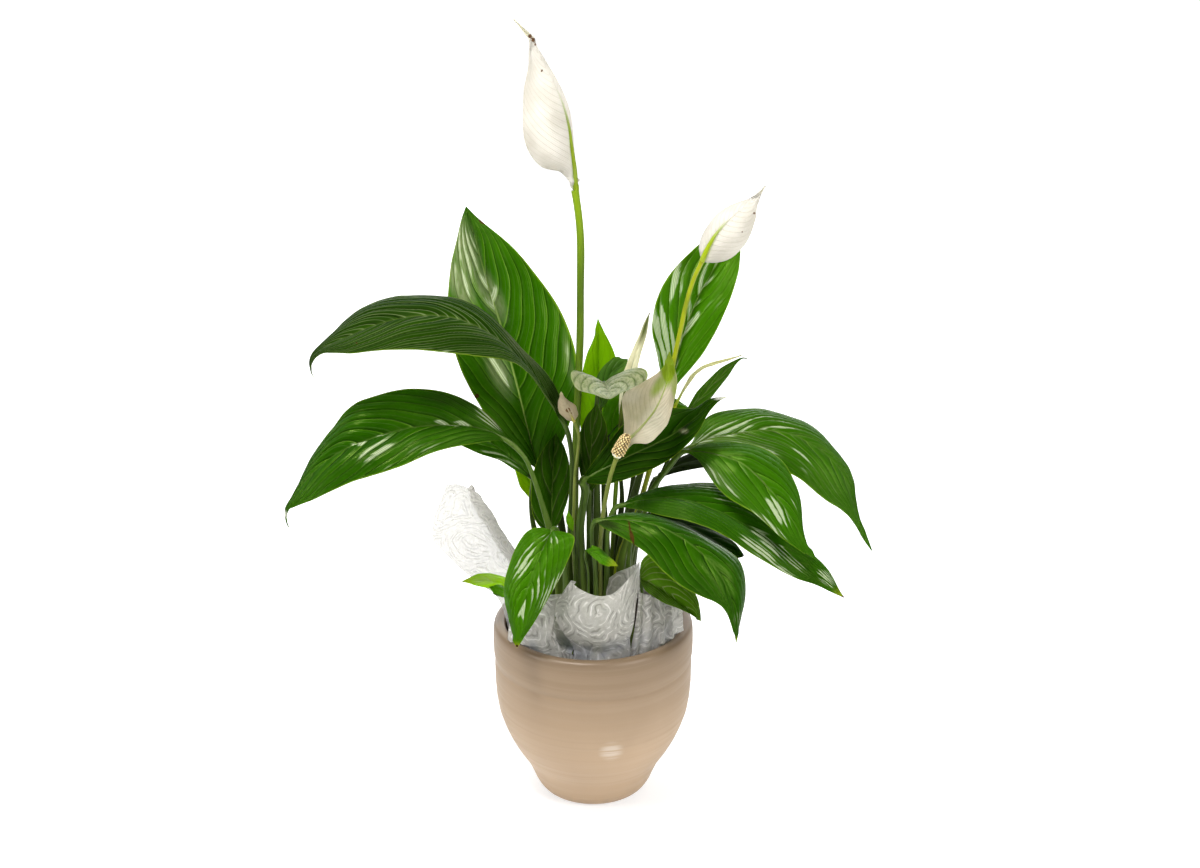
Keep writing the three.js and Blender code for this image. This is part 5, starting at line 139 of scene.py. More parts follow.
   "L": [[2.9, -48.6, 266.3], [6.2, -49.7, 266.4], [11.7, -49.2, 267.8], [17.3, -48.8, 269.1], [24.7, -48.3, 270.3], [32.3, -47.9, 270.7], [41.7, -48, 269.8], [50.9, -48.9, 268], [59.9, -50.1, 265.2], [68.5, -51.3, 261.5], [78.9, -52.7, 256.8], [87.4, -54.2, 252.9], [97.2, -57.5, 248.2], [105, -61.5, 244.4], [113.4, -67.2, 239.5], [117.2, -72, 233.2], [118.8, -77.9, 223.8], [118.5, -82.9, 215.9], [117.1, -88, 208.1], [115.4, -92.3, 202.1], [114, -95.5, 197.6], [113.1, -97.6, 194.6], [112.7, -100.1, 191.5], [112.2, -101.1, 190.1], [111.7, -102.1, 188.6], [111.2, -103, 187.1], [110.8, -104, 185.6]],
   "R": [[2.2, -51.4, 264.6], [3.8, -52.1, 263.9], [7.2, -55.2, 262], [11, -58.4, 260.8], [16.5, -62.5, 259.7], [21.9, -66.5, 258.4], [28.5, -71.1, 256.4], [34.8, -75.2, 253.6], [40.8, -78.8, 250.4], [46, -82.3, 246.1], [51.9, -86, 240.4], [57.4, -88.7, 236.1], [64.3, -91.3, 230.9], [70.5, -93, 227.1], [78.5, -94.9, 223.4], [85.3, -96.4, 220.7], [93.6, -98.1, 217.8], [99.6, -99.5, 214.1], [103.7, -100.7, 208], [105.9, -101.6, 202.2], [107.3, -102.3, 197.7], [108.1, -102.7, 194.7], [109.2, -103.5, 192.4], [109.6, -103.6, 190.7], [110, -103.7, 189], [110.4, -103.9, 187.3], [110.8, -104, 185.6]]},
  {"name": "leaf_20", "cam": 0.12, "rad": (1.9, 1.4),
   "P": [[32, -22, 132], [29.9, -24, 229.8], [36.2, -25, 247.8], [44.1, -26, 260.4]],
   "M": [[44.1, -26, 260.4], [45.7, -26.2, 260.1], [48.2, -26.6, 259.5], [50.6, -27, 259], [53.9, -27.4, 258.3], [57.2, -27.9, 257.7], [61.2, -28.5, 256.8], [65.3, -29.1, 255.9], [69.3, -29.7, 254.9], [73.1, -30.3, 253.2], [77.6, -31.1, 251], [81.3, -31.8, 249.1], [85.8, -32.7, 247], [89.5, -33.6, 245.2], [93.9, -34.8, 243.1], [97.6, -35.8, 241.3], [102, -37, 239.2], [105.6, -38, 237.4], [109.3, -39, 235.7], [112.3, -39.8, 234.4], [114.5, -40.4, 233.4], [116, -40.8, 232.8], [117.5, -41.2, 232.1], [118.2, -41.4, 231.8], [119, -41.6, 231.5], [119.7, -41.8, 231.2], [120.5, -42, 230.9]],
   "L": [[44.4, -24.7, 260.9], [45.9, -25.4, 261.1], [48.8, -25.1, 261.4], [51.2, -23.8, 260.7], [54.8, -22.6, 260.4], [58.3, -21.5, 260], [62.7, -20.1, 259.1], [67.1, -18.7, 257.3], [71.4, -17.4, 255.3], [75.7, -16.3, 253.3], [80.8, -15.8, 251.3], [84.9, -16.3, 249.8], [89.7, -17.6, 247.8], [93.7, -18.8, 246.3], [98.4, -20.6, 244.5], [102.2, -22.4, 243.1], [106.5, -25.6, 241.3], [109.9, -28.7, 240], [113.2, -32, 238.6], [115.5, -34.7, 237.1], [116.9, -36.7, 235.7], [117.8, -38, 234.7], [118.7, -39.5, 233.9], [119.2, -40.1, 233.2], [119.7, -40.6, 232.6], [120.3, -41.1, 231.9], [120.5, -42, 230.9]],
   "R": [[43.8, -27.3, 259.9], [45.6, -27, 259.1], [47.6, -28, 257.8], [50.1, -30.2, 257.7], [53.1, -32.2, 256.8], [56.1, -34.3, 255.9], [59.8, -36.9, 254.7], [63.4, -39.5, 253.4], [67, -42.1, 252], [70.5, -44.4, 250.5], [74.8, -46.3, 248.3], [78.4, -47.2, 246.2], [82.8, -47.8, 243.6], [86.6, -48.4, 241.5], [91.1, -49, 239], [94.9, -49.2, 236.7], [99.6, -48.5, 233.9], [103.8, -47.3, 231.8], [108.1, -46, 229.9], [111.5, -44.9, 228.6], [114, -44.1, 228.3], [115.7, -43.6, 228.5], [115.8, -43.5, 229.7], [116.9, -43.2, 229.9], [118, -43, 230], [119.1, -42.7, 230.2], [120.5, -42, 230.9]]},
  {"name": "leaf_21", "cam": 0.14, "rad": (1.6, 1.2),
   "P": [[36, -33, 132], [39.6, -36, 198.1], [37.1, -36, 208.7]],
   "M": [[37.1, -36, 208.7], [38.2, -36.5, 208.4], [39.9, -37.2, 207.9], [41.5, -37.9, 207.4], [43.8, -38.9, 206.8], [45.9, -39.8, 206.1], [48.6, -41, 205.2], [51.3, -42.2, 204.2], [54, -43.4, 203.2], [56.4, -44.6, 201.8], [59.3, -46.1, 200.1], [61.7, -47.3, 198.7], [64.6, -48.9, 197], [66.9, -50.2, 195.6], [69.7, -51.9, 193.8], [71.9, -53.3, 192.3], [74.6, -55, 190.5], [76.9, -56.4, 189], [79.2, -57.8, 187.6], [81, -58.9, 186.4], [82.4, -59.8, 185.6], [83.3, -60.3, 185], [84.2, -60.9, 184.4], [84.7, -61.2, 184.2], [85.1, -61.4, 183.9], [85.6, -61.7, 183.6], [86, -62, 183.3]],
   "L": [[37.5, -35.7, 209.8], [37.3, -35.7, 211.6], [37.6, -35.2, 214.6], [38, -34.7, 217.5], [38.6, -34.1, 221.3], [40.3, -33.4, 224.6], [43.6, -32.6, 227.7], [47.7, -31.8, 228.7], [52.2, -31.1, 227.1], [56.5, -30.6, 224.4], [61, -31.1, 220.5], [64.5, -32.4, 217.5], [68.6, -34.6, 214], [71.9, -36.7, 211.1], [75.8, -39.2, 207.6], [78.9, -41.6, 204.7], [81.6, -45.1, 200.8], [83.5, -48.4, 197.6], [84.8, -51.8, 194.1], [85.3, -54.5, 191.3], [85.7, -56.6, 189.1], [86.1, -57.3, 186.5], [86.1, -58.9, 185.4], [86.1, -59.6, 184.9], [86.1, -60.4, 184.4], [86.1, -61.2, 183.8], [86, -62, 183.3]],
   "R": [[36.7, -36.3, 207.6], [37.7, -36.9, 207], [38.5, -38.2, 205.8], [39.3, -39.5, 204.6], [40.4, -41.3, 203], [41.6, -43, 201.5], [43.7, -45.2, 200.3], [46.2, -47.4, 199.5], [48.7, -49.6, 198.7], [51.3, -51.7, 197.8], [54.4, -53.8, 196.7], [57.1, -55.3, 195.9], [60.4, -56.9, 195.2], [63.2, -58.2, 194.7], [66.6, -59.8, 194], [69.4, -60.9, 193.2], [72.7, -61.5, 191.7], [75.5, -61.7, 190.3], [78.2, -61.8, 188.8], [80.3, -61.9, 187.4], [81.9, -61.9, 186.3], [82.2, -61.5, 184.4], [83.5, -61.7, 184.1], [84.1, -61.8, 183.9], [84.8, -61.8, 183.7], [85.3, -62, 183.4], [86, -62, 183.3]]},
  {"name": "leaf_22", "cam": 0.14, "rad": (1.3, 0.9),
   "P": [[-6, -40, 132], [-3.9, -42, 216.8], [-6.2, -45, 231.3], [-5.4, -48, 238.8]],
   "M": [[-5.4, -48, 238.8], [-4.8, -48.2, 238.7], [-4, -48.6, 238.5], [-3.2, -49, 238.3], [-2.2, -49.4, 238.1], [-1.1, -49.9, 237.9], [0.2, -50.5, 237.6], [1.5, -51.1, 237.2], [2.7, -51.7, 236.7], [3.9, -52.3, 236.2], [5.4, -53, 235.6], [6.6, -53.6, 235], [8.1, -54.4, 234.4], [9.3, -55, 233.9], [10.8, -55.7, 233.4], [12.1, -56.3, 233], [13.6, -57, 232.5], [14.8, -57.6, 232.1], [16.1, -58.2, 231.7], [17.1, -58.7, 231.3], [17.9, -59, 231.1], [18.4, -59.3, 230.9], [18.9, -59.5, 230.8], [19.1, -59.6, 230.7], [19.4, -59.8, 230.6], [19.6, -59.9, 230.5], [19.9, -60, 230.4]],
   "L": [[-5.1, -47.7, 239.6], [-4.9, -48, 239.3], [-3.6, -48.4, 240], [-2.6, -48.6, 240.7], [-1.2, -48.9, 241.7], [-1.3, -48.3, 242.5], [0.1, -48.4, 242.9], [1.6, -48.5, 242.4], [3.2, -48.6, 241.8], [4.7, -48.7, 241.2], [6.4, -48.9, 240.2], [7.7, -49.1, 239.1], [9.2, -49.9, 238], [10.4, -50.8, 237.2], [11.9, -52.1, 236.4], [13.1, -53.2, 235.6], [14.5, -54.5, 234.7], [16.2, -55.9, 233.9], [17.2, -56.9, 233.1], [17.9, -57.7, 232.4], [18.4, -58.3, 231.8], [18.8, -58.8, 231.5], [19.1, -59.2, 231.1], [19.3, -59.4, 230.9], [19.6, -59.5, 230.9], [19.8, -59.6, 230.8], [19.9, -60, 230.4]],
   "R": [[-5.7, -48.3, 238], [-4.9, -48.4, 237.7], [-4.4, -48.8, 237.3], [-3.7, -49.2, 236.8], [-2.7, -49.8, 236.2], [-1.8, -51.5, 236.1], [-0.7, -52.6, 235.5], [0.4, -53.7, 235], [1.5, -54.8, 234.4], [2.7, -55.9, 233.9], [4, -57.2, 233.2], [5.1, -58.1, 232.6], [6.5, -58.9, 231.8], [7.9, -59.1, 231.2], [9.5, -59.3, 230.7], [10.9, -59.4, 230.2], [12.6, -59.5, 229.7], [13.2, -59.6, 230], [14.8, -59.7, 230.1], [16.2, -59.8, 230.2], [17.2, -59.9, 230.2], [17.8, -59.9, 230.3], [18.5, -59.9, 230.3], [18.9, -60, 230.3], [19.1, -60, 230.3], [19.4, -60.1, 230.2], [19.9, -60, 230.4]]},
  {"name": "leaf_23", "cam": 0.1, "rad": (1.2, 0.9),
   "P": [[-13, -22, 132], [-15.4, -22, 227.1], [-16.8, -24, 243.8]],
   "M": [[-16.8, -24, 243.8], [-16.9, -24, 244.2], [-17, -24.1, 244.8], [-17.1, -24.2, 245.4], [-17.2, -24.2, 246.1], [-17.4, -24.3, 246.9], [-17.5, -24.4, 247.9], [-17.7, -24.5, 248.8], [-17.8, -24.6, 249.8], [-18, -24.7, 250.8], [-18.2, -24.8, 251.9], [-18.4, -24.9, 252.9], [-18.5, -25.1, 254], [-18.7, -25.2, 255], [-18.9, -25.3, 256.1], [-19, -25.4, 257.1], [-19.2, -25.5, 258.2], [-19.3, -25.6, 259.2], [-19.4, -25.7, 260.1], [-19.6, -25.8, 260.9], [-19.7, -25.8, 261.5], [-19.7, -25.9, 261.9], [-19.8, -25.9, 262.2], [-19.8, -25.9, 262.4], [-19.8, -26, 262.6], [-19.9, -26, 262.8], [-19.9, -26, 263]],
   "L": [[-17.7, -24, 243.7], [-17.4, -24, 244.2], [-17.4, -24.1, 244.7], [-17.7, -24.1, 245.3], [-18.1, -24.2, 246], [-18.5, -24.3, 246.7], [-19.1, -24.4, 247.6], [-19.6, -24.5, 248.5], [-20.1, -24.6, 249.4], [-20.6, -24.7, 250.3], [-21.2, -24.8, 251.4], [-21.4, -24.9, 252.4], [-21.6, -25, 253.5], [-21.6, -25.1, 254.5], [-21.7, -25.2, 255.7], [-21.7, -25.4, 256.7], [-21.5, -25.5, 257.9], [-21.2, -25.6, 258.9], [-20.9, -25.7, 259.9], [-20.6, -25.8, 260.7], [-20.4, -25.8, 261.4], [-20.3, -25.9, 261.8], [-20.2, -25.9, 262.2], [-20.2, -25.9, 262.4], [-20.3, -26, 262.6], [-20.3, -26, 262.7], [-19.9, -26, 263]],
   "R": [[-15.9, -24, 244], [-16, -24.1, 244.3], [-16, -24.1, 245], [-16, -24.2, 245.6], [-15.9, -24.3, 246.4], [-15.8, -24.3, 247.2], [-15.7, -24.4, 248.2], [-15.6, -24.6, 249.2], [-15.5, -24.6, 250.2], [-15.3, -24.8, 251.2], [-15.3, -24.9, 252.4], [-15.4, -25, 253.3], [-15.6, -25.1, 254.4], [-15.9, -25.2, 255.4], [-16.3, -25.3, 256.5], [-16.7, -25.4, 257.4], [-17.2, -25.5, 258.5], [-17.7, -25.6, 259.4], [-18.2, -25.7, 260.3], [-18.7, -25.8, 261], [-19, -25.9, 261.6], [-19.2, -25.9, 261.9], [-19.3, -25.9, 262.3], [-19.4, -25.9, 262.5], [-19.4, -26, 262.7], [-19.4, -26, 262.9], [-19.9, -26, 263]]},
  {"name": "leaf_24", "cam": 0.14, "rad": (2.4, 2.0),
   "P": [[-7, 5, 132], [-2.6, 3, 206.8], [-3.4, 6, 241.5], [-3.3, 8, 265.6]],
   "M": [[-3.3, 8, 265.6], [-3.2, 8.2, 267.1], [-3.2, 8.5, 269.3], [-3.1, 8.8, 271.5], [-3, 9.2, 274.5], [-2.9, 9.6, 277.5], [-2.7, 10.1, 281.2], [-2.6, 10.6, 285], [-2.4, 11.1, 288.7], [-2.1, 11.6, 292.4], [-1.8, 12.2, 296.8], [-1.5, 12.6, 300.6], [-1.2, 13, 305.1], [-0.9, 13.3, 308.8], [-0.4, 13.6, 313.3], [0.1, 13.8, 317.1], [0.7, 14, 321.6], [1.2, 14.2, 325.3], [1.7, 14.4, 329.1], [2.1, 14.6, 332], [2.5, 14.7, 334.3], [2.7, 14.8, 335.8], [2.9, 14.8, 337.2], [3, 14.9, 338], [3.1, 14.9, 338.7], [3.2, 15, 339.5], [3.3, 15, 340.2]],
   "L": [[-5.3, 8.1, 265.6], [-5.5, 8.2, 267.1], [-6.4, 8.5, 269.3], [-7.2, 8.8, 271.6], [-8.3, 9.2, 274.5], [-9.5, 9.6, 277.5], [-10.6, 10.1, 281.3], [-11.3, 10.6, 285.3], [-11.9, 11.1, 289.2], [-12.4, 11.6, 293.2], [-12.8, 12.2, 297.9], [-12.6, 12.6, 301.9], [-12.1, 13, 306.7], [-11.7, 13.3, 310.8], [-10.7, 13.6, 315.5], [-9.4, 13.8, 319.3], [-7.7, 14, 323.9], [-6.2, 14.2, 327.6], [-4.2, 14.4, 331], [-2.2, 14.6, 333.5], [-0.9, 14.9, 334.7], [0.2, 14.9, 336.1], [1.2, 15, 337.5], [1.7, 15, 338.1], [2.2, 15, 338.8], [2.7, 15, 339.5], [3.3, 15, 340.2]],
   "R": [[-1.3, 7.9, 265.5], [-0.1, 8.1, 267], [1.1, 8.2, 269.1], [2.4, 8.3, 271.2], [4, 8.5, 274], [5.5, 8.6, 276.8], [7.5, 8.8, 280.3], [9, 9, 284], [9.8, 9.2, 287.9], [10.4, 9.4, 291.9], [11.2, 9.7, 296.7], [11.8, 9.9, 300.7], [12.1, 10.3, 305.4], [11.9, 10.8, 309.4], [11.7, 11.4, 314.1], [11.6, 11.9, 318], [10.9, 12.5, 322.5], [9.6, 13, 326.1], [8, 13.5, 329.7], [6.8, 13.9, 332.5], [5.8, 14.4, 333.8], [5.2, 14.6, 335.4], [4.5, 14.7, 337], [4.2, 14.8, 337.8], [3.9, 14.9, 338.6], [3.6, 14.9, 339.4], [3.3, 15, 340.2]]},
  {"name": "leaf_25", "cam": 0.14, "rad": (1.9, 1.4),
   "P": [[14, 23, 132], [21.6, 26, 223.8], [24, 29, 254.3], [19.8, 31, 284.8], [11.5, 31, 304.2]],
   "M": [[11.5, 31, 304.2], [12.5, 31.2, 305.4], [13.9, 31.4, 307.2], [15.4, 31.6, 309.1], [17.4, 32, 311.5], [19.4, 32.3, 313.9], [21.9, 32.7, 316.9], [24.7, 33.1, 319.4], [28, 33.5, 321.3], [31.4, 33.9, 323], [35.6, 34.4, 325], [39, 34.7, 326.6], [43.5, 35.1, 327.5], [47.4, 35.5, 327.7], [52, 35.8, 328], [55.8, 36.1, 328.2], [60.5, 36.5, 328.3], [64.3, 36.8, 328], [68.2, 37.1, 327.6], [71.3, 37.3, 327.2], [73.6, 37.5, 326.9], [75.2, 37.6, 326.8], [76.7, 37.8, 326.6], [77.5, 37.8, 326.5], [78.3, 37.9, 326.4], [79.1, 37.9, 326.3], [79.8, 38, 326.2]],
   "L": [[10.4, 31.5, 305], [10.6, 31.9, 307], [9.3, 33.2, 309.8], [8.1, 34.5, 312.6], [6.7, 36.3, 316.4], [6.5, 38, 320.3], [7.5, 40.2, 325.3], [9.1, 42.4, 330.1], [12.1, 44.6, 334.1], [16, 46.8, 337.5], [21.4, 49.4, 340.6], [26.6, 50.9, 342.3], [33, 51.3, 343.8], [38.5, 50.5, 343.9], [45, 48.8, 343.5], [50.3, 47.3, 342.3], [56.4, 45.5, 340.1], [61.4, 44, 338.1], [66.3, 42.5, 335.8], [70.1, 41.3, 333.8], [72.8, 40.4, 332.1], [74.6, 39.8, 330.9], [77, 39.3, 329.6], [77.7, 39.1, 328.9], [78.4, 38.8, 328.3], [79.2, 38.6, 327.6], [79.8, 38, 326.2]],
   "R": [[12.5, 30.5, 303.4], [13.7, 30.8, 304.5], [15.9, 30.6, 304.8], [18, 30.4, 305.2], [20.9, 30, 305.7], [23.8, 29.7, 306.1], [27.3, 29.3, 306.9], [30.9, 28.9, 307.7], [34.4, 28.5, 308.6], [37.9, 28.1, 309.5], [42.1, 27.7, 310.7], [45.5, 27.5, 312], [49.5, 28, 313.5], [52.8, 28.8, 314.6], [56.9, 30.1, 315.9], [60.2, 31.2, 317.1], [64, 32.5, 318.7], [67.2, 33.6, 320.1], [70.4, 34.7, 321.6], [73, 35.6, 322.8], [74.8, 36.2, 323.7], [76.1, 36.7, 324.3], [76.6, 36.9, 324.9], [77.4, 37.2, 325.3], [78.2, 37.5, 325.6], [79, 37.7, 325.9], [79.8, 38, 326.2]]},
  {"name": "leaf_26", "cam": 0.14, "rad": (1.4, 1.0),
   "P": [[-37, -24, 132], [-44.9, -26, 184.2], [-57.9, -27, 184.7]],
   "M": [[-57.9, -27, 184.7], [-58.5, -27, 185], [-59.2, -27.1, 185.5], [-60, -27.2, 185.9], [-61, -27.2, 186.6], [-62, -27.3, 187.2], [-63.3, -27.4, 187.9], [-64.6, -27.5, 188.7], [-65.9, -27.6, 189.5], [-67.2, -27.7, 190.2], [-68.7, -27.8, 191.2], [-70, -27.9, 191.9], [-71.5, -28.1, 192.7], [-72.9, -28.2, 193.2], [-74.6, -28.3, 193.8], [-75.9, -28.4, 194.3], [-77.6, -28.5, 194.9], [-79, -28.6, 195.4], [-80.3, -28.7, 195.9], [-81.4, -28.8, 196.3], [-82.2, -28.8, 196.6], [-82.8, -28.9, 196.8], [-83.3, -28.9, 197], [-83.6, -28.9, 197.1], [-83.9, -29, 197.2], [-84.2, -29, 197.3], [-84.4, -29, 197.4]],
   "L": [[-58.3, -27.7, 184.1], [-58.5, -27.3, 182.4], [-60.5, -27.6, 183.3], [-61.3, -27.6, 183.8], [-62.3, -27.7, 184.3], [-63.4, -27.8, 184.8], [-64.9, -28, 185.3], [-65.3, -30.6, 187.1], [-66.8, -31.3, 187.9], [-68.3, -32, 188.6], [-70, -32.8, 189.3], [-71.6, -33.3, 189.9], [-73.4, -33.5, 190.3], [-74.9, -33.2, 190.6], [-76.7, -32.6, 190.9], [-78.2, -32.1, 191.2], [-80, -31.5, 191.7], [-81.2, -31, 192.5], [-81, -31, 193.6], [-81.9, -30.5, 194.6], [-82.6, -30.1, 195.3], [-83.1, -29.8, 195.9], [-83.5, -29.5, 196.4], [-83.8, -29.4, 196.6], [-84, -29.3, 196.9], [-84.2, -29.3, 197], [-84.4, -29, 197.4]],
   "R": [[-57.6, -26.3, 185.4], [-58.4, -26.7, 186.8], [-58.2, -26.8, 187.2], [-58.9, -26.8, 187.8], [-59.7, -26.8, 188.8], [-60.5, -26.8, 189.8], [-61.4, -26.7, 191.2], [-64.2, -23.4, 190.4], [-65.4, -22.7, 191.2], [-66.6, -22, 191.9], [-68.1, -21.2, 192.7], [-69.5, -20.8, 193.1], [-71.3, -20.9, 193.8], [-72.7, -21.5, 194.7], [-74.4, -22.5, 195.8], [-75.8, -23.4, 196.8], [-77.4, -24.5, 197.7], [-78.8, -25.4, 197.8], [-79.7, -26.6, 198], [-81, -27.3, 197.8], [-81.9, -27.7, 197.7], [-82.5, -28.1, 197.6], [-83.2, -28.4, 197.5], [-83.5, -28.5, 197.5], [-83.8, -28.6, 197.5], [-84.1, -28.7, 197.6], [-84.4, -29, 197.4]]},
  {"name": "leaf_27", "cam": 0.14, "rad": (2.3, 1.7),
   "P": [[-16, 34, 132], [-26.4, 36, 219.5], [-31.3, 46, 265.5], [-34.7, 56, 293.2]],
   "M": [[-34.7, 56, 293.2], [-36.2, 58.2, 295.2], [-38.5, 61.6, 298.2], [-40.8, 65, 301.1], [-43.8, 69.4, 305.1], [-46.7, 73.9, 309.3], [-49.8, 79.5, 314.7], [-52.8, 85.1, 320.2], [-55.8, 90.7, 325.8], [-58.7, 96.3, 331.4], [-61.6, 102.9, 338.5], [-63.9, 108.1, 344.5], [-66.6, 113.8, 352.1], [-68.6, 118, 358.6], [-70.6, 122.6, 366.6], [-72.2, 126.4, 373.4], [-74, 131, 381.5], [-75, 134.8, 388.4], [-75.3, 138.6, 395.3], [-75.5, 141.6, 400.9], [-75.7, 143.9, 405.1], [-75.8, 145.4, 407.9], [-75.9, 147, 410.7], [-76, 147.7, 412.1], [-76, 148.5, 413.5], [-76.1, 149.2, 414.9], [-76.1, 150, 416.3]],
   "L": [[-36.2, 55.6, 292.5], [-37.6, 58.5, 294.2], [-42, 62.2, 295.7], [-46.3, 65.9, 297.2], [-52.1, 70.9, 299.4], [-57.2, 75.8, 302.3], [-62.8, 82, 307], [-68.1, 88.2, 311.9], [-73.4, 94.4, 317.1], [-77.9, 100.6, 322.7], [-82.3, 107.9, 330.2], [-85.9, 113.5, 336.7], [-89.4, 119.2, 345], [-90.9, 123, 352.7], [-92.1, 127, 362.2], [-92.8, 130.2, 370.2], [-91.7, 134, 379.7], [-90, 137.2, 387.5], [-87.9, 140.4, 395.2], [-85.3, 143, 401], [-82.8, 144.9, 405.2], [-81.2, 146.2, 408], [-79.5, 147.4, 410.7], [-78.7, 147.6, 412], [-77.8, 148.4, 413.5], [-77, 149.2, 414.9], [-76.1, 150, 416.3]],
   "R": [[-33.2, 56.4, 293.9], [-34.3, 59, 295.4], [-33.6, 63.4, 298.6], [-33, 67.8, 301.8], [-32.4, 73.8, 306.1], [-32.6, 79.7, 310.4], [-34, 87.1, 315.9], [-35.7, 94.5, 321.4], [-37.5, 101.9, 327], [-39.3, 109.3, 332.6], [-41.6, 117.9, 339.4], [-43.5, 124.3, 345.4], [-46, 130, 353.3], [-48.2, 133, 360.3], [-50.9, 135.6, 368.9], [-53.2, 137.6, 376.2], [-56.1, 140, 384.8], [-58.9, 142, 391.9], [-61.9, 144, 398.9], [-64.8, 145.6, 404.1], [-67.6, 146.8, 407.6], [-69.7, 147.6, 409.8], [-71.8, 148.4, 412], [-72.6, 147.9, 412.1], [-73.8, 148.6, 413.5], [-75, 149.3, 414.9], [-76.1, 150, 416.3]]},
  {"name": "leaf_28", "cam": 0.14, "rad": (2.3, 1.7),
   "P": [[14, 34, 132], [25.2, 32, 207.4], [28.4, 36, 236], [32.5, 39, 258.4], [34.1, 40, 272.4]],
   "M": [[34.1, 40, 272.4], [33.9, 42, 273], [33.6, 45, 274], [33.2, 48, 274.9], [32.8, 52, 276.2], [32.4, 56, 277.6], [32.7, 61, 279.1], [33.9, 66, 280.6], [35.4, 71, 282.1], [36.9, 76, 283.5], [39.8, 82, 284.3], [42.8, 86.9, 284.5], [46.5, 92.8, 284.8], [49.5, 97.7, 285], [53.2, 103.4, 285.2], [56.5, 108.2, 285.3], [60.4, 114, 285.4], [63.7, 118.8, 285.4], [67, 123.6, 285.5], [69.6, 127.4, 285.6], [71.7, 130.3, 285.6], [73, 132.2, 285.6], [74.3, 134.2, 285.7], [75, 135.1, 285.7], [75.7, 136.1, 285.7], [76.3, 137, 285.8], [77, 138, 285.8]],
   "L": [[32.5, 39.7, 272.7], [31.5, 42.1, 272.9], [28.7, 45.2, 273.7], [26, 48.3, 274.5], [22.3, 52.5, 275.6], [18.7, 56.6, 276.7], [14.9, 61.8, 278.9], [12, 67, 282.1], [9.6, 72.2, 285.5], [9.3, 77.4, 289.2], [11.7, 83.7, 293.3], [16, 88.7, 295], [22.1, 94.6, 296.3], [27.4, 99.3, 297.1], [34.2, 104.9, 297], [40, 109.5, 296.6], [47, 115, 296.1], [52.9, 119.6, 295.4], [58.8, 124.2, 293.6], [63.6, 127.9, 291.5], [67.3, 130.6, 289.9], [69.7, 132.5, 288.9], [72.7, 135.3, 288.1], [73.8, 135.9, 287.5], [74.9, 136.6, 286.9], [75.9, 137.3, 286.3], [77, 138, 285.8]],
   "R": [[35.8, 40.3, 272.1], [36, 42.2, 272.2], [37.6, 45.6, 272], [39.2, 49, 271.8], [41.3, 53.4, 271.5], [43.3, 57.9, 271.3], [45.7, 63.5, 271.4], [48, 69.1, 271.6], [50.3, 74.7, 271.7], [52.7, 80.3, 271.9], [55.5, 87, 272.2], [57.9, 92.3, 272.6], [60.7, 98.2, 273.2], [63.1, 102.7, 273.9], [65.6, 107.8, 275.1], [67.2, 112, 276.5], [69.1, 117, 278.2], [70.7, 121.2, 279.7], [72.3, 125.4, 281.2], [73.5, 128.8, 282.4], [74.5, 131.3, 283.3], [75.1, 133, 283.9], [75.3, 133.5, 284.2], [75.8, 134.6, 284.6], [76.2, 135.8, 285], [76.6, 136.9, 285.4], [77, 138, 285.8]]},
  {"name": "leaf_29", "cam": 0.14, "rad": (2.3, 1.7),
   "P": [[22, 32, 132], [32.8, 35, 206.1], [46.3, 40, 227.9], [63.2, 44, 238.1]],
   "M": [[63.2, 44, 238.1], [65, 45.1, 238], [67.5, 46.8, 237.8], [70.1, 48.5, 237.6], [73.6, 50.7, 237.3], [77, 53, 237], [81.4, 55.8, 236.5], [85.7, 58.6, 234.9], [90.1, 61.4, 232.7], [94.5, 64.2, 230.5], [99.8, 67.5, 227.8], [104.2, 70.2, 225.5], [109.4, 73.3, 222.3], [113.7, 75.8, 219.5], [118.8, 78.7, 216.2], [123.2, 81.1, 213.4], [128.3, 84, 209.9], [132.5, 86.4, 206.7], [136.7, 88.8, 203.4], [140.1, 90.7, 200.8], [142.6, 92.2, 198.8], [144.3, 93.1, 197.4], [145.9, 94.1, 196.1], [146.8, 94.6, 195.4], [147.6, 95, 194.7], [148.5, 95.5, 194.1], [149.3, 96, 193.4]],
   "L": [[62.7, 45, 239.3], [64.7, 46.3, 239.6], [66.8, 49.8, 240.6], [68.9, 53.3, 241.5], [71.9, 57.9, 242.6], [75.2, 62.6, 243.1], [80.2, 68.4, 242.2], [85.4, 74.2, 240.9], [90.7, 80, 239.5], [96.1, 85.8, 237.3], [102.7, 92.5, 234], [108.1, 97.2, 231.6], [114.2, 100.3, 228.8], [118.7, 100.8, 225.9], [123.9, 100.3, 222.5], [128.3, 99.7, 219.7], [133.2, 99, 216.1], [136.7, 98.4, 212.3], [139.8, 97.8, 208.1], [142.3, 97.3, 204.7], [144.2, 97, 202.1], [145.5, 96.7, 200.4], [146.4, 96.7, 198.6], [147.2, 96.8, 197.5], [148, 96.9, 196.5], [148.8, 97.1, 195.6], [149.3, 96, 193.4]],
   "R": [[63.8, 43, 236.9], [64.8, 44.2, 236.4], [67.1, 44.6, 235.1], [69.4, 45, 233.8], [72.5, 45.4, 232.1], [75.5, 45.9, 230.4], [79.4, 46.5, 228.3], [83.3, 47.1, 226.4], [87.3, 47.7, 224.7], [91.4, 48.3, 223.1], [96.3, 49.1, 221.1], [100.4, 50.4, 219.2], [105.5, 53.5, 216.5], [110, 57.5, 213.8], [115.4, 62.9, 210.2], [120, 67.5, 207.2], [125.5, 73, 203.7], [130.2, 77.6, 201.4], [134.9, 82.2, 199.4], [138.7, 85.9, 197.8], [141.6, 88.6, 196.6], [143.5, 90.5, 195.8], [145.7, 92.5, 194.6], [146.6, 93.4, 194.3], [147.5, 94.3, 194], [148.4, 95.1, 193.7], [149.3, 96, 193.4]]},
 ],
 "spathes": [
  {"name": "spathe_1", "cam": 0.26, "rad": (2.2, 2.0),
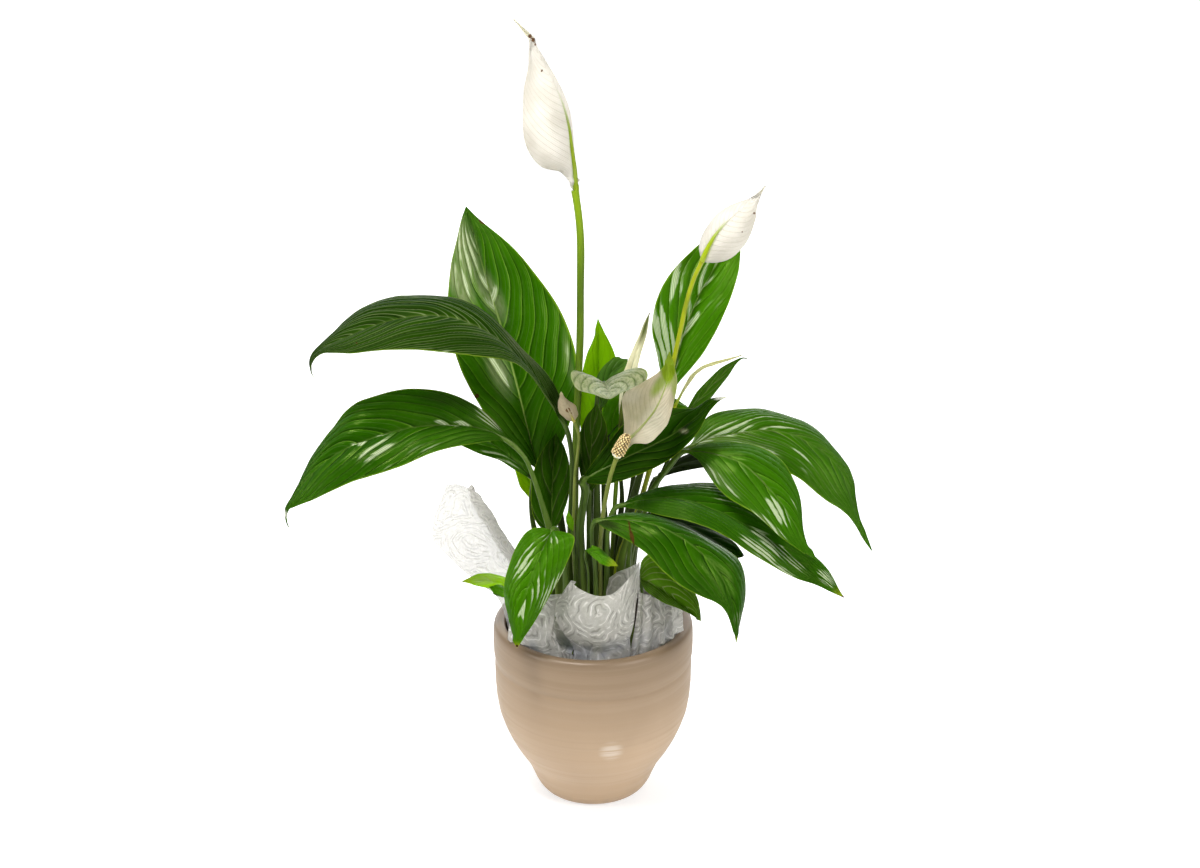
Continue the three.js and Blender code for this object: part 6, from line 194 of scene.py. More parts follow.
   "M": [[-13.5, 10, 514.5], [-13.6, 9.9, 517.4], [-13.8, 9.8, 521.8], [-14, 9.7, 526.1], [-14.4, 9.5, 531.8], [-15.1, 9.4, 537.5], [-16, 9.2, 544.5], [-16.8, 9, 551.6], [-17.5, 8.8, 558.6], [-18.7, 8.6, 565.5], [-20.6, 8.4, 573.7], [-22.6, 8.3, 580.3], [-25.7, 8.4, 588], [-28.6, 8.7, 594.2], [-32.5, 9.1, 601.4], [-35.7, 9.5, 607.3], [-39.4, 10, 614.6], [-42.5, 10.4, 620.6], [-45.8, 10.8, 626.5], [-48.7, 11.1, 630.9], [-51.3, 11.4, 634], [-53.1, 11.5, 635.9], [-55, 11.7, 637.9], [-55.9, 11.8, 638.9], [-56.9, 11.8, 639.8], [-57.8, 11.9, 640.8], [-58.7, 12, 641.8]],
   "L": [[-12.5, 11.7, 514.6], [-14.8, 11.8, 517], [-10, 13.3, 522], [-17, 17.1, 524.2], [-19, 20.3, 528.8], [-21.1, 23.3, 533.6], [-23.3, 26.4, 539.7], [-25.2, 29.1, 546.1], [-26.9, 31.6, 552.5], [-28.3, 33.7, 559.1], [-30, 34.8, 567.2], [-31.7, 34.3, 574], [-33.8, 33, 582.3], [-35.8, 31.6, 589.1], [-38.5, 29, 597.2], [-40.6, 26.2, 604], [-43.1, 22.4, 612.1], [-45.1, 19.1, 618.9], [-43.7, 15.8, 627.4], [-47.6, 14, 631.5], [-50.7, 13.1, 634.4], [-52.7, 12.7, 636.2], [-54.8, 12.4, 638.1], [-55.8, 12.3, 639], [-56.7, 12.2, 639.9], [-57.6, 12.3, 640.9], [-58.7, 12, 641.8]],
   "R": [[-14.4, 8.3, 514.5], [-17.1, 9.7, 517.4], [-17.8, 6, 521.5], [-21.6, 8.7, 525.7], [-25.8, 8.1, 529.3], [-31.3, 7.8, 530.3], [-38.2, 7.7, 532.4], [-43.9, 7.8, 537.2], [-48.2, 8, 543.5], [-51, 8.3, 550.5], [-52.4, 8.6, 559.5], [-52.6, 9, 567.1], [-52.4, 9.7, 576.2], [-52.1, 10.3, 583.8], [-51.3, 10.8, 592.7], [-49.5, 11.1, 600], [-47.7, 11.2, 608.8], [-47.5, 11.4, 616.2], [-47.1, 7.5, 625.9], [-49.4, 9.5, 630.6], [-51.7, 10.3, 633.7], [-53.4, 10.7, 635.7], [-55.2, 11.1, 637.8], [-56.1, 11.3, 638.8], [-57, 11.4, 639.7], [-57.9, 11.5, 640.7], [-58.7, 12, 641.8]]},
  {"name": "spathe_2", "cam": 0.26, "rad": (2.2, 1.8),
   "M": [[84.2, -4, 462.3], [84.7, -4.1, 463.7], [85.5, -4.2, 466], [86.4, -4.3, 468.2], [87.6, -4.5, 471.1], [88.9, -4.6, 473.9], [90.7, -4.8, 477.3], [92.6, -5, 480.7], [94.7, -5.2, 484], [96.9, -5.4, 487.1], [99.8, -5.6, 490.7], [102.3, -5.6, 493.4], [105.8, -5.2, 496.4], [108.6, -4.7, 498.8], [112.2, -3.8, 501.5], [115.2, -3, 503.7], [118.8, -2, 506.3], [121.7, -1.2, 508.6], [124.5, -0.4, 511.1], [126.5, 0.2, 513.2], [128, 0.7, 514.9], [128.9, 1, 516], [129.8, 1.4, 517.2], [130.3, 1.5, 517.8], [130.7, 1.7, 518.4], [131.2, 1.8, 518.9], [131.6, 2, 519.5]],
   "L": [[85.9, -3.9, 461.6], [87.5, -2.8, 461], [90.2, -0.9, 460.3], [92.9, 1, 459.7], [96.5, 3.5, 459.4], [100, 6, 459.5], [104.2, 9.1, 460], [108.2, 11.7, 461.3], [111.7, 13.3, 463.6], [114.6, 13.7, 466.6], [117.6, 13.2, 470.9], [119.9, 12.7, 474.6], [122.1, 12.3, 479.3], [123.6, 11.7, 483.4], [124.8, 9.9, 488.8], [125.5, 7.5, 493.5], [125.5, 4.5, 499.3], [125.7, 2.5, 503.9], [127.1, -0.2, 508.3], [128, 0.4, 511.8], [128.9, 0.8, 514.1], [129.6, 1.1, 515.5], [130.2, 1.4, 516.8], [130.6, 1.6, 517.5], [131.1, 1.7, 518.1], [131.5, 1.9, 518.6], [131.6, 2, 519.5]],
   "R": [[82.5, -4.1, 462.9], [83.8, -3, 463.7], [83.2, -1.5, 465.8], [82.7, -0.1, 467.9], [82.4, 1.9, 470.8], [82.9, 3.9, 473.7], [84.1, 6.3, 477.2], [85.9, 8.4, 480.6], [88, 9.6, 484], [90.4, 9.9, 487.4], [93.5, 9.6, 491.5], [96.2, 9.3, 494.6], [100, 9.1, 497.9], [103.2, 8.7, 500.6], [107.4, 7.4, 503.2], [111.1, 5.5, 505.1], [115.5, 3.1, 507.3], [119.2, 1.7, 509.1], [122.9, -0.5, 512.8], [125.4, 0.1, 514.3], [127.2, 0.6, 515.6], [128.3, 1, 516.5], [129.4, 1.3, 517.5], [129.9, 1.5, 518.1], [130.4, 1.6, 518.6], [130.8, 1.8, 519.2], [131.6, 2, 519.5]]},
  {"name": "spathe_3", "cam": 0.1, "rad": (2.2, 2.0),
   "M": [[18.1, -50, 316.7], [19, -49.6, 318.3], [20.5, -49, 320.8], [22.1, -48.4, 323.2], [24.2, -47.6, 326.3], [26.6, -46.8, 329.2], [29.6, -45.7, 332.8], [33, -44.5, 336.1], [36.4, -43.3, 339.2], [39.7, -41.9, 342.5], [43.5, -40.2, 346.5], [46.5, -38.9, 350], [49.6, -37.3, 354.6], [51.8, -36.1, 358.7], [54.1, -34.6, 363.8], [55.8, -33.4, 368.1], [57.4, -32, 373.5], [58.4, -30.8, 378.1], [59, -29.6, 382.7], [59.2, -28.6, 386.4], [59.3, -27.9, 389.2], [59.3, -27.4, 391.1], [59.3, -27, 392.9], [59.3, -26.7, 393.9], [59.2, -26.5, 394.8], [59.2, -26.2, 395.7], [59.2, -26, 396.6]],
   "L": [[16.4, -50.1, 317.7], [17.7, -50.1, 318.9], [18.3, -49, 322.2], [19.1, -48.4, 325.2], [20.4, -47.5, 329.1], [23.3, -50.5, 333.1], [24.3, -50.6, 338.3], [24.2, -50.5, 343.7], [23.8, -50.3, 349], [23.3, -49.8, 354.3], [22.8, -49, 360.5], [23.1, -48.2, 365.5], [25.7, -46.6, 370.3], [29.8, -45, 372.6], [35.2, -42.8, 374.9], [39.8, -40.9, 376.9], [45.2, -38.6, 379.3], [49.4, -36.4, 381.6], [53, -34, 384.6], [55.4, -31.9, 387.4], [55.8, -28.3, 389.4], [56.8, -27.7, 391.1], [57.6, -27.1, 392.9], [58, -26.9, 393.9], [58.4, -26.6, 394.8], [58.8, -26.3, 395.7], [59.2, -26, 396.6]],
   "R": [[19.8, -49.9, 315.7], [20.2, -50, 317.8], [22.1, -49, 319.8], [24.2, -48.4, 321.7], [27.3, -47.7, 324], [30.6, -50, 329.1], [35.9, -49.9, 329.6], [41.2, -49.7, 329.2], [45.9, -49.3, 331], [49.7, -48.8, 334.8], [54, -48, 339.9], [57.1, -47.2, 344.3], [59.6, -45.6, 350.2], [61.3, -44, 355.1], [62.9, -41.8, 361.1], [63.7, -39.9, 366.2], [64.5, -37.6, 372.4], [64.7, -35.5, 377.4], [63.9, -33.3, 382.4], [62.8, -31.4, 386.2], [62.5, -27.6, 389], [61.6, -27.2, 391], [60.8, -26.8, 392.9], [60.4, -26.6, 393.8], [60, -26.4, 394.8], [59.7, -26.2, 395.7], [59.2, -26, 396.6]]},
  {"name": "spathe_4", "cam": 0.2, "rad": (2.0, 1.7),
   "M": [[22.4, 14, 320], [22.5, 14, 322], [22.6, 14, 325.1], [22.8, 14, 328.2], [23, 14, 332.3], [23.3, 14, 336.3], [24, 14, 341.3], [24.9, 14, 346.3], [25.8, 14, 351.3], [27, 14, 356.2], [28.5, 14, 362], [29.7, 14.2, 366.8], [31.4, 14.5, 372.4], [32.8, 15, 377], [34.6, 15.7, 382.5], [36.2, 16.3, 387], [38.2, 17, 392.3], [39.9, 17.6, 396.7], [41.2, 18.2, 401.3], [42.2, 18.7, 404.9], [43, 19, 407.7], [43.5, 19.3, 409.5], [44.1, 19.5, 411.3], [44.4, 19.6, 412.2], [44.7, 19.8, 413.1], [45, 19.9, 414], [45.2, 20, 414.9]],
   "L": [[24.1, 14, 319.9], [23.3, 14.2, 321.9], [23.8, 14, 325.1], [24.3, 14, 328.1], [25.1, 14, 332.1], [25.9, 14, 336], [27.2, 14, 340.8], [28.6, 14, 345.6], [30.1, 14, 350.4], [31.6, 14, 355], [33.3, 14, 360.7], [34.5, 14.2, 365.4], [35.9, 14.5, 371.1], [37, 15, 375.7], [38.3, 15.7, 381.2], [39.6, 16.2, 385.7], [41.2, 17, 391.1], [42.6, 17.6, 395.8], [43.5, 18.2, 400.6], [44.1, 18.7, 404.4], [44.4, 19, 407.2], [44.6, 19.3, 409.1], [44.8, 19.5, 411], [44.9, 19.6, 412], [45.1, 19.8, 412.9], [45.4, 19.9, 413.8], [45.2, 20, 414.9]],
   "R": [[20.7, 14, 320.1], [21.8, 14.2, 322], [21.6, 14, 325.2], [21.4, 14, 328.2], [21.1, 14, 332.4], [21, 14, 336.6], [21.1, 14, 341.8], [21.4, 14, 347], [21.9, 14, 352.1], [22.6, 14, 357.2], [23.8, 14, 363.2], [25.1, 14.2, 368.1], [27.1, 14.5, 373.7], [28.9, 15, 378.3], [31.1, 15.7, 383.6], [33, 16.3, 388.1], [35.4, 17, 393.4], [37.3, 17.6, 397.6], [38.8, 18.2, 401.9], [40.1, 18.7, 405.5], [41.4, 19, 408.1], [42.3, 19.3, 409.9], [43.3, 19.5, 411.5], [43.8, 19.6, 412.4], [44.2, 19.8, 413.2], [44.5, 19.9, 414.1], [45.2, 20, 414.9]]},
  {"name": "spathe_5", "cam": 0.2, "rad": (1.3, 1.1),
   "M": [[67, 14, 339.7], [67.6, 13.8, 341.1], [68.5, 13.6, 343.2], [69.5, 13.4, 345.2], [70.7, 13, 348], [72, 12.7, 350.7], [73.6, 12.3, 354.1], [75.3, 11.9, 357.4], [77.1, 11.5, 360.6], [78.9, 11.1, 363.8], [81.8, 10.6, 367], [84.4, 10.2, 369.4], [87.7, 9.8, 372], [90.8, 9.4, 373.6], [94.7, 8.9, 375.3], [97.9, 8.5, 376.6], [101.9, 8, 377.8], [105.2, 7.6, 378.9], [108.5, 7.2, 379.9], [111.1, 6.9, 380.9], [113.1, 6.6, 381.6], [114.4, 6.5, 382.1], [115.7, 6.3, 382.6], [116.3, 6.2, 382.8], [117, 6.2, 383], [117.6, 6.1, 383.3], [118.2, 6, 383.5]],
   "L": [[68, 14, 339.3], [68.2, 13.9, 341], [69.1, 13.6, 342.9], [70.2, 13.4, 344.9], [71.6, 13.1, 347.6], [73, 12.8, 350.2], [74.8, 12.4, 353.4], [76.7, 12, 356.6], [78.7, 11.6, 359.7], [80.6, 11.2, 362.6], [82.7, 12.1, 365.8], [85.3, 11.7, 368.2], [88.6, 11, 370.8], [91.7, 10.5, 372.4], [95.4, 8.9, 373.7], [98.5, 8.5, 375.1], [102.3, 8.1, 376.5], [105.6, 7.7, 377.7], [108.8, 7.2, 378.9], [111.4, 6.9, 380.1], [113.3, 6.7, 381], [114.5, 6.5, 381.6], [115.8, 6.3, 382.1], [116.5, 6.3, 382.4], [117.1, 6.2, 382.6], [117.8, 6.1, 382.9], [118.2, 6, 383.5]],
   "R": [[66, 14, 340.1], [67.1, 13.9, 341.1], [68, 13.6, 343.4], [68.8, 13.3, 345.5], [70, 13, 348.3], [71.1, 12.7, 351.1], [72.6, 12.3, 354.5], [74.2, 11.9, 357.9], [75.8, 11.5, 361.3], [77.7, 11, 364.7], [81.1, 12.1, 367.3], [83.8, 11.7, 369.8], [87.1, 11, 372.5], [90.3, 10.5, 374.2], [94.2, 8.8, 376.5], [97.5, 8.4, 377.7], [101.6, 8, 378.8], [104.9, 7.6, 379.8], [108.2, 7.2, 380.7], [110.9, 6.9, 381.5], [112.9, 6.6, 382.1], [114.2, 6.5, 382.5], [115.5, 6.3, 383], [116.1, 6.2, 383.2], [116.8, 6.1, 383.4], [117.4, 6.1, 383.7], [118.2, 6, 383.5]]},
  {"name": "spathe_6", "cam": 0.22, "rad": (1.3, 1.1),
   "M": [[-14.7, -24, 338.2], [-14.9, -24.1, 338.8], [-15.2, -24.3, 339.6], [-15.6, -24.5, 340.4], [-16, -24.7, 341.5], [-16.4, -25, 342.6], [-16.9, -25.3, 343.9], [-17.5, -25.6, 345.2], [-18.1, -25.9, 346.6], [-18.7, -26.2, 347.8], [-19.4, -26.5, 349.4], [-20.1, -26.8, 350.7], [-20.8, -27.2, 352.2], [-21.4, -27.5, 353.5], [-22, -27.8, 355.1], [-22.6, -28.1, 356.4], [-23.2, -28.5, 358], [-23.6, -28.8, 359.4], [-23.8, -29.1, 360.8], [-24, -29.3, 361.9], [-24.2, -29.5, 362.8], [-24.3, -29.6, 363.4], [-24.4, -29.8, 363.9], [-24.4, -29.8, 364.2], [-24.4, -29.9, 364.5], [-24.5, -29.9, 364.8], [-24.5, -30, 365.1]],
   "L": [[-13.7, -24, 338.7], [-13.7, -23.9, 339.6], [-13.3, -23.7, 340.4], [-12.9, -23.5, 341.1], [-12.3, -23.3, 342.1], [-11.9, -23, 343.1], [-11.7, -22.7, 344.5], [-11.9, -22.4, 345.9], [-12.1, -22.1, 347.3], [-12.5, -21.8, 348.6], [-13.5, -21.5, 349.9], [-14.4, -21.4, 351], [-15.6, -21.8, 352.5], [-16.7, -22.5, 353.7], [-18.1, -23.5, 355], [-19.3, -24.4, 356.1], [-20.8, -25.5, 357.4], [-21.8, -26.4, 358.7], [-22.5, -27.3, 360.2], [-23.1, -28, 361.5], [-22.9, -29.5, 363], [-23.4, -29.6, 363.5], [-23.7, -29.8, 364], [-23.9, -29.8, 364.3], [-24, -29.9, 364.6], [-24.1, -29.9, 364.9], [-24.5, -30, 365.1]],
   "R": [[-15.7, -24, 337.8], [-15.3, -23.9, 338.4], [-16.2, -23.7, 338.5], [-17.1, -23.5, 338.7], [-18.3, -23.3, 339], [-19.4, -23, 339.3], [-20.8, -22.7, 340], [-22.1, -22.4, 340.8], [-23.3, -22.1, 341.6], [-24.4, -21.8, 342.7], [-25.2, -21.5, 344.3], [-25.9, -21.4, 345.7], [-26.7, -21.8, 347.6], [-27.3, -22.5, 349.3], [-27.3, -23.5, 351.5], [-27, -24.4, 353.4], [-26.6, -25.5, 355.7], [-26.2, -26.4, 357.6], [-25.8, -27.3, 359.5], [-25.5, -28, 361], [-25.7, -29.5, 362.5], [-25.4, -29.6, 363.2], [-25.1, -29.8, 363.8], [-25, -29.8, 364.1], [-24.9, -29.9, 364.4], [-24.9, -29.9, 364.7], [-24.5, -30, 365.1]]},
 ],
 "stems": [
  {"name": "flower_stem_1", "rad": (2.8, 3.0), "P": [[-14, 6, 132], [-14.2, 4, 204.5], [-14.7, 4, 260.1], [-13.7, 6, 311.7], [-11.9, 8, 353.6], [-10.1, 8, 395.3], [-9.6, 8, 436.1], [-9.4, 8, 476.7], [-10.9, 9, 496.1], [-13.5, 10, 514.5]]},
  {"name": "flower_stem_2", "rad": (2.1, 1.8), "P": [[17, 2, 132], [20.6, 1, 207.7], [33.6, 2, 243.2], [43.9, 3, 279.9], [50.8, 3, 312.8], [58.5, 4, 346.5], [63.5, 3, 376.2], [65.7, 2, 388.9], [69.2, 0, 407.5], [72.7, -1, 426.4], [77.7, -2, 445.9], [84.2, -4, 462.3]]},
  {"name": "flower_stem_3", "rad": (2.2, 1.7), "P": [[6, -31, 132], [5.7, -33, 205.5], [5.7, -37, 235.6], [8.1, -40, 265.5], [11.2, -46, 288.4], [14.2, -50, 304.2], [18.1, -50, 316.7]]},
  {"name": "flower_stem_4", "rad": (2.0, 1.8), "P": [[10, 14, 132], [15.7, 12, 206.3], [18.1, 12, 256.8], [20.4, 13, 291.7], [22.4, 14, 320]]},
  {"name": "flower_stem_5", "rad": (1.8, 1.3), "P": [[30, 12, 132], [30.8, 17, 214.1], [39.3, 20, 246.3], [45.3, 21, 272.7], [56.3, 18, 307.3], [67, 14, 339.7]]},
  {"name": "flower_stem_6", "rad": (1.6, 1.2), "P": [[-11, -14, 132], [-15.5, -14, 214.6], [-16.2, -16, 241.2], [-15.2, -17, 265.3], [-14.2, -18, 292.5], [-11.7, -20, 312.9], [-11.2, -22, 327.1], [-14.7, -24, 338.2]]},
 ],
 "spadices": [
  {"name": "spadix_1", "r": 4.7, "P": [[-22.7, 18, 536.1], [-32.2, 20, 582.8]]},
  {"name": "spadix_2", "r": 5.0, "P": [[89.4, 6, 465.3], [107.6, 10, 489.6]]},
  {"name": "spadix_3", "r": 5.1, "P": [[18, -56, 321.1], [26.7, -58, 339.4]]},
  {"name": "spadix_4", "r": 1.0, "P": [[24, 17.4, 333.4], [27.6, 17.6, 353.8]]},
  {"name": "spadix_6", "r": 1.3, "P": [[-16.7, -19, 341.9], [-20.2, -20, 349.7]]},
 ],
}

ST = np.array([0, 2, 5, 8, 12, 16, 21, 26, 31, 36, 42, 47, 53, 58, 64, 69, 75, 80, 85, 89, 92, 94, 96, 97, 98, 99, 100]) / 100.0

# Camera: where it stands and how it looks, in mm and degrees.
CAM = np.array([5.7, -1200.0, 757.0])
PITCH = math.radians(20.05)
FOCAL_PX = 1591.0


def unproject(u, v, y):
    d = np.array([(u - 600) / FOCAL_PX, 0, 0]) + np.array([0, math.sin(PITCH), math.cos(PITCH)]) * ((434 - v) / FOCAL_PX) + np.array([0, math.cos(PITCH), -math.sin(PITCH)])
    return CAM + d * (y - CAM[1]) / d[1]


def project(p):
    d = np.asarray(p, float) - CAM
    x = d[..., 0]
    y = d[..., 1] * math.sin(PITCH) + d[..., 2] * math.cos(PITCH)
    z = d[..., 1] * math.cos(PITCH) - d[..., 2] * math.sin(PITCH)
    return 600 + FOCAL_PX * x / z, 434 - FOCAL_PX * y / z


# ---------------------------------------------------------------- helpers
def unit(a):
    return a / np.maximum(np.linalg.norm(a, axis=-1, keepdims=True), 1e-12)


def spline(knots, pts, t):
    """Smooth curve through pts at knots, evaluated at t."""
    knots = np.asarray(knots, float)
    pts = np.asarray(pts, float)
    h = np.diff(knots)[:, None]
    d = np.diff(pts, axis=0) / h
    m = np.empty_like(pts)
    m[0], m[-1] = d[0], d[-1]
    m[1:-1] = (d[:-1] * h[1:] + d[1:] * h[:-1]) / (h[1:] + h[:-1])
    i = np.clip(np.searchsorted(knots, t, side="right") - 1, 0, len(knots) - 2)
    hh = np.diff(knots)[i][:, None]
    x = ((t - knots[i]) / np.diff(knots)[i])[:, None]
    a = (1 + 2 * x) * (1 - x) ** 2
    b = x * (1 - x) ** 2 * hh
    c = x * x * (3 - 2 * x)
    e = x * x * (x - 1) * hh
    return a * pts[i] + b * m[i] + c * pts[i + 1] + e * m[i + 1]


def chord(pts):
    d = np.linalg.norm(np.diff(np.asarray(pts, float), axis=0), axis=1)
    s = np.concatenate([[0], np.cumsum(np.sqrt(np.maximum(d, 1e-6)))])
    return s / s[-1]


def run(pts, n):
    """n points of even length along the smooth curve through pts."""
    k = chord(pts)
    fine = spline(k, pts, np.linspace(0, 1, 400))
    d = np.concatenate([[0], np.cumsum(np.linalg.norm(np.diff(fine, axis=0), axis=1))])
    d /= d[-1]
    tt = np.linspace(0, 1, n)
    return np.stack([np.interp(tt, d, fine[:, c]) for c in range(3)], 1)


def smoothstep(a, b, x):
    x = np.clip((x - a) / (b - a), 0, 1)
    return x * x * (3 - 2 * x)


def hash01(*k):
    x = math.sin(sum((i + 1.7) * 12.9898 * (j + 1.3) for j, i in enumerate(k))) * 43758.5453
    return x - math.floor(x)


class Build:
    """Gathers grids of quads into one mesh with named float attributes."""

    def __init__(self):
        self.v, self.f, self.m, self.a, self.uv = [], [], [], {}, []
        self.n = 0

    def add(self, verts, faces, mat=0, uv=None, **attrs):
        verts = np.asarray(verts, float).reshape(-1, 3)
        faces = np.asarray(faces, int) + self.n
        self.v.append(verts)
        self.f.append(faces)
        self.m.append(np.full(len(faces), mat))
        self.uv.append(np.zeros((len(verts), 2)) if uv is None else np.asarray(uv, float).reshape(-1, 2))
        for k in set(list(self.a) + list(attrs)):
            self.a.setdefault(k, [])
            have = sum(len(x) for x in self.a[k])
            if have < self.n:
                self.a[k].append(np.zeros(self.n - have))
            self.a[k].append(np.broadcast_to(np.asarray(attrs.get(k, 0.0), float).reshape(-1), (len(verts),)).copy() if np.ndim(attrs.get(k, 0.0)) else np.full(len(verts), float(attrs.get(k, 0.0))))
        self.n += len(verts)

    def grid(self, P, mat=0, wrap=False, flip=False, uv=None, **attrs):
        """P is rows x columns x 3. wrap joins the last column to the first."""
        r, c = P.shape[:2]
        i, j = np.meshgrid(np.arange(r - 1), np.arange(c if wrap else c - 1), indexing="ij")
        a = i * c + j
        b = i * c + (j + 1) % c
        d = a + c
        e = b + c
        q = np.stack([a, b, e, d], -1).reshape(-1, 4)
        if flip:
            q = q[:, ::-1]
        self.add(P, q, mat, uv=uv, **{k: np.asarray(v, float).reshape(-1) if np.ndim(v) else v for k, v in attrs.items()})

    def cap(self, ring, mat=0, flip=False, **attrs):
        c = ring.mean(0)
        n = len(ring)
        V = np.vstack([ring, c])
        k = np.arange(n)
        q = np.stack([k, (k + 1) % n, np.full(n, n), np.full(n, n)], 1)[:, :3]
        q = np.concatenate([q, q[:, 2:3]], 1)
        if flip:
            q = q[:, [1, 0, 2, 3]]
        self.add(V, q, mat, **attrs)

    def make(self, name, mats, replaces=None, smooth=True, weld=None):
        V = np.vstack(self.v) * 0.001
        F = np.vstack(self.f)
        M = np.concatenate(self.m)
        me = bpy.data.meshes.new(name)
        faces = [tuple(dict.fromkeys(f)) for f in F.tolist()]
        me.from_pydata(V.tolist(), [], faces)
        me.update()
        for k, parts in self.a.items():
            vals = np.concatenate(parts)
            if len(vals) < len(V):
                vals = np.concatenate([vals, np.zeros(len(V) - len(vals))])
            at = me.attributes.new(k, "FLOAT", "POINT")
            at.data.foreach_set("value", vals.astype(np.float32))
        uvs = np.vstack(self.uv)
        lay = me.uv_layers.new(name="UVMap")
        vi = np.empty(len(me.loops), int)
        me.loops.foreach_get("vertex_index", vi)
        lay.data.foreach_set("uv", uvs[vi].astype(np.float32).ravel())
        me.polygons.foreach_set("material_index", M.astype(np.int32))
        if smooth:
            me.polygons.foreach_set("use_smooth", np.ones(len(me.polygons), bool))
        for m in mats:
            me.materials.append(m)
        o = bpy.data.objects.new(name, me)
        bpy.context.scene.collection.objects.link(o)
        if weld:
            md = o.modifiers.new("weld", "WELD")
            md.merge_threshold = weld
        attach(o, "root")
        if replaces:
            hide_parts(replaces)
        return o


# ---------------------------------------------------------------- materials
class Mat:
    """Small builder for node materials."""

    def __init__(self, name):
        self.m = bpy.data.materials.new(name)
        self.m.use_nodes = True
        self.t = self.m.node_tree
        self.t.nodes.clear()
        self.out = self.t.nodes.new("ShaderNodeOutputMaterial")

    def n(self, kind, ins=None, **props):
        node = self.t.nodes.new(kind)
        for k, v in props.items():
            setattr(node, k, v)
        for k, v in (ins or {}).items():
            self.put(node.inputs[k], v)
        return node

    def put(self, sock, v):
        if isinstance(v, bpy.types.NodeSocket):
            self.t.links.new(v, sock)
        elif v is not None:
            if hasattr(sock.default_value, "__len__") and not isinstance(v, str):
                v = tuple(v)
                if len(sock.default_value) == 4 and len(v) == 3:
                    v = v + (1,)
            sock.default_value = v

    def attr(self, name):
        return self.n("ShaderNodeAttribute", attribute_name=name, attribute_type="GEOMETRY").outputs["Fac"]

    def math(self, op, a, b=None, c=None, clamp=False):
        nd = self.n("ShaderNodeMath", operation=op, use_clamp=clamp)
        self.put(nd.inputs[0], a)
        if b is not None:
            self.put(nd.inputs[1], b)
        if c is not None:
            self.put(nd.inputs[2], c)
        return nd.outputs[0]

    def ramp(self, x, a, b, lo=0.0, hi=1.0, smooth=True):
        nd = self.n("ShaderNodeMapRange", interpolation_type="SMOOTHSTEP" if smooth else "LINEAR")
        for k, v in ((0, x), (1, a), (2, b), (3, lo), (4, hi)):
            self.put(nd.inputs[k], v)
        return nd.outputs[0]

    def mix(self, f, a, b, mode="MIX"):
        nd = self.n("ShaderNodeMix", data_type="RGBA", blend_type=mode)
        self.put(nd.inputs[0], f)
        self.put(nd.inputs[6], a)
        self.put(nd.inputs[7], b)
        return nd.outputs[2]

    def noise(self, scale, detail=3.0, rough=0.5, vec=None, dist=0.0):
        nd = self.n("ShaderNodeTexNoise", ins={"Scale": scale, "Detail": detail, "Roughness": rough, "Distortion": dist})
        if vec is None:
            vec = self.n("ShaderNodeTexCoord").outputs["Object"]
        self.put(nd.inputs["Vector"], vec)
        return nd.outputs["Fac"]

    def bump(self, h, dist, strength=1.0, normal=None):
        nd = self.n("ShaderNodeBump", ins={"Strength": strength, "Distance": dist, "Height": h})
        if normal is not None:
            self.put(nd.inputs["Normal"], normal)
        return nd.outputs["Normal"]

    def principled(self, **ins):
        nd = self.n("ShaderNodeBsdfPrincipled")
        for k, v in ins.items():
            self.put(nd.inputs[k.replace("_", " ")], v)
        return nd

    def close(self, shader):
        self.t.links.new(shader, self.out.inputs["Surface"])
        return self.m


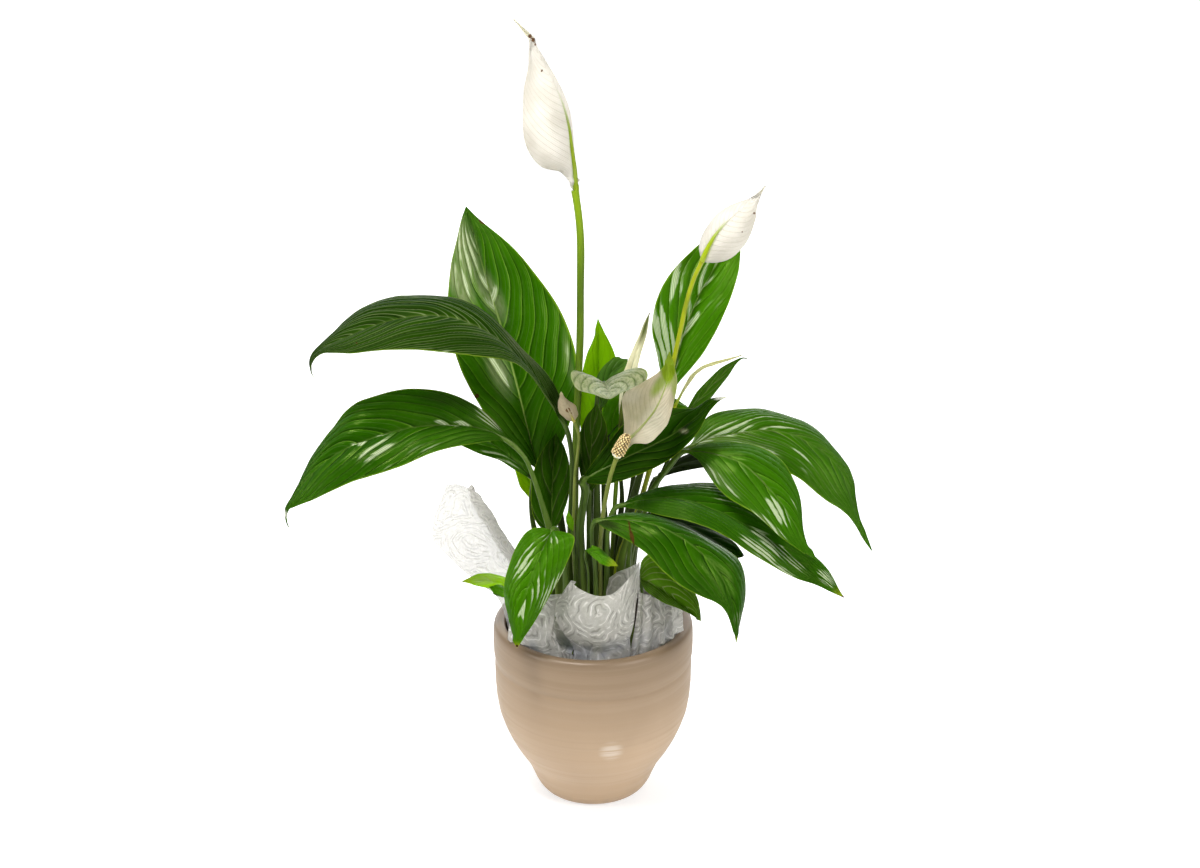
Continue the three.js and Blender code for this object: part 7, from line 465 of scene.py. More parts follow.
def leaf_material(top, dull=False):
    k = Mat(("leaf_upper" if top else "leaf_under") + ("_dull" if dull else ""))
    ph, sd, tt = k.attr("ph"), k.attr("sd"), k.attr("tt")
    tone, yel, spot, sheen = k.attr("tone"), k.attr("yel"), k.attr("spot"), k.attr("sheen")
    gl, pale, dk, olv = k.attr("gl"), k.attr("pale"), k.attr("dk"), k.attr("olv")
    comb, ribs = k.attr("comb"), k.attr("ribs")
    fr = k.math("FRACT", ph)
    # distance to the nearest side vein, 0 on it and 1 half-way between two
    d = k.math("MULTIPLY", k.math("PINGPONG", ph, 0.5), 2.0)
    vein = k.ramp(d, 0.0, 0.09, 1.0, 0.0)
    wide = k.ramp(d, 0.0, 0.55, 1.0, 0.0)
    f5 = k.math("MULTIPLY", k.math("PINGPONG", k.math("MULTIPLY", ph, 6.0), 0.5), 2.0)
    fine = k.ramp(f5, 0.0, 0.55, 1.0, 0.0)
    n1 = k.noise(26.0, 3.0)
    n2 = k.noise(170.0, 2.0)
    n3 = k.noise(70.0, 3.0)
    # coordinates along and across the ribs, for marks that follow them
    cmb = k.n("ShaderNodeCombineXYZ", ins={0: k.math("MULTIPLY", k.math("FLOOR", ph), 5.17), 1: k.math("MULTIPLY", sd, 2.0), 2: k.math("MULTIPLY", tt, 3.0)})
    along = k.noise(1.0, 2.0, vec=cmb.outputs[0])
    cmb2 = k.n("ShaderNodeCombineXYZ", ins={0: k.math("MULTIPLY", ph, 2.6), 1: k.math("MULTIPLY", sd, 17.0), 2: k.math("MULTIPLY", tt, 20.0)})
    cells = k.noise(1.0, 2.0, vec=cmb2.outputs[0])
    if top:
        base = k.mix(k.ramp(n1, 0.3, 0.7), (0.014, 0.074, 0.0003), (0.028, 0.116, 0.0005))
        # painted shade: each strip between two side veins grows darker towards its far side, as on a swelling lit from
        # one side
        base = k.mix(k.ramp(fr, 0.10, 1.0, 0.0, 0.58, False), base, (0.006, 0.036, 0.0002))
        base = k.mix(k.math("MULTIPLY", fine, 0.13), base, (0.042, 0.150, 0.001))
        # painted shadow: a thin dark line just before each side vein
        base = k.mix(k.math("MULTIPLY", k.ramp(fr, 0.82, 0.96, 0.0, 1.0), k.ramp(ribs, 0.2, 1.0, 0.78, 0.95)), base, (0.004, 0.022, 0.0002))
        # painted highlight: a thin pale line just past each side vein
        vein_highlight = k.math("MULTIPLY", k.ramp(fr, 0.0, 0.03, 0.0, 1.0), k.ramp(fr, 0.06, 0.13, 1.0, 0.0))
        vein_highlight = k.math("MULTIPLY", vein_highlight, k.ramp(ribs, 0.2, 1.0, 0.95, 1.6))
        base = k.mix(k.math("MULTIPLY", vein_highlight, k.ramp(along, 0.30, 0.60, 0.15, 0.52)), base, (0.120, 0.260, 0.016))
    else:
        base = k.mix(k.ramp(n1, 0.3, 0.7), (0.030, 0.105, 0.004), (0.050, 0.145, 0.006))
        base = k.mix(k.math("MULTIPLY", vein, 0.75), base, (0.150, 0.270, 0.035))
        base = k.mix(k.math("MULTIPLY", fine, 0.25), base, (0.080, 0.190, 0.015))
    # the leaf's own tone, which also carries painted light and shade: below 0 darker for leaves in shade, above 1 the
    # painted glow of leaves lit from behind
    bright = k.mix(1.0, base, (0.050, 0.165, 0.001), "ADD")
    base = k.mix(k.ramp(tone, 0.0, 1.0, 0.0, 1.0, False), base, bright)
    base = k.mix(k.ramp(tone, 1.0, 2.0, 0.0, 0.9, False), base, (0.360, 0.700, 0.003))
    dark = k.mix(1.0, base, (0.36, 0.30, 0.50), "MULTIPLY")
    base = k.mix(k.ramp(tone, 0.0, -1.0, 0.0, 1.0, False), base, dark)
    crease = k.math("MULTIPLY", k.attr("crease"), k.ramp(d, 0.0, 0.38, 1.0, 0.0))
    # greyer green with pale side veins, on a few leaves
    base = k.mix(k.math("MULTIPLY", olv, 0.6), base, (0.075, 0.125, 0.010))
    base = k.mix(k.math("MULTIPLY", olv, k.ramp(d, 0.04, 0.24, 0.90, 0.0)), base, (0.33, 0.36, 0.150))
    rib = k.ramp(sd, 0.012, 0.034, 1.0, 0.0)
    rib = k.math("MULTIPLY", rib, k.ramp(tt, 0.10, 0.85, 1.0, 0.45))
    base = k.mix(k.math("MULTIPLY", rib, ribs), base, (0.300, 0.440, 0.090))
    edge = k.ramp(sd, 0.962, 0.985, 0.0, 1.0)
    base = k.mix(k.math("MULTIPLY", edge, 0.55), base, (0.240, 0.380, 0.020))
    base = k.mix(yel, base, (0.36, 0.42, 0.015))
    # near-black patches: mostly painted shade, with a few dark marks on the leaf itself
    base = k.mix(dk, base, (0.010, 0.016, 0.004))
    sp = k.ramp(k.math("ADD", spot, k.math("MULTIPLY", k.math("SUBTRACT", n2, 0.5), 0.9)), 0.45, 0.7)
    base = k.mix(sp, base, (0.070, 0.026, 0.004))
    # pale threads along the veins: partly the veins' own colour, partly painted sheen
    c3 = k.math("MULTIPLY", k.math("PINGPONG", k.math("MULTIPLY", ph, 2.5), 0.5), 2.0)
    thread = k.math("MULTIPLY", k.ramp(c3, 0.04, 0.27, 1.0, 0.0), comb)
    thread = k.math("MULTIPLY", thread, k.ramp(along, 0.30, 0.60, 0.35, 1.0))
    base = k.mix(thread, base, (0.24, 0.32, 0.115))
    # painted sheen: grey reflection painted into the colour where the surface faces the bright surroundings
    painted_sheen = k.math("MULTIPLY", sheen, k.ramp(fr, 0.55, 0.95, 1.0, 0.62))
    painted_sheen = k.math("MULTIPLY", painted_sheen, k.math("SUBTRACT", 1.0, crease))
    painted_sheen = k.math("MULTIPLY", painted_sheen, k.ramp(cells, 0.30, 0.62, 0.55, 1.1))
    base = k.mix(painted_sheen, base, (0.365, 0.365, 0.205))
    # painted highlight streaks lying along the ribs, brightest just beside a vein
    w = k.math("MULTIPLY", gl, k.ramp(along, 0.32, 0.58, 0.35, 1.20))
    w = k.math("MULTIPLY", w, k.ramp(cells, 0.25, 0.60, 0.75, 1.10))
    rise = k.ramp(fr, 0.03, 0.09, 0.0, 1.0)
    edge2 = k.math("SUBTRACT", fr, k.math("MULTIPLY_ADD", w, 0.30, 0.04))
    fall = k.ramp(edge2, -0.14, 0.12, 1.0, 0.0)
    hair = k.math("MULTIPLY", k.math("PINGPONG", k.math("MULTIPLY_ADD", ph, 6.0, k.math("MULTIPLY", along, 1.6)), 0.5), 2.0)
    fall = k.math("MULTIPLY", fall, k.ramp(hair, 0.15, 0.75, 1.0, 0.42))
    streak_highlight = k.math("MULTIPLY", k.math("MULTIPLY", rise, fall), k.ramp(w, 0.10, 0.85, 0.0, 0.90), clamp=True)
    base = k.mix(streak_highlight, base, k.mix(k.ramp(w, 0.45, 1.15), (0.24, 0.34, 0.120), (0.68, 0.76, 0.48)))
    base = k.mix(pale, base, (0.78, 0.77, 0.66))
    lo, hi = (0.20, 0.30) if top else (0.42, 0.54)
    rough = k.ramp(n3, 0.25, 0.75, lo, hi)
    rough = k.math("ADD", rough, k.math("MULTIPLY", sp, 0.3))
    rough = k.math("ADD", rough, k.math("MULTIPLY", sheen, 0.15))
    rough = k.math("ADD", rough, k.math("MULTIPLY", dk, 0.35))
    rough = k.math("ADD", rough, k.ramp(tone, -0.3, -1.0, 0.0, 0.30, False))
    groove = k.ramp(d, 0.0, 0.14, 0.0, 1.0)
    g2 = k.ramp(f5, 0.0, 0.8, 0.0, 0.16)
    h = k.math("ADD", groove, g2)
    h = k.math("ADD", h, k.math("MULTIPLY", k.noise(300.0, 3.0), 0.22))
    h = k.math("ADD", h, k.math("MULTIPLY", cells, 0.16))
    if not top:
        h = k.math("MULTIPLY", h, -1.0)
    nrm = k.bump(h, 0.0006, 0.58)
    p = k.principled(Base_Color=base, Roughness=rough, Normal=nrm)
    p.inputs["Specular IOR Level"].default_value = 0.08 if dull else (0.30 if top else 0.2)
    p.inputs["Specular Tint"].default_value = (0.70, 1.0, 0.20, 1.0)
    p.inputs["IOR"].default_value = 1.40
    tcol = k.mix(k.math("MULTIPLY", vein, 0.4), (0.20, 0.46, 0.002), (0.11, 0.27, 0.002))
    tcol = k.mix(k.ramp(tone, 0.0, 1.0, 0.0, 1.0, False), tcol, (0.42, 0.72, 0.004))
    tcol = k.mix(k.ramp(tone, 1.0, 2.0, 0.0, 1.0, False), tcol, (0.75, 0.98, 0.006))
    tcol = k.mix(k.ramp(tone, 0.0, -1.0, 0.0, 1.0, False), tcol, (0.03, 0.08, 0.002))
    tcol = k.mix(sp, tcol, (0.06, 0.02, 0.003))
    tcol = k.mix(dk, tcol, (0.01, 0.016, 0.003))
    tr = k.n("ShaderNodeBsdfTranslucent", ins={"Color": tcol, "Normal": nrm})
    mx = k.n("ShaderNodeMixShader", ins={0: 0.26, 1: p.outputs[0], 2: tr.outputs[0]})
    return k.close(mx.outputs[0])


def stalk_material(name, a, b, c, top=None):
    """Smooth green stalk: colour a low down, b higher up, c in streaks."""
    k = Mat(name)
    tt, red = k.attr("tt"), k.attr("yel")
    sp = k.attr("spot")
    co = k.n("ShaderNodeTexCoord").outputs["Object"]
    mp = k.n("ShaderNodeMapping", ins={"Scale": (1.0, 1.0, 0.08)})
    k.put(mp.inputs["Vector"], co)
    n1 = k.noise(420.0, 3.0, vec=mp.outputs[0])
    n2 = k.noise(60.0, 3.0)
    base = k.mix(k.ramp(tt, 0.1, 0.7), a, b)
    base = k.mix(k.ramp(n1, 0.42, 0.68, 0.0, 0.5), base, c)
    base = k.mix(k.ramp(n2, 0.5, 0.75, 0.0, 0.35), base, (0.03, 0.075, 0.004))
    if top:
        base = k.mix(k.ramp(tt, 0.80, 0.99, 0.0, 0.85), base, top)
    base = k.mix(red, base, (0.55, 0.52, 0.22))
    # on a leaf stalk this attribute is painted shade: stalks deeper in the bundle are drawn near black
    base = k.mix(sp, base, (0.010, 0.022, 0.002))
    nrm = k.bump(k.math("ADD", n1, k.math("MULTIPLY", k.noise(700.0), 0.3)), 0.0003, 0.5)
    p = k.principled(Base_Color=base, Roughness=k.ramp(n2, 0.3, 0.7, 0.34, 0.5), Normal=nrm)
    p.inputs["Specular IOR Level"].default_value = 0.45
    p.inputs["Specular Tint"].default_value = (0.85, 1.0, 0.50, 1.0)
    return k.close(p.outputs[0])


def spathe_material(name, white, shade, green):
    k = Mat(name)
    ph, sd, tt, yel, spot, gr = k.attr("ph"), k.attr("sd"), k.attr("tt"), k.attr("yel"), k.attr("spot"), k.attr("green")
    lite = k.attr("lite")
    d = k.math("MULTIPLY", k.math("PINGPONG", ph, 0.5), 2.0)
    vein = k.ramp(d, 0.0, 0.35, 1.0, 0.0)
    fine = k.ramp(k.math("MULTIPLY", k.math("PINGPONG", k.math("MULTIPLY", ph, 3.0), 0.5), 2.0), 0.0, 0.6, 1.0, 0.0)
    n1 = k.noise(45.0, 4.0)
    n2 = k.noise(420.0, 2.0)
    base = k.mix(k.ramp(n1, 0.35, 0.7), white, shade)
    base = k.mix(k.math("MULTIPLY", vein, 0.32), base, (shade[0] * 0.78, shade[1] * 0.78, shade[2] * 0.70))
    base = k.mix(k.math("MULTIPLY", fine, 0.12), base, (shade[0] * 0.8, shade[1] * 0.8, shade[2] * 0.74))
    # painted light: paler patches where the spathe catches more light
    base = k.mix(lite, base, k.mix(0.5, white, (0.93, 0.91, 0.85)))
    base = k.mix(k.math("MULTIPLY", gr, k.ramp(k.math("ADD", fine, n1), 0.45, 1.1, 0.95, 1.30), clamp=True), base, green)
    base = k.mix(yel, base, (0.78, 0.74, 0.42))
    sp = k.ramp(k.math("ADD", spot, k.math("MULTIPLY", k.math("SUBTRACT", n2, 0.5), 0.9)), 0.5, 0.75)
    base = k.mix(sp, base, (0.16, 0.07, 0.02))
    h = k.math("ADD", k.math("MULTIPLY", vein, -0.8), k.math("MULTIPLY", fine, -0.4))
    nrm = k.bump(k.math("ADD", h, k.math("MULTIPLY", k.noise(500.0, 3.0), 0.5)), 0.0003, 0.7)
    p = k.principled(Base_Color=base, Roughness=k.ramp(n1, 0.3, 0.7, 0.42, 0.56), Normal=nrm)
    p.inputs["Specular IOR Level"].default_value = 0.35
    tcol = k.mix(k.math("MULTIPLY", k.math("SUBTRACT", 1.0, gr, clamp=True), 0.25), base, white)
    tr = k.n("ShaderNodeBsdfTranslucent", ins={"Color": tcol, "Normal": nrm})
    mx = k.n("ShaderNodeMixShader", ins={0: 0.40, 1: p.outputs[0], 2: tr.outputs[0]})
    return k.close(mx.outputs[0])


def spadix_material():
    k = Mat("spadix")
    g = k.attr("tt")
    n1 = k.noise(900.0, 2.0)
    n2 = k.noise(3000.0, 2.0)
    # tt here is each point's height on its floret: the low parts between florets are painted dark as shade, the crowns
    # gold
    base = k.mix(g, (0.12, 0.07, 0.015), (0.76, 0.56, 0.225))
    base = k.mix(k.math("MULTIPLY", k.ramp(n1, 0.45, 0.65, 0.0, 0.6), g), base, (0.95, 0.86, 0.52))
    base = k.mix(k.ramp(n2, 0.64, 0.74, 0.0, 0.35), base, (0.20, 0.09, 0.02))
    base = k.mix(k.attr("yel"), base, (0.86, 0.82, 0.62))
    p = k.principled(Base_Color=base, Roughness=0.55, Normal=k.bump(n2, 0.0003, 0.5))
    p.inputs["Subsurface Weight"].default_value = 0.0
    return k.close(p.outputs[0])


# height of the painted highlight on the pot, m
POT_GLINT_Z = 0.0735


def pot_material():
    k = Mat("taupe_glaze")
    co = k.n("ShaderNodeTexCoord").outputs["Object"]
    mp = k.n("ShaderNodeMapping", ins={"Scale": (2.0, 2.0, 105.0)})
    k.put(mp.inputs["Vector"], co)
    rings = k.noise(1.0, 3.0, 0.55, vec=mp.outputs[0])
    mp2 = k.n("ShaderNodeMapping", ins={"Scale": (5.0, 5.0, 380.0)})
    k.put(mp2.inputs["Vector"], co)
    fine = k.noise(1.0, 2.0, 0.5, vec=mp2.outputs[0])
    cloud = k.noise(11.0, 3.0)
    speck = k.noise(1500.0, 1.0)
    base = k.mix(k.ramp(cloud, 0.3, 0.7), (0.425, 0.301, 0.188), (0.452, 0.322, 0.204))
    sx = k.n("ShaderNodeSeparateXYZ")
    k.put(sx.inputs[0], co)
    # painted shade: darker towards the rim, where the leaves above shade the pot
    base = k.mix(k.ramp(sx.outputs[2], 0.070, 0.152, 0.0, 0.95, False), base, (0.200, 0.136, 0.076))
    # painted shade: darker brown on the lip
    base = k.mix(k.ramp(sx.outputs[2], 0.1460, 0.1550, 0.0, 0.70), base, (0.130, 0.084, 0.046))
    base = k.mix(k.ramp(rings, 0.40, 0.62, 0.0, 0.10), base, (0.50, 0.38, 0.275))
    # painted highlight: a pale glint painted on the front of the pot
    ex = k.math("DIVIDE", k.math("SUBTRACT", sx.outputs[0], 0.0147), 0.0120)
    ez = k.math("DIVIDE", k.math("SUBTRACT", sx.outputs[2], POT_GLINT_Z), 0.0120)
    rr = k.math("SQRT", k.math("ADD", k.math("MULTIPLY", ex, ex), k.math("MULTIPLY", ez, ez)))
    glint = k.math("MULTIPLY", k.ramp(rr, 0.25, 1.0, 1.0, 0.0), k.ramp(fine, 0.42, 0.58, 0.15, 1.0))
    glint = k.math("MULTIPLY", glint, k.ramp(sx.outputs[1], 0.0, -0.02, 0.0, 0.38))
    base = k.mix(glint, base, (0.86, 0.80, 0.72))
    base = k.mix(k.ramp(fine, 0.5, 0.75, 0.0, 0.12), base, (0.31, 0.225, 0.15))
    base = k.mix(k.ramp(speck, 0.70, 0.78, 0.0, 0.18), base, (0.25, 0.18, 0.12))
    h = k.math("ADD", k.math("MULTIPLY", rings, 0.5), k.math("MULTIPLY", fine, 0.18))
    h = k.math("ADD", h, k.math("MULTIPLY", k.noise(600.0, 2.0), 0.03))
    nrm = k.bump(h, 0.0005, 0.6)
    p = k.principled(Base_Color=base, Roughness=k.ramp(fine, 0.3, 0.7, 0.40, 0.50), Normal=nrm)
    p.inputs["Specular IOR Level"].default_value = 0.42
    p.inputs["Metallic"].default_value = 0.08
    return k.close(p.outputs[0])


def soil_material():
    k = Mat("potting_soil")
    n1 = k.noise(90.0, 5.0, 0.65)
    n2 = k.noise(420.0, 3.0)
    vor = k.n("ShaderNodeTexVoronoi", ins={"Scale": 260.0})
    k.put(vor.inputs["Vector"], k.n("ShaderNodeTexCoord").outputs["Object"])
    base = k.mix(k.ramp(n1, 0.35, 0.65), (0.018, 0.011, 0.007), (0.060, 0.038, 0.022))
    base = k.mix(k.ramp(n2, 0.6, 0.72, 0.0, 0.7), base, (0.12, 0.08, 0.05))
    base = k.mix(k.ramp(vor.outputs["Distance"], 0.0, 0.12, 0.5, 0.0), base, (0.5, 0.47, 0.42))
    p = k.principled(Base_Color=base, Roughness=0.95, Normal=k.bump(k.math("ADD", n1, n2), 0.002, 0.9))
    return k.close(p.outputs[0])


def nursery_material():
    k = Mat("nursery_plastic")
    n1 = k.noise(30.0, 3.0)
    n2 = k.noise(900.0, 2.0)
    base = k.mix(k.ramp(n1, 0.3, 0.7), (0.060, 0.038, 0.028), (0.085, 0.056, 0.042))
    base = k.mix(k.ramp(n2, 0.55, 0.8, 0.0, 0.3), base, (0.16, 0.12, 0.09))
    p = k.principled(Base_Color=base, Roughness=k.ramp(n1, 0.3, 0.7, 0.45, 0.6), Normal=k.bump(n2, 0.0002, 0.4))
    return k.close(p.outputs[0])


def wrap_material():
    """White non-woven sheet: thin see-through ground with denser pressed strokes that curl round scattered centres."""
    k = Mat("wrap_nonwoven")
    uv = k.n("ShaderNodeUVMap", uv_map="UVMap").outputs[0]
    warp = k.n("ShaderNodeTexNoise", ins={"Scale": 34.0, "Detail": 2.0})
    k.put(warp.inputs["Vector"], uv)
    off = k.n("ShaderNodeVectorMath", operation="MULTIPLY_ADD")
    k.put(off.inputs[0], warp.outputs["Color"])
    off.inputs[1].default_value = (0.020, 0.020, 0.0)
    k.put(off.inputs[2], uv)
    vor = k.n("ShaderNodeTexVoronoi", ins={"Scale": 27.0, "Randomness": 0.85})
    k.put(vor.inputs["Vector"], off.outputs[0])
    # angle and distance from the nearest centre give spiralling strokes
    dv = k.n("ShaderNodeVectorMath", operation="SUBTRACT")
    k.put(dv.inputs[0], off.outputs[0])
    k.put(dv.inputs[1], vor.outputs["Position"])
    sx = k.n("ShaderNodeSeparateXYZ")
    k.put(sx.inputs[0], dv.outputs[0])
    ang = k.math("ARCTAN2", sx.outputs[1], sx.outputs[0])
    rad = k.n("ShaderNodeVectorMath", operation="LENGTH")
    k.put(rad.inputs[0], dv.outputs[0])
    ph = k.math("ADD", k.math("MULTIPLY", rad.outputs["Value"], 215.0), k.math("MULTIPLY", ang, 1.0 / (2 * math.pi)))
    ph = k.math("ADD", ph, k.math("MULTIPLY", k.math("SINE", k.math("MULTIPLY", ang, 3.0)), 0.16))
    ph = k.math("ADD", ph, k.math("MULTIPLY", k.noise(95.0, 1.0, vec=uv), 0.9))
    c = k.math("MULTIPLY", k.math("PINGPONG", ph, 0.5), 2.0)
    line = k.ramp(c, 0.06, 0.30, 1.0, 0.0)
    gate = k.ramp(k.noise(120.0, 1.0, vec=uv), 0.40, 0.54, 0.0, 1.0)
    line = k.math("MULTIPLY", line, gate)
    gate2 = k.ramp(k.noise(85.0, 2.0, vec=uv), 0.44, 0.58, 0.08, 1.0)
    shade = k.math("MULTIPLY", k.ramp(c, 0.62, 0.90, 0.0, 1.0), gate2)
    fib = k.noise(1500.0, 3.0, vec=uv)
    fib2 = k.noise(300.0, 3.0, vec=uv)
    base = k.mix(k.ramp(fib2, 0.35, 0.7), (0.60, 0.58, 0.52), (0.71, 0.69, 0.635))
    base = k.mix(k.math("MULTIPLY", shade, 0.75), base, (0.27, 0.26, 0.225))
    base = k.mix(k.math("MULTIPLY", line, 0.45), base, (0.90, 0.88, 0.84))
    oc = k.n("ShaderNodeTexCoord").outputs["Object"]
    so = k.n("ShaderNodeSeparateXYZ")
    k.put(so.inputs[0], oc)
    # painted shade: bluish grey low on the sheet, in its lower folds
    low = k.math("MULTIPLY", k.ramp(so.outputs[2], 0.150, 0.178, 1.0, 0.0), k.ramp(k.noise(38.0, 2.0), 0.42, 0.60, 0.2, 1.0))
    base = k.mix(k.math("MULTIPLY", low, 0.72), base, (0.27, 0.30, 0.38))
    h = k.math("ADD", k.math("MULTIPLY", line, 0.8), k.math("MULTIPLY", fib, 0.4))
    nrm = k.bump(h, 0.0005, 0.7)
    p = k.principled(Base_Color=base, Roughness=0.7, Normal=nrm)
    p.inputs["Specular IOR Level"].default_value = 0.2
    tr = k.n("ShaderNodeBsdfTranslucent", ins={"Color": k.mix(0.35, base, (0.90, 0.88, 0.85)), "Normal": nrm})
    mx = k.n("ShaderNodeMixShader", ins={0: 0.38, 1: p.outputs[0], 2: tr.outputs[0]})
    clear = k.n("ShaderNodeBsdfTransparent")
    hole = k.ramp(line, 0.0, 1.0, 0.26, 0.03, False)
    hole = k.math("MULTIPLY", hole, k.ramp(fib, 0.3, 0.6, 0.7, 1.1))
    hole = k.math("ADD", hole, k.math("MULTIPLY", k.attr("thin"), 0.30))
    mx2 = k.n("ShaderNodeMixShader", ins={0: hole, 1: mx.outputs[0], 2: clear.outputs[0]})
    return k.close(mx2.outputs[0])


M_TOP = leaf_material(True)
M_UNDER = leaf_material(False)
M_DULL = leaf_material(True, True)
M_STALK = stalk_material("leaf_stalk", (0.105, 0.150, 0.022), (0.040, 0.085, 0.005), (0.085, 0.140, 0.018))
M_STEM = stalk_material("flower_stem", (0.044, 0.066, 0.004), (0.062, 0.120, 0.001), (0.120, 0.215, 0.002), (0.200, 0.310, 0.003))
M_STEM2 = stalk_material("flower_stem_yellow", (0.090, 0.130, 0.008), (0.300, 0.340, 0.004), (0.360, 0.420, 0.010))
M_STEM3 = stalk_material("flower_stem_olive", (0.100, 0.120, 0.020), (0.120, 0.150, 0.020), (0.190, 0.215, 0.045))
M_SPATHE = spathe_material("spathe_white", (0.885, 0.855, 0.785), (0.76, 0.725, 0.645), (0.300, 0.415, 0.003))
M_SPATHE2 = spathe_material("spathe_white_2", (0.885, 0.855, 0.785), (0.76, 0.725, 0.645), (0.450, 0.570, 0.004))
# cream spathe, its colour also darkened as painted shade
M_SPATHE3 = spathe_material("spathe_cream_shaded", (0.68, 0.61, 0.43), (0.43, 0.40, 0.235), (0.27, 0.40, 0.008))
M_SPATHE4 = spathe_material("spathe_young", (0.86, 0.84, 0.60), (0.74, 0.71, 0.44), (0.105, 0.150, 0.006))
M_SPATHE5 = spathe_material("spathe_thread", (0.62, 0.70, 0.10), (0.50, 0.60, 0.06), (0.40, 0.52, 0.02))
M_WITHER = spathe_material("spathe_withered", (0.62, 0.53, 0.34), (0.48, 0.40, 0.24), (0.45, 0.42, 0.08))
M_SPADIX = spadix_material()
M_POT = pot_material()
M_SOIL = soil_material()
M_NURSERY = nursery_material()
M_WRAP = wrap_material()


# ---------------------------------------------------------------- leaves
# name: (tone, yellow tip, tip start) and spots as (u, v, radius mm, strength); tone is the leaf's own tone and also
# carries painted light and shade: below 0 darker for leaves in shade, above 1 the painted glow of leaves lit from
# behind
LOOK = {
    "leaf_01": dict(tone=0.10, ribs=1.0, comb=0.10), "leaf_02": dict(tone=-0.80, comb=0.62, ribs=0.2), "leaf_03": dict(tone=-0.10, ribs=0.15, comb=0.10), "leaf_04": dict(tone=0.15),
    "leaf_05": dict(tone=2.0, comb=0.0), "leaf_06": dict(tone=-0.45, olv=0.12, comb=0.04), "leaf_07": dict(tone=0.38, sweep=0.95, gap=17.0, amp=2.0, tip=(0.93, 0.8), ribs=0.1, comb=0.03), "leaf_08": dict(tone=1.9, tip=(0.80, 0.6), olv=0.35),
    "leaf_09": dict(tone=1.45, comb=0.0), "leaf_10": dict(tone=0.0, sheen=0.80, gap=11.0, amp=1.5, comb=0.1, ribs=0.0, crease=0.34, sweep=0.55), "leaf_11": dict(tone=0.15, sheen=0.08), "leaf_12": dict(tone=0.38, sweep=0.58, ribs=0.8, comb=0.03),
    "leaf_13": dict(tone=-0.1, olv=0.2, ribs=0.6), "leaf_14": dict(tone=-0.60, tip=(0.95, 0.9), comb=0.04), "leaf_15": dict(tone=0.15, sweep=0.70, olv=0.10, comb=0.15, ribs=0.15), "leaf_16": dict(tone=0.22, sweep=0.70, comb=0.10, ribs=0.3),
    "leaf_17": dict(tone=-1.0, comb=0.0, ribs=0.0, dk=0.8), "leaf_18": dict(tone=0.0, sweep=0.75, tip=(0.93, 0.7), comb=0.05, ribs=0.15), "leaf_19": dict(tone=-0.08, sweep=0.58, amp=0.95, tip=(0.96, 0.8), comb=0.02, ribs=0.2), "leaf_20": dict(tone=-0.60, comb=0.0),
    "leaf_21": dict(tone=1.0, olv=1.0, gap=12.0, sweep=1.1, comb=0.0), "leaf_22": dict(tone=0.6, tip=(0.60, 0.7)), "leaf_23": dict(tone=1.2), "leaf_24": dict(tone=-0.60, olv=0.2),
    "leaf_25": dict(tone=0.4), "leaf_26": dict(tone=0.7),
}
# fine pale threads along the veins, partly painted sheen: same columns as the marks below
COMB = {
    "leaf_15": [(735, 440, 70, 22, 5, 0.75)],
    "leaf_16": [(722, 478, 34, 14, 40, 0.6)],
    "leaf_01": [(462, 262, 40, 16, 72, 0.5), (498, 372, 30, 12, 66, 0.5)],
    "leaf_03": [(488, 418, 26, 12, 35, 0.4)],
    "leaf_14": [(610, 450, 30, 14, -40, 0.15)],
}
# brown marks: u, v, half lengths along and across (px), angle, strength
SPOTS = {
    "leaf_01": [(482, 222, 4.0, 1.6, 35, 1.2), (477, 396, 2.5, 3.0, 60, 1.2), (503, 237, 2.0, 1.0, 40, 0.9)],
    "leaf_19": [(629.5, 526, 1.2, 6.0, -8, 1.1), (632, 537, 2.0, 7.0, -12, 1.3), (634, 545, 3.0, 1.8, 30, 0.9)],
    "leaf_18": [(844, 598, 3.0, 3.0, 0, 1.3)],
    "leaf_02": [(357, 343, 1.4, 1.2, 0, 0.8)],
    "leaf_26": [(490, 593, 3.0, 2.0, 60, 0.9)],
    "leaf_21": [(672, 588, 3.0, 2.0, -30, 0.7)],
    "leaf_07": [(517, 646, 1.6, 1.6, 0, 1.0)],
}
# painted grey sheen, a reflection painted into the colour: same columns
SHEEN = {
    "leaf_01": [(466, 252, 40, 14, 75, 0.50), (459, 282, 30, 12, 65, 0.55), (489, 292, 34, 11, 62, 0.45), (500, 372, 30, 11, 68, 0.40), (569, 362, 30, 4, 80, 0.22)],
    "leaf_02": [(520, 348, 30, 4, 48, 0.12)],
    "leaf_15": [(742, 447, 36, 8, 8, 0.18), (704, 441, 14, 7, -20, 0.20)],
    "leaf_16": [(722, 481, 24, 5, 42, 0.15), (768, 525, 20, 4, 42, 0.25)],
    "leaf_08": [(484, 580, 14, 5, -5, 0.35)],
    "leaf_14": [(684, 431, 4.5, 3, 10, 0.9)],
}
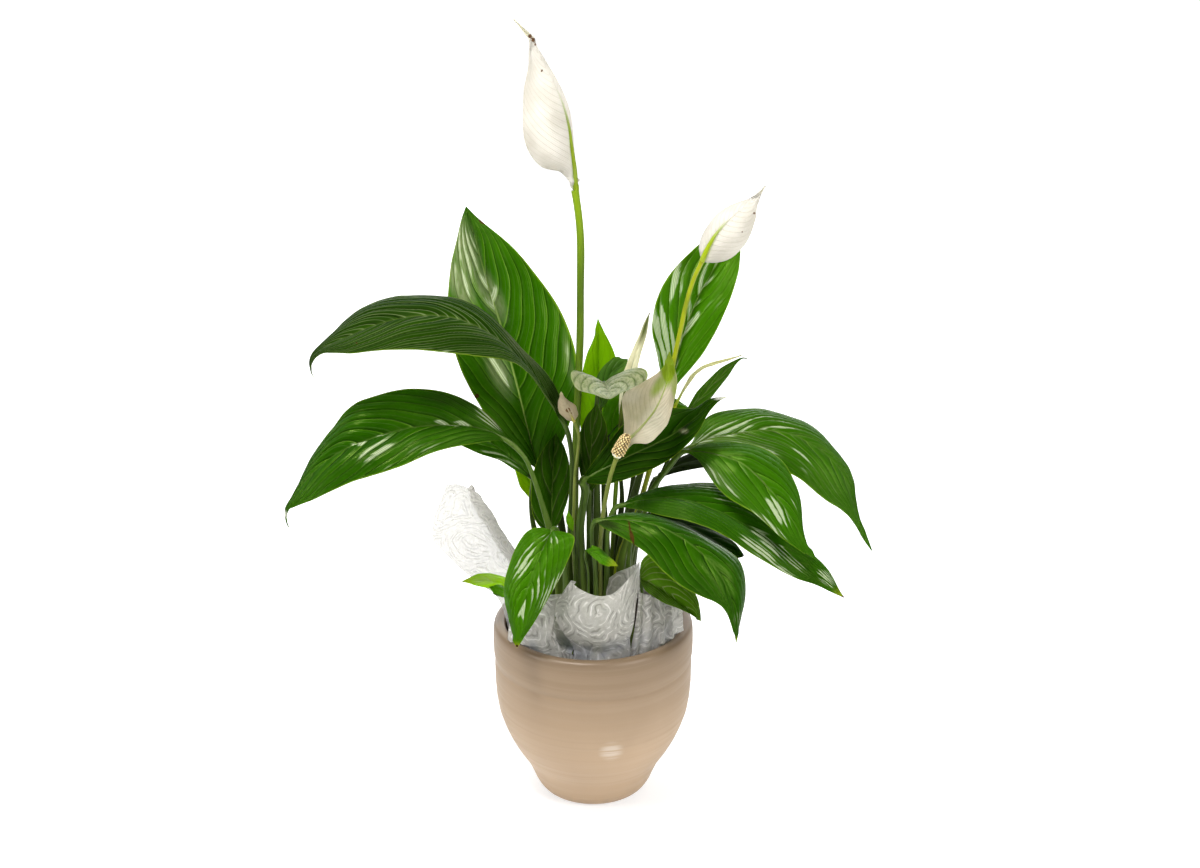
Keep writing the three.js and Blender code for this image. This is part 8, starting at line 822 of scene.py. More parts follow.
# painted highlight streaks along the ribs: same columns
GLOSS = {
    "leaf_01": [(467, 250, 34, 12, 75, 1.04), (459, 280, 24, 9, 65, 1.30), (490, 292, 26, 10, 62, 1.17), (500, 372, 26, 9, 68, 1.17), (507, 285, 50, 14, 62, 0.29), (568, 360, 34, 6, 80, 0.65)],
    "leaf_02": [(470, 322, 44, 12, 32, 0.35), (436, 350, 22, 2.5, 2, 1.0), (512, 340, 30, 6, 48, 0.6)],
    "leaf_03": [(492, 419, 22, 9, 35, 1.45), (452, 423, 24, 3.5, 3, 1.59), (372, 440, 30, 4, -15, 1.01), (376, 451, 26, 11, -35, 1.30), (397, 466, 16, 4, -15, 0.87), (420, 447, 30, 8, -10, 0.72)],
    "leaf_04": [(499, 457, 30, 5, 28, 1.20)],
    "leaf_06": [(545, 455, 8, 25, 10, 0.25)],
    "leaf_07": [(524, 562, 24, 7, -65, 2.18), (552, 589, 26, 5, -58, 2.18), (526, 602, 24, 6, -75, 1.58), (550, 539, 18, 5, 10, 0.99), (538, 590, 26, 8, -65, 1.19)],
    "leaf_08": [(482, 579, 16, 4, -5, 0.7)],
    "leaf_11": [(613, 364, 10, 6, -35, 0.5)],
    "leaf_12": [(664, 338, 44, 12, 78, 2.43), (690, 325, 28, 6, -66, 1.68), (676, 285, 34, 11, -60, 1.87), (700, 290, 40, 10, -62, 1.10), (652, 300, 26, 8, 80, 1.50), (712, 262, 30, 9, -55, 0.94), (715, 300, 30, 8, -65, 0.75)],
    "leaf_14": [(684, 431, 5, 3, 10, 1.0), (597, 452, 22, 3, -58, 0.7), (618, 468, 26, 4, -10, 0.4), (655, 420, 24, 4, -20, 0.3)],
    "leaf_15": [(738, 428, 38, 9, -8, 1.45), (778, 422, 30, 8, 10, 1.21), (742, 449, 42, 8, 5, 1.61), (805, 463, 22, 7, 50, 1.45), (703, 440, 16, 7, -20, 1.29), (830, 485, 24, 6, 62, 0.48)],
    "leaf_16": [(721, 481, 30, 5, 42, 1.69), (777, 511, 20, 8, 52, 2.19), (768, 525, 26, 4.5, 42, 2.19), (796, 504, 14, 4, 60, 0.84), (745, 470, 24, 7, 30, 0.51)],
    "leaf_18": [(707, 487, 14, 3, 5, 1.51), (729, 503, 20, 3, 20, 1.13), (762, 552, 30, 6, 38, 1.69), (772, 544, 36, 6, 42, 2.07), (786, 571, 18, 3.5, 28, 1.89), (793, 563, 18, 5, 38, 1.89), (827, 578, 13, 7, 45, 2.26)],
    "leaf_19": [(738, 618, 10, 5, -80, 1.0), (693, 545, 4, 2.5, 0, 0.6), (700, 560, 40, 14, 50, 0.15)],
    "leaf_20": [(691, 530, 18, 5, 45, 0.5)],
    "leaf_10": [(628, 378, 22, 6, -18, 0.5), (590, 385, 20, 6, 25, 0.5)],
    "leaf_13": [(702, 394, 20, 1.5, -48, 0.6)],
    "leaf_25": [(685, 405, 10, 3, 10, 0.9)],
}
PALE = {
    "leaf_03": [(284.5, 514.5, 2.6, 4.5, 0, 1.0)],
    "leaf_14": [(721, 398, 7, 1.8, -8, 0.8)],
}
# darker patches, mostly painted shade, some dark marks on the leaf: same columns
DARK_AND_SHADE = {
    "leaf_19": [(606, 523, 16, 5, 22, 0.75), (680, 524, 34, 4, 22, 0.35)],
    "leaf_03": [(285.5, 524, 2.0, 4.0, -25, 0.7), (455, 400, 40, 8, 8, 0.35), (500, 424, 12, 6, 40, 0.3)],
    "leaf_01": [(486, 360, 26, 9, 66, 0.25)],
    "leaf_16": [(707, 470, 20, 3, 50, 0.3)],
    "leaf_26": [(495, 595, 8, 2.0, 15, 0.6)],
    "leaf_22": [(605, 553, 8, 2.5, 35, 0.5)],
}


DULL = {"leaf_02", "leaf_06", "leaf_14", "leaf_17", "leaf_20", "leaf_24"}


def marks(table, name, u, v, soft):
    out = np.zeros_like(u)
    for (su, sv, ra, rb, an, st) in table.get(name, []):
        c_, s_ = math.cos(math.radians(an)), math.sin(math.radians(an))
        du_, dv_ = u - su, v - sv
        px = np.hypot((du_ * c_ + dv_ * s_) / ra, (-du_ * s_ + dv_ * c_) / rb)
        out = np.maximum(out, st * (smoothstep(1.3, 0.35, px) if soft else np.clip(1.4 - px, 0, 1)))
    return out


def blade_frames(d, n):
    t = 0.5 - 0.5 * np.cos(np.linspace(0, math.pi, n))
    t = 0.35 * t + 0.65 * np.linspace(0, 1, n)
    M = spline(ST, d["M"], t)
    L = spline(ST, d["L"], t)
    R = spline(ST, d["R"], t)
    T = unit(np.gradient(M, axis=0))
    wl = np.linalg.norm(L - M, axis=1)
    wr = np.linalg.norm(R - M, axis=1)
    # side direction where the blade is wide, carried to its ends
    S = R - L
    w = np.linalg.norm(S, axis=1)
    good = w > 0.12 * w.max()
    S = unit(S)
    i0, i1 = np.argmax(good), len(good) - 1 - np.argmax(good[::-1])
    for i in range(i0 - 1, -1, -1):
        S[i] = S[i + 1]
    for i in range(i1 + 1, n):
        S[i] = S[i - 1]
    return t, M, L, R, T, S, wl, wr


def side_normals(M, L, R, T, S, wl, wr):
    ok = lambda a, b: np.where((a > 1.2)[:, None], b, S)
    nl = unit(np.cross(ok(wl, unit(M - L)), T))
    nr = unit(np.cross(ok(wr, unit(R - M)), T))
    return nl, nr


def leaf(name, d, look):
    big = max(np.linalg.norm(np.diff(np.array(d["M"]), axis=0), axis=1).sum(), 1)
    rows = int(np.clip(big * 0.62, 40, 150))
    half = int(np.clip(big * 0.15, 12, 30))
    t, M, L, R, T, S, wl, wr = blade_frames(d, rows)
    nl, nr = side_normals(M, L, R, T, S, wl, wr)
    nm = unit(nl + nr)
    cols = np.arange(-half, half + 1)
    s = cols / half
    # closer columns at the midrib and the margin
    # distance of each column from the midrib, and its side
    f = np.abs(s)
    sg = np.sign(s)
    veins = max(4.0, big / look.get("gap", 24.0))
    seed = int(name[-2:])
    amp = look.get("amp", 1.30) * np.clip(np.maximum(wl, wr) / 34.0, 0.25, 1.0)
    bend = look.get("sweep", 0.46)
    tw = t + 0.10 / veins * np.sin(t * veins * 2.1 + seed) + 0.07 / veins * np.sin(t * veins * 3.7 + 2 * seed)
    P = np.zeros((rows, len(cols), 3))
    N = np.zeros_like(P)
    PH = np.zeros((rows, len(cols)))
    for j, (ff, g) in enumerate(zip(f, sg)):
        E, w, nn = (L, wl, nl) if g < 0 else (R, wr, nr)
        bulge = d["cam"] * w * math.sin(math.pi * ff ** 0.85) * 1.05
        P[:, j] = M + (E - M) * ff + nn * bulge[:, None]
        k = smoothstep(0.0, 0.25, ff)
        N[:, j] = unit(nm * (1 - k) + nn * k)
        PH[:, j] = veins * (tw - bend * ff ** 1.35) + (0.5 if g < 0 else 0.0) + seed * 3 + 20
    q = np.abs((PH % 1.0) - 0.5) * 2  # 1 on a vein, 0 between
    dd = 1 - q
    relief = 0.62 * np.sin(dd * math.pi / 2) + 0.38 * (1 - np.exp(-dd * 7.0)) - 1.0
    mask = np.minimum(1, f * 5)[None, :] * np.minimum(1, (1 - f) * 4.5)[None, :] * np.minimum(1, np.minimum(t * 14, (1 - t) * 7))[:, None]
    # uneven surface: broad swells and small blisters
    sw = np.zeros_like(PH)
    for i in range(rows):
        for j in range(len(cols)):
            q3 = P[i, j]
            sw[i, j] = 1.0 * noise.noise(Vector((q3[0] * 0.035 + seed * 7, q3[1] * 0.035, q3[2] * 0.035))) + 0.30 * noise.noise(Vector((q3[0] * 0.12, q3[1] * 0.12 + seed, q3[2] * 0.12)))
    sw = sw * np.minimum(1, np.minimum(t * 8, (1 - t) * 6))[:, None] * np.clip(big / 160, 0.3, 1.0)
    # slight waves along the margin
    ph0 = hash01(seed, 3) * 6.28
    wave = np.sin(t * (9 + 5 * hash01(seed, 5)) + ph0)[:, None] * (f ** 3)[None, :] * np.minimum(wl, wr).clip(0, 30)[:, None] * 0.022
    relief2 = relief * amp[:, None] * mask + wave + sw * np.minimum(1, 0.35 + f)[None, :]
    # broad unevenness
    top = P + N * relief2[:, :, None]
    thick = 0.42 * np.minimum(1, (1 - f) * 6 + 0.3)[None, :] * np.ones((rows, 1))
    bot = top - N * thick[:, :, None]
    dT = smoothstep(0.0, 0.02, t)[:, None] * np.ones((1, len(cols)))
    tip = look.get("tip")
    TT = t[:, None] * np.ones((1, len(cols)))
    yel = np.zeros_like(TT)
    if tip:
        yel = smoothstep(tip[0], min(1.0, tip[0] + 0.10 + 0.25 * (tip[0] < 0.8)), TT) * tip[1]
    u, v = project(top)
    spot = marks(SPOTS, name, u, v, False)
    sheen = marks(SHEEN, name, u, v, True)
    if "sheen" in look:
        sheen = np.maximum(sheen, look["sheen"])
    SD = f[None, :] * np.ones((rows, 1))
    attrs = dict(ph=PH, sd=SD, tt=TT, yel=yel, spot=spot, sheen=sheen, tone=look.get("tone", 0.0), olv=look.get("olv", 0.0),
                 gl=marks(GLOSS, name, u, v, True), pale=marks(PALE, name, u, v, True), dk=np.maximum(marks(DARK_AND_SHADE, name, u, v, True), look.get("dk", 0.0)), comb=np.maximum(look.get("comb", 0.10), marks(COMB, name, u, v, True)), ribs=look.get("ribs", 0.35), crease=look.get("crease", 0.0))
    b = Build()
    uv = np.stack([TT, 0.5 + 0.5 * s[None, :] * np.ones((rows, 1))], -1)
    b.grid(top, 0, uv=uv, **attrs)
    b.grid(bot, 1, flip=True, uv=uv, **dict(attrs, gl=0.0, sheen=sheen * 0.3))
    # rim between the two faces along both margins
    for j, fl in ((0, False), (len(cols) - 1, True)):
        rim = np.stack([bot[:, j], top[:, j]], 1)
        b.grid(rim, 1, flip=fl, **{k2: (np.repeat(x[:, j:j + 1], 2, 1) if np.ndim(x) else x) for k2, x in attrs.items()})
    # stalk, running on as the raised rib under the blade
    length = np.linalg.norm(np.diff(np.array(d["P"]), axis=0), axis=1).sum()
    ns = int(np.clip(length / 5, 14, 80))
    pts = [np.array(q, float) for q in d["P"]]
    ext = [M[int(rows * x)] - nm[int(rows * x)] * (0.4 + 0.6 * d["rad"][1] * (1 - x)) for x in (0.04, 0.12, 0.25, 0.4, 0.6, 0.8)]
    path = run(pts + ext, ns + 30)
    tl = np.linspace(0, 1, len(path))
    # distance share at which the blade starts
    cut = np.argmin(np.linalg.norm(path - pts[-1], axis=1)) / (len(path) - 1)
    ta = unit(np.gradient(path, axis=0))
    # carry the side vector down from the blade
    side = np.zeros_like(path)
    s0 = S[min(4, rows - 1)]
    i_cut = int(cut * (len(path) - 1))
    side[i_cut] = unit(s0 - ta[i_cut] * (s0 @ ta[i_cut]))
    for i in range(i_cut - 1, -1, -1):
        side[i] = unit(side[i + 1] - ta[i] * (side[i + 1] @ ta[i]))
    for i in range(i_cut + 1, len(path)):
        side[i] = unit(side[i - 1] - ta[i] * (side[i - 1] @ ta[i]))
    up = unit(np.cross(side, ta))
    r0, r1 = d["rad"]
    low = np.clip(tl / max(cut, 1e-3), 0, 1)
    r = np.where(tl <= cut, r0 * 1.18 + (r1 - r0 * 1.18) * low, r1 * np.clip(1 - (tl - cut) / (1 - cut), 0.12, 1) ** 0.9)
    # sheath: wings either side of a channel on the lower part
    sheath = smoothstep(0.85, 0.20, low) if length > 90 else 0.0 * low
    knee = np.exp(-((low - 0.97) / 0.05) ** 2) * 0.22 * (tl <= cut + 0.02)
    K = 14
    ang = np.linspace(0, 2 * math.pi, K, endpoint=False)
    ca, sa = np.cos(ang), np.sin(ang)
    groove = np.exp(-((ang - math.pi / 2) / 0.55) ** 2)
    rad = r[:, None] * (1 + knee[:, None]) * (1 - 0.42 * groove[None, :] * np.where(tl <= cut, 1, 0.0)[:, None])
    px = rad * ca[None, :] * (1 + WING.get(name, 1.15) * sheath[:, None])
    py = rad * sa[None, :]
    tube = path[:, None] + side[:, None] * px[..., None] + up[:, None] * py[..., None]
    ttube = np.repeat(low[:, None], K, 1)
    pale = np.repeat((sheath * 0.0)[:, None], K, 1)
    # painted shade on the stalk: darker for stalks further back in the bundle and for leaves in shade
    stalk_shade = float(np.clip(0.25 * max(-look.get("tone", 0.0), 0) + (d["P"][0][1] + 8) / 30, 0.0, 0.85))
    b.grid(tube, 2, wrap=True, flip=True, tt=ttube, yel=pale, spot=stalk_shade, tone=look.get("tone", 0.0))
    b.cap(tube[0], 2, flip=False, tt=0.0, spot=stalk_shade)
    b.cap(tube[-1], 2, flip=True, tt=1.0, spot=stalk_shade)
    b.make("lily_" + name, [M_DULL if name in DULL else M_TOP, M_UNDER, M_STALK], replaces=name)


LEAVES = T["leaves"]
WING = {"leaf_14": 0.75, "leaf_24": 1.6, "leaf_02": 1.5, "leaf_12": 1.5, "leaf_25": 1.5, "leaf_28": 1.5, "leaf_03": 0.9, "leaf_17": 1.6}
for d in LEAVES:
    leaf(d["name"], d, LOOK.get(d["name"], {}))


# ---------------------------------------------------------------- flowers
def spathe(name, d, mat, veins=16, green_rib=(0.0, 0.5, 0.05), yellow=None, spots=(), tipgreen=None, sweep=0.55, amp=0.35, uneven=0.0, size=(110, 26), lites=(), ribg=1.0, greens=()):
    rows, half = size
    t, M, L, R, T_, S, wl, wr = blade_frames(d, rows)
    nl, nr = side_normals(M, L, R, T_, S, wl, wr)
    nm = unit(nl + nr)
    cols = np.arange(-half, half + 1)
    s = cols / half
    f, sg = np.abs(s), np.sign(s)
    P = np.zeros((rows, len(cols), 3))
    N = np.zeros_like(P)
    PH = np.zeros((rows, len(cols)))
    for j, (ff, g) in enumerate(zip(f, sg)):
        E, w, nn = (L, wl, nl) if g < 0 else (R, wr, nr)
        bulge = -d["cam"] * w * 4 * ff * (1 - ff)
        P[:, j] = M + (E - M) * ff + nn * bulge[:, None]
        k = smoothstep(0.0, 0.5, ff)
        N[:, j] = unit(nm * (1 - k) + nn * k)
        PH[:, j] = veins * (t - sweep * ff ** 1.2) + 20
    q = np.abs((PH % 1.0) - 0.5) * 2
    relief = (np.sin((1 - q) * math.pi / 2) - 1) * amp
    mask = np.minimum(1, f * 4)[None, :] * np.minimum(1, (1 - f) * 5)[None, :] * np.minimum(1, np.minimum(t * 10, (1 - t) * 6))[:, None]
    wv = np.sin(t * 21 + 1.3)[:, None] * (f ** 2)[None, :] * uneven * np.sin(math.pi * t)[:, None]
    out = P + N * (relief * mask + wv)[..., None]
    th = 0.4
    inn = out - N * th
    TT = t[:, None] * np.ones((1, len(cols)))
    SD = f[None, :] * np.ones((rows, 1))
    wr_mm = np.maximum(np.maximum(wl, wr), 1.0)[:, None] * SD
    g0, g1, gw = green_rib
    green = smoothstep(1.0, 0.0, np.clip(wr_mm / (gw * 60 * np.clip(1.15 - TT / max(g1, 1e-3), 0.12, 1.0)), 0, 1)) * smoothstep(g1 + 0.15, g1 - 0.15, TT)
    if tipgreen:
        green = np.maximum(green, tipgreen[1] * smoothstep(tipgreen[0], min(1, tipgreen[0] + 0.2), TT) * smoothstep(1.15, 0.1, SD * 1.0))
    yel = np.zeros_like(TT)
    if yellow:
        yel = smoothstep(yellow[0], yellow[1], TT) * yellow[2]
    spot = np.zeros_like(TT)
    u, v = project(out)
    for (su, sv, rad, st) in spots:
        px = np.hypot(u - su, v - sv) * 0.84
        spot = np.maximum(spot, st * np.clip(1.4 - px / rad, 0, 1))
    at = dict(ph=PH, sd=SD, tt=TT, yel=yel, spot=spot, green=green, lite=marks({name: lites}, name, u, v, True))
    at["green"] = np.maximum(green, marks({name: greens}, name, u, v, True))
    b = Build()
    uv = np.stack([TT, 0.5 + 0.5 * s[None, :] * np.ones((rows, 1))], -1)
    b.grid(out, 0, uv=uv, **at)
    b.grid(inn, 0, flip=True, uv=uv, **at)
    for j, fl in ((0, False), (len(cols) - 1, True)):
        rim = np.stack([inn[:, j], out[:, j]], 1)
        b.grid(rim, 0, flip=fl, **{k2: np.repeat(x[:, j:j + 1], 2, 1) for k2, x in at.items()})
    # raised midrib on the outside
    rr = d["rad"][0] * np.clip(1 - t / 0.8, 0.08, 1) ** 1.3
    K = 10
    ang = np.linspace(0, 2 * math.pi, K, endpoint=False)
    c = M - nm * (rr * 0.35 + 0.15)[:, None]
    tube = c[:, None] + S[:, None] * (rr[:, None] * np.cos(ang))[..., None] + nm[:, None] * (rr[:, None] * np.sin(ang))[..., None]
    tt2 = np.repeat(t[:, None], K, 1)
    gr2 = smoothstep(g1 + 0.2, g1 - 0.15, tt2) * ribg
    b.grid(tube, 0, wrap=True, ph=0.25, sd=0.0, tt=tt2, green=gr2, yel=np.repeat(yel[:, :1], K, 1) if yellow else 0.0)
    b.cap(tube[0], 0, flip=True, ph=0.25, green=gr2.max())
    b.make("lily_" + name, [mat], replaces=name)


SP = {d["name"]: d for d in T["spathes"]}
spathe("spathe_1", SP["spathe_1"], M_SPATHE, veins=22, green_rib=(0, 0.42, 0.055), yellow=(0.84, 0.9, 0.55), spots=[(529.5, 36.5, 1.8, 1.2), (533, 40.0, 2.0, 1.2), (534.5, 44.5, 1.1, 1.1), (537, 40.5, 0.8, 1.3), (541.5, 71, 1.1, 1.4), (552, 169, 1.5, 0.6)], sweep=0.35, amp=0.4, uneven=0.6)
spathe("spathe_2", SP["spathe_2"], M_SPATHE2, veins=16, green_rib=(0, 0.38, 0.065), yellow=(0.86, 0.95, 0.3), spots=[(754, 213, 1.1, 1.3), (742, 231.5, 1.0, 1.0)], sweep=0.4, amp=0.35, uneven=0.5)
# spathe_3: darkened cream as painted shade, with listed patches of painted light
spathe("spathe_3", SP["spathe_3"], M_SPATHE3, veins=15, green_rib=(0, 0.95, 0.008), tipgreen=(0.80, 0.95), sweep=0.45, amp=0.4, uneven=0.8, ribg=0.55, greens=[(669, 362, 9, 24, 4, 1.8), (660, 384, 6, 16, 35, 0.7), (675, 385, 5, 16, -6, 0.6)], lites=[(655, 425, 16, 30, 25, 0.45), (650, 440, 22, 6, 5, 0.4), (632, 396, 12, 8, -25, 0.25), (664, 395, 8, 18, 15, 0.28)])
spathe("spathe_4", SP["spathe_4"], M_SPATHE4, veins=9, green_rib=(0, 0.5, 0.004), tipgreen=(0.66, 0.95), sweep=0.3, amp=0.12, size=(80, 12))
spathe("spathe_5", SP["spathe_5"], M_SPATHE5, veins=8, green_rib=(0, 0.9, 0.006), yellow=(0.0, 0.25, 0.8), sweep=0.3, amp=0.05, size=(80, 8))
spathe("spathe_6", SP["spathe_6"], M_WITHER, veins=9, green_rib=(0, 0.2, 0.02), yellow=(0.85, 1.0, 0.9), spots=[(568, 410, 2.2, 1.2), (571, 413, 1.2, 0.9)], sweep=0.4, amp=0.6, uneven=0.8, size=(50, 16))


def tube_piece(name, pts, r0, r1, mat, n=70, K=14, wob=0.03):
    path = run(pts, n)
    ta = unit(np.gradient(path, axis=0))
    side = np.zeros_like(path)
    s0 = np.array([1.0, 0.05, 0.0])
    for i in range(n):
        s0 = unit(s0 - ta[i] * (s0 @ ta[i]))
        side[i] = s0
    up = np.cross(side, ta)
    k = np.linspace(0, 1, n)
    r = r0 + (r1 - r0) * k
    ang = np.linspace(0, 2 * math.pi, K, endpoint=False)
    rad = r[:, None] * (1 + wob * np.sin(ang * 5)[None, :] + 0.03 * np.sin(k * 37 + 1)[:, None])
    tube = path[:, None] + side[:, None] * (rad * np.cos(ang))[..., None] + up[:, None] * (rad * np.sin(ang))[..., None]
    b = Build()
    tt = np.repeat(k[:, None], K, 1)
    b.grid(tube, 0, wrap=True, flip=True, tt=tt, yel=0.0, spot=0.0)
    b.cap(tube[0], 0, flip=False, tt=0.0)
    b.cap(tube[-1], 0, flip=True, tt=1.0)
    return b.make("lily_" + name, [mat], replaces=name)


for d in T["stems"]:
    tube_piece(d["name"], [np.array(q, float) for q in d["P"]], d["rad"][0], d["rad"][1], {"flower_stem_2": M_STEM2, "flower_stem_3": M_STEM3, "flower_stem_5": M_STEM2, "flower_stem_6": M_STEM3}.get(d["name"], M_STEM), n=90)



def spadix(name, d, stipe=0.12):
    a, b_ = (np.array(q, float) for q in d["P"])
    ax = unit(b_ - a)
    side = unit(np.cross(ax, np.array([0.1, 1.0, 0.2])))
    up = np.cross(side, ax)
    ln = np.linalg.norm(b_ - a)
    r = d["r"]
    b = Build()
    n, K = 30, 20
    k = np.linspace(0, 1, n)
    prof = np.sqrt(np.clip(1 - ((k - 0.42) / 0.60) ** 4, 0, 1)) * (1 - 0.16 * k)
    prof[0], prof[-1] = 0.45, 0.05
    ang = np.linspace(0, 2 * math.pi, K, endpoint=False)
    core = a + ax * (k * ln)[:, None]
    rad = 0.80 * r * prof
    tube = core[:, None] + side * (rad[:, None] * np.cos(ang))[..., None] + up * (rad[:, None] * np.sin(ang))[..., None]
    b.grid(tube, 0, wrap=True, tt=0.0, yel=np.repeat(smoothstep(stipe + 0.05, stipe - 0.03, k)[:, None], K, 1))
    b.cap(tube[0], 0, flip=True, yel=1.0)
    b.cap(tube[-1], 0, tt=0.3)
    # florets in a close spiral
    size = max(0.55, r * 0.20)
    count = int(2 * math.pi * r * ln * 0.9 / (size * size * 4.7))
    count = min(count, 300)
    import bmesh
    bm = bmesh.new()
    bmesh.ops.create_icosphere(bm, subdivisions=2, radius=1.0)
    sv = np.array([v.co[:] for v in bm.verts])
    sf = [[v.index for v in f.verts] for f in bm.faces]
    bm.free()
    sf = np.array([x + [x[2]] for x in sf])
    for i in range(count):
        z = stipe + (0.985 - stipe) * (i + 0.5) / count
        th = i * 2.399963
        rr = np.interp(z, k, prof) * r * 0.9
        nn = side * math.cos(th) + up * math.sin(th)
        if z > 0.9:
            nn = unit(nn * (1 - (z - 0.9) * 6) + ax * (z - 0.9) * 9)
        tn = unit(np.cross(ax, nn))
        tb = np.cross(nn, tn)
        c = a + ax * z * ln + (side * math.cos(th) + up * math.sin(th)) * rr
        sz = size * (0.85 + 0.3 * hash01(i, 2))
        V = c + (tn * (sv[:, :1] * sz * 0.92) + tb * (sv[:, 1:2] * sz * 0.88) + nn * (sv[:, 2:3] * sz * 1.05))
        lift = smoothstep(0.45, 0.95, 0.5 + 0.5 * sv[:, 2])
        b.add(V, sf, 0, tt=np.clip(lift * (0.75 + 0.35 * hash01(i, 7)), 0, 1), yel=0.0)
    b.make("lily_" + name, [M_SPADIX], replaces=name)


for d in T["spadices"]:
    spadix(d["name"], d)

# ---------------------------------------------------------------- cover pot
OUT = [(0, 0), (37, 0), (41.4, 0.7), (45.8, 3), (49.9, 9.5), (52.4, 16), (57.6, 28), (65.1, 40), (71.7, 52.5), (76.5, 64.5), (79.9, 76), (81.9, 88), (82.8, 100), (82.9, 119), (82.5, 122.6), (83.5, 126.5), (83.8, 138), (83.5, 149), (82.8, 153.2), (81.6, 155), (79.5, 155.9)]
INN = [(76.5, 156), (74.4, 155.6), (73.4, 154.2), (73.8, 148), (75.4, 138), (76.6, 126), (77, 112), (76.8, 100), (76.1, 88), (74.3, 76), (71.1, 64.5), (66.4, 52.5), (59.9, 40), (52.4, 28), (47.6, 17), (45.6, 12.9), (43, 12), (0, 12)]


def dense(profile, step):
    p = np.array(profile, float)
    d = np.concatenate([[0], np.cumsum(np.linalg.norm(np.diff(p, axis=0), axis=1))])
    n = int(d[-1] / step)
    t = np.linspace(0, d[-1], n)
    q = np.stack([np.interp(t, d, p[:, 0]), np.interp(t, d, p[:, 1])], 1)
    for _ in range(int(5.0 / step)):
        q[1:-1] = 0.25 * q[:-2] + 0.5 * q[1:-1] + 0.25 * q[2:]
    return q


def lathe(name, profile, mat, seg=192, disp=None):
    K = np.linspace(0, 2 * math.pi, seg, endpoint=False)
    r = profile[:, 0][:, None] * np.ones(seg)
    z = profile[:, 1][:, None] * np.ones(seg)
    if disp is not None:
        dr = disp(profile, K)
        r = r + dr
    P = np.stack([r * np.cos(K), r * np.sin(K), z], -1)
    b = Build()
    b.grid(P, 0, wrap=True, uv=np.stack([np.repeat(K[None, :] / 6.2832, len(profile), 0), z / 160], -1))
    return b.make(name, [mat], replaces=name.replace("lily_", ""), weld=0.00002)


prof = dense(OUT + INN, 1.3)


def throwing(profile, K):
    """Finger ridges left by throwing: slightly wavering, only on the outside wall."""
    z = profile[:, 1]
    r = profile[:, 0]
    outside = np.zeros(len(z))
    peak = np.argmax(z)
    outside[:peak] = smoothstep(8, 25, z[:peak]) * smoothstep(156, 150, z[:peak])
    out = np.zeros((len(z), len(K)))
    for i, zz in enumerate(z):
        if outside[i] <= 0:
            continue
        w = zz + 1.1 * np.sin(K + 0.4) + 0.5 * np.sin(2 * K + 2.0)
        a = 0.10 * np.sin(w / 5.4 + 0.6 * np.sin(w / 17)) + 0.05 * np.sin(w / 2.3 + 1.0) + 0.10 * np.sin(w / 11.0 + 2)
        low = 0.35 + 0.65 * smoothstep(90, 75, zz) * smoothstep(35, 50, zz) + 0.35 * math.exp(-((zz - 105) / 12) ** 2)
        out[i] = a * outside[i] * low
        band = math.exp(-((zz - 122) / 1.6) ** 2)
        out[i] -= 0.35 * band
    return out


lathe("lily_ceramic_pot", prof, M_POT, seg=176, disp=throwing)


def dress(node, mat):
    o = NODES[node]
    o.data.materials.clear()
    o.data.materials.append(mat)


dress("nursery_pot", M_NURSERY)

# ---------------------------------------------------------------- soil
b = Build()
nr_, nk = 60, 150
rr = np.linspace(0, 1, nr_)
ka = np.linspace(0, 2 * math.pi, nk, endpoint=False)
top = np.zeros((nr_, nk, 3))
for i, q in enumerate(rr):
    for j, a in enumerate(ka):
        r = 55.6 * q
        x, y = r * math.cos(a), r * math.sin(a)
        h = noise.fractal(Vector((x * 0.09, y * 0.09, 3.1)), 1.0, 2.0, 4)
        h2 = abs(noise.noise(Vector((x * 0.45, y * 0.45, 9.0))))
        top[i, j] = (x, y, 139.4 + 1.2 * (1 - q * q) + (1.1 * h + 0.9 * h2) * (1 if i else 0))
b.grid(top, 0, wrap=True)
b.make("lily_potting_soil", [M_SOIL], replaces="potting_soil")

# ---------------------------------------------------------------- gift wrap
def net(ctrl, nu, nv):
    """Fine surface through a net of control points, rows upward and columns across."""
    C = np.array(ctrl, float)
    r, c = C.shape[:2]
    across = np.stack([spline(np.linspace(0, 1, c), C[i], np.linspace(0, 1, nv)) for i in range(r)])
    return np.stack([spline(np.linspace(0, 1, r), across[:, j], np.linspace(0, 1, nu)) for j in range(nv)], 1)


def crumple(P, amp, fine, seed, lo=0.0):
    """Push a surface in and out along its normal: long soft folds with sharper creases."""
    N = unit(np.cross(np.gradient(P, axis=1), np.gradient(P, axis=0)))
    r, c = P.shape[:2]
    f = np.zeros((r, c))
    for i in range(r):
        for j in range(c):
            p = P[i, j]
            a = noise.noise(Vector((p[0] * 0.06 + seed, p[1] * 0.06, p[2] * 0.035)))
            b_ = noise.noise(Vector((p[0] * 0.15 + seed, p[1] * 0.15, p[2] * 0.07 + 3)))
            f[i, j] = amp * a + fine * (1 - 2.2 * abs(b_))
    return P + N * f[..., None]


def surface_uv(P, u0, v0):
    du = np.concatenate([np.zeros((P.shape[0], 1)), np.linalg.norm(np.diff(P, axis=1), axis=2)], 1)
    dv = np.concatenate([np.zeros((1, P.shape[1])), np.linalg.norm(np.diff(P, axis=0), axis=2)], 0)
    U = np.cumsum(du, 1)
    U = U - U.mean(1, keepdims=True)
    V = np.cumsum(dv, 0)
    return np.stack([U / 1000 + u0, V / 1000 + v0], -1)


def uvy(rows):
    return [[unproject(*q) for q in r] for r in rows]


# radius of the cover pot's inside and of the nursery pot's outside, mm, by height
COVER_IN = ([50, 60, 70, 80, 90, 100, 110, 120, 130, 138, 142, 146, 150, 154, 156], [65.0, 69.2, 72.4, 74.7, 76.0, 76.6, 76.7, 76.5, 76.0, 75.2, 74.5, 73.9, 73.4, 73.2, 73.4])
NURSERY_OUT = ([50, 70, 90, 110, 130, 138, 140, 142, 150], [47.7, 50.1, 52.4, 54.8, 57.2, 58.1, 61.9, 62.3, 62.3])


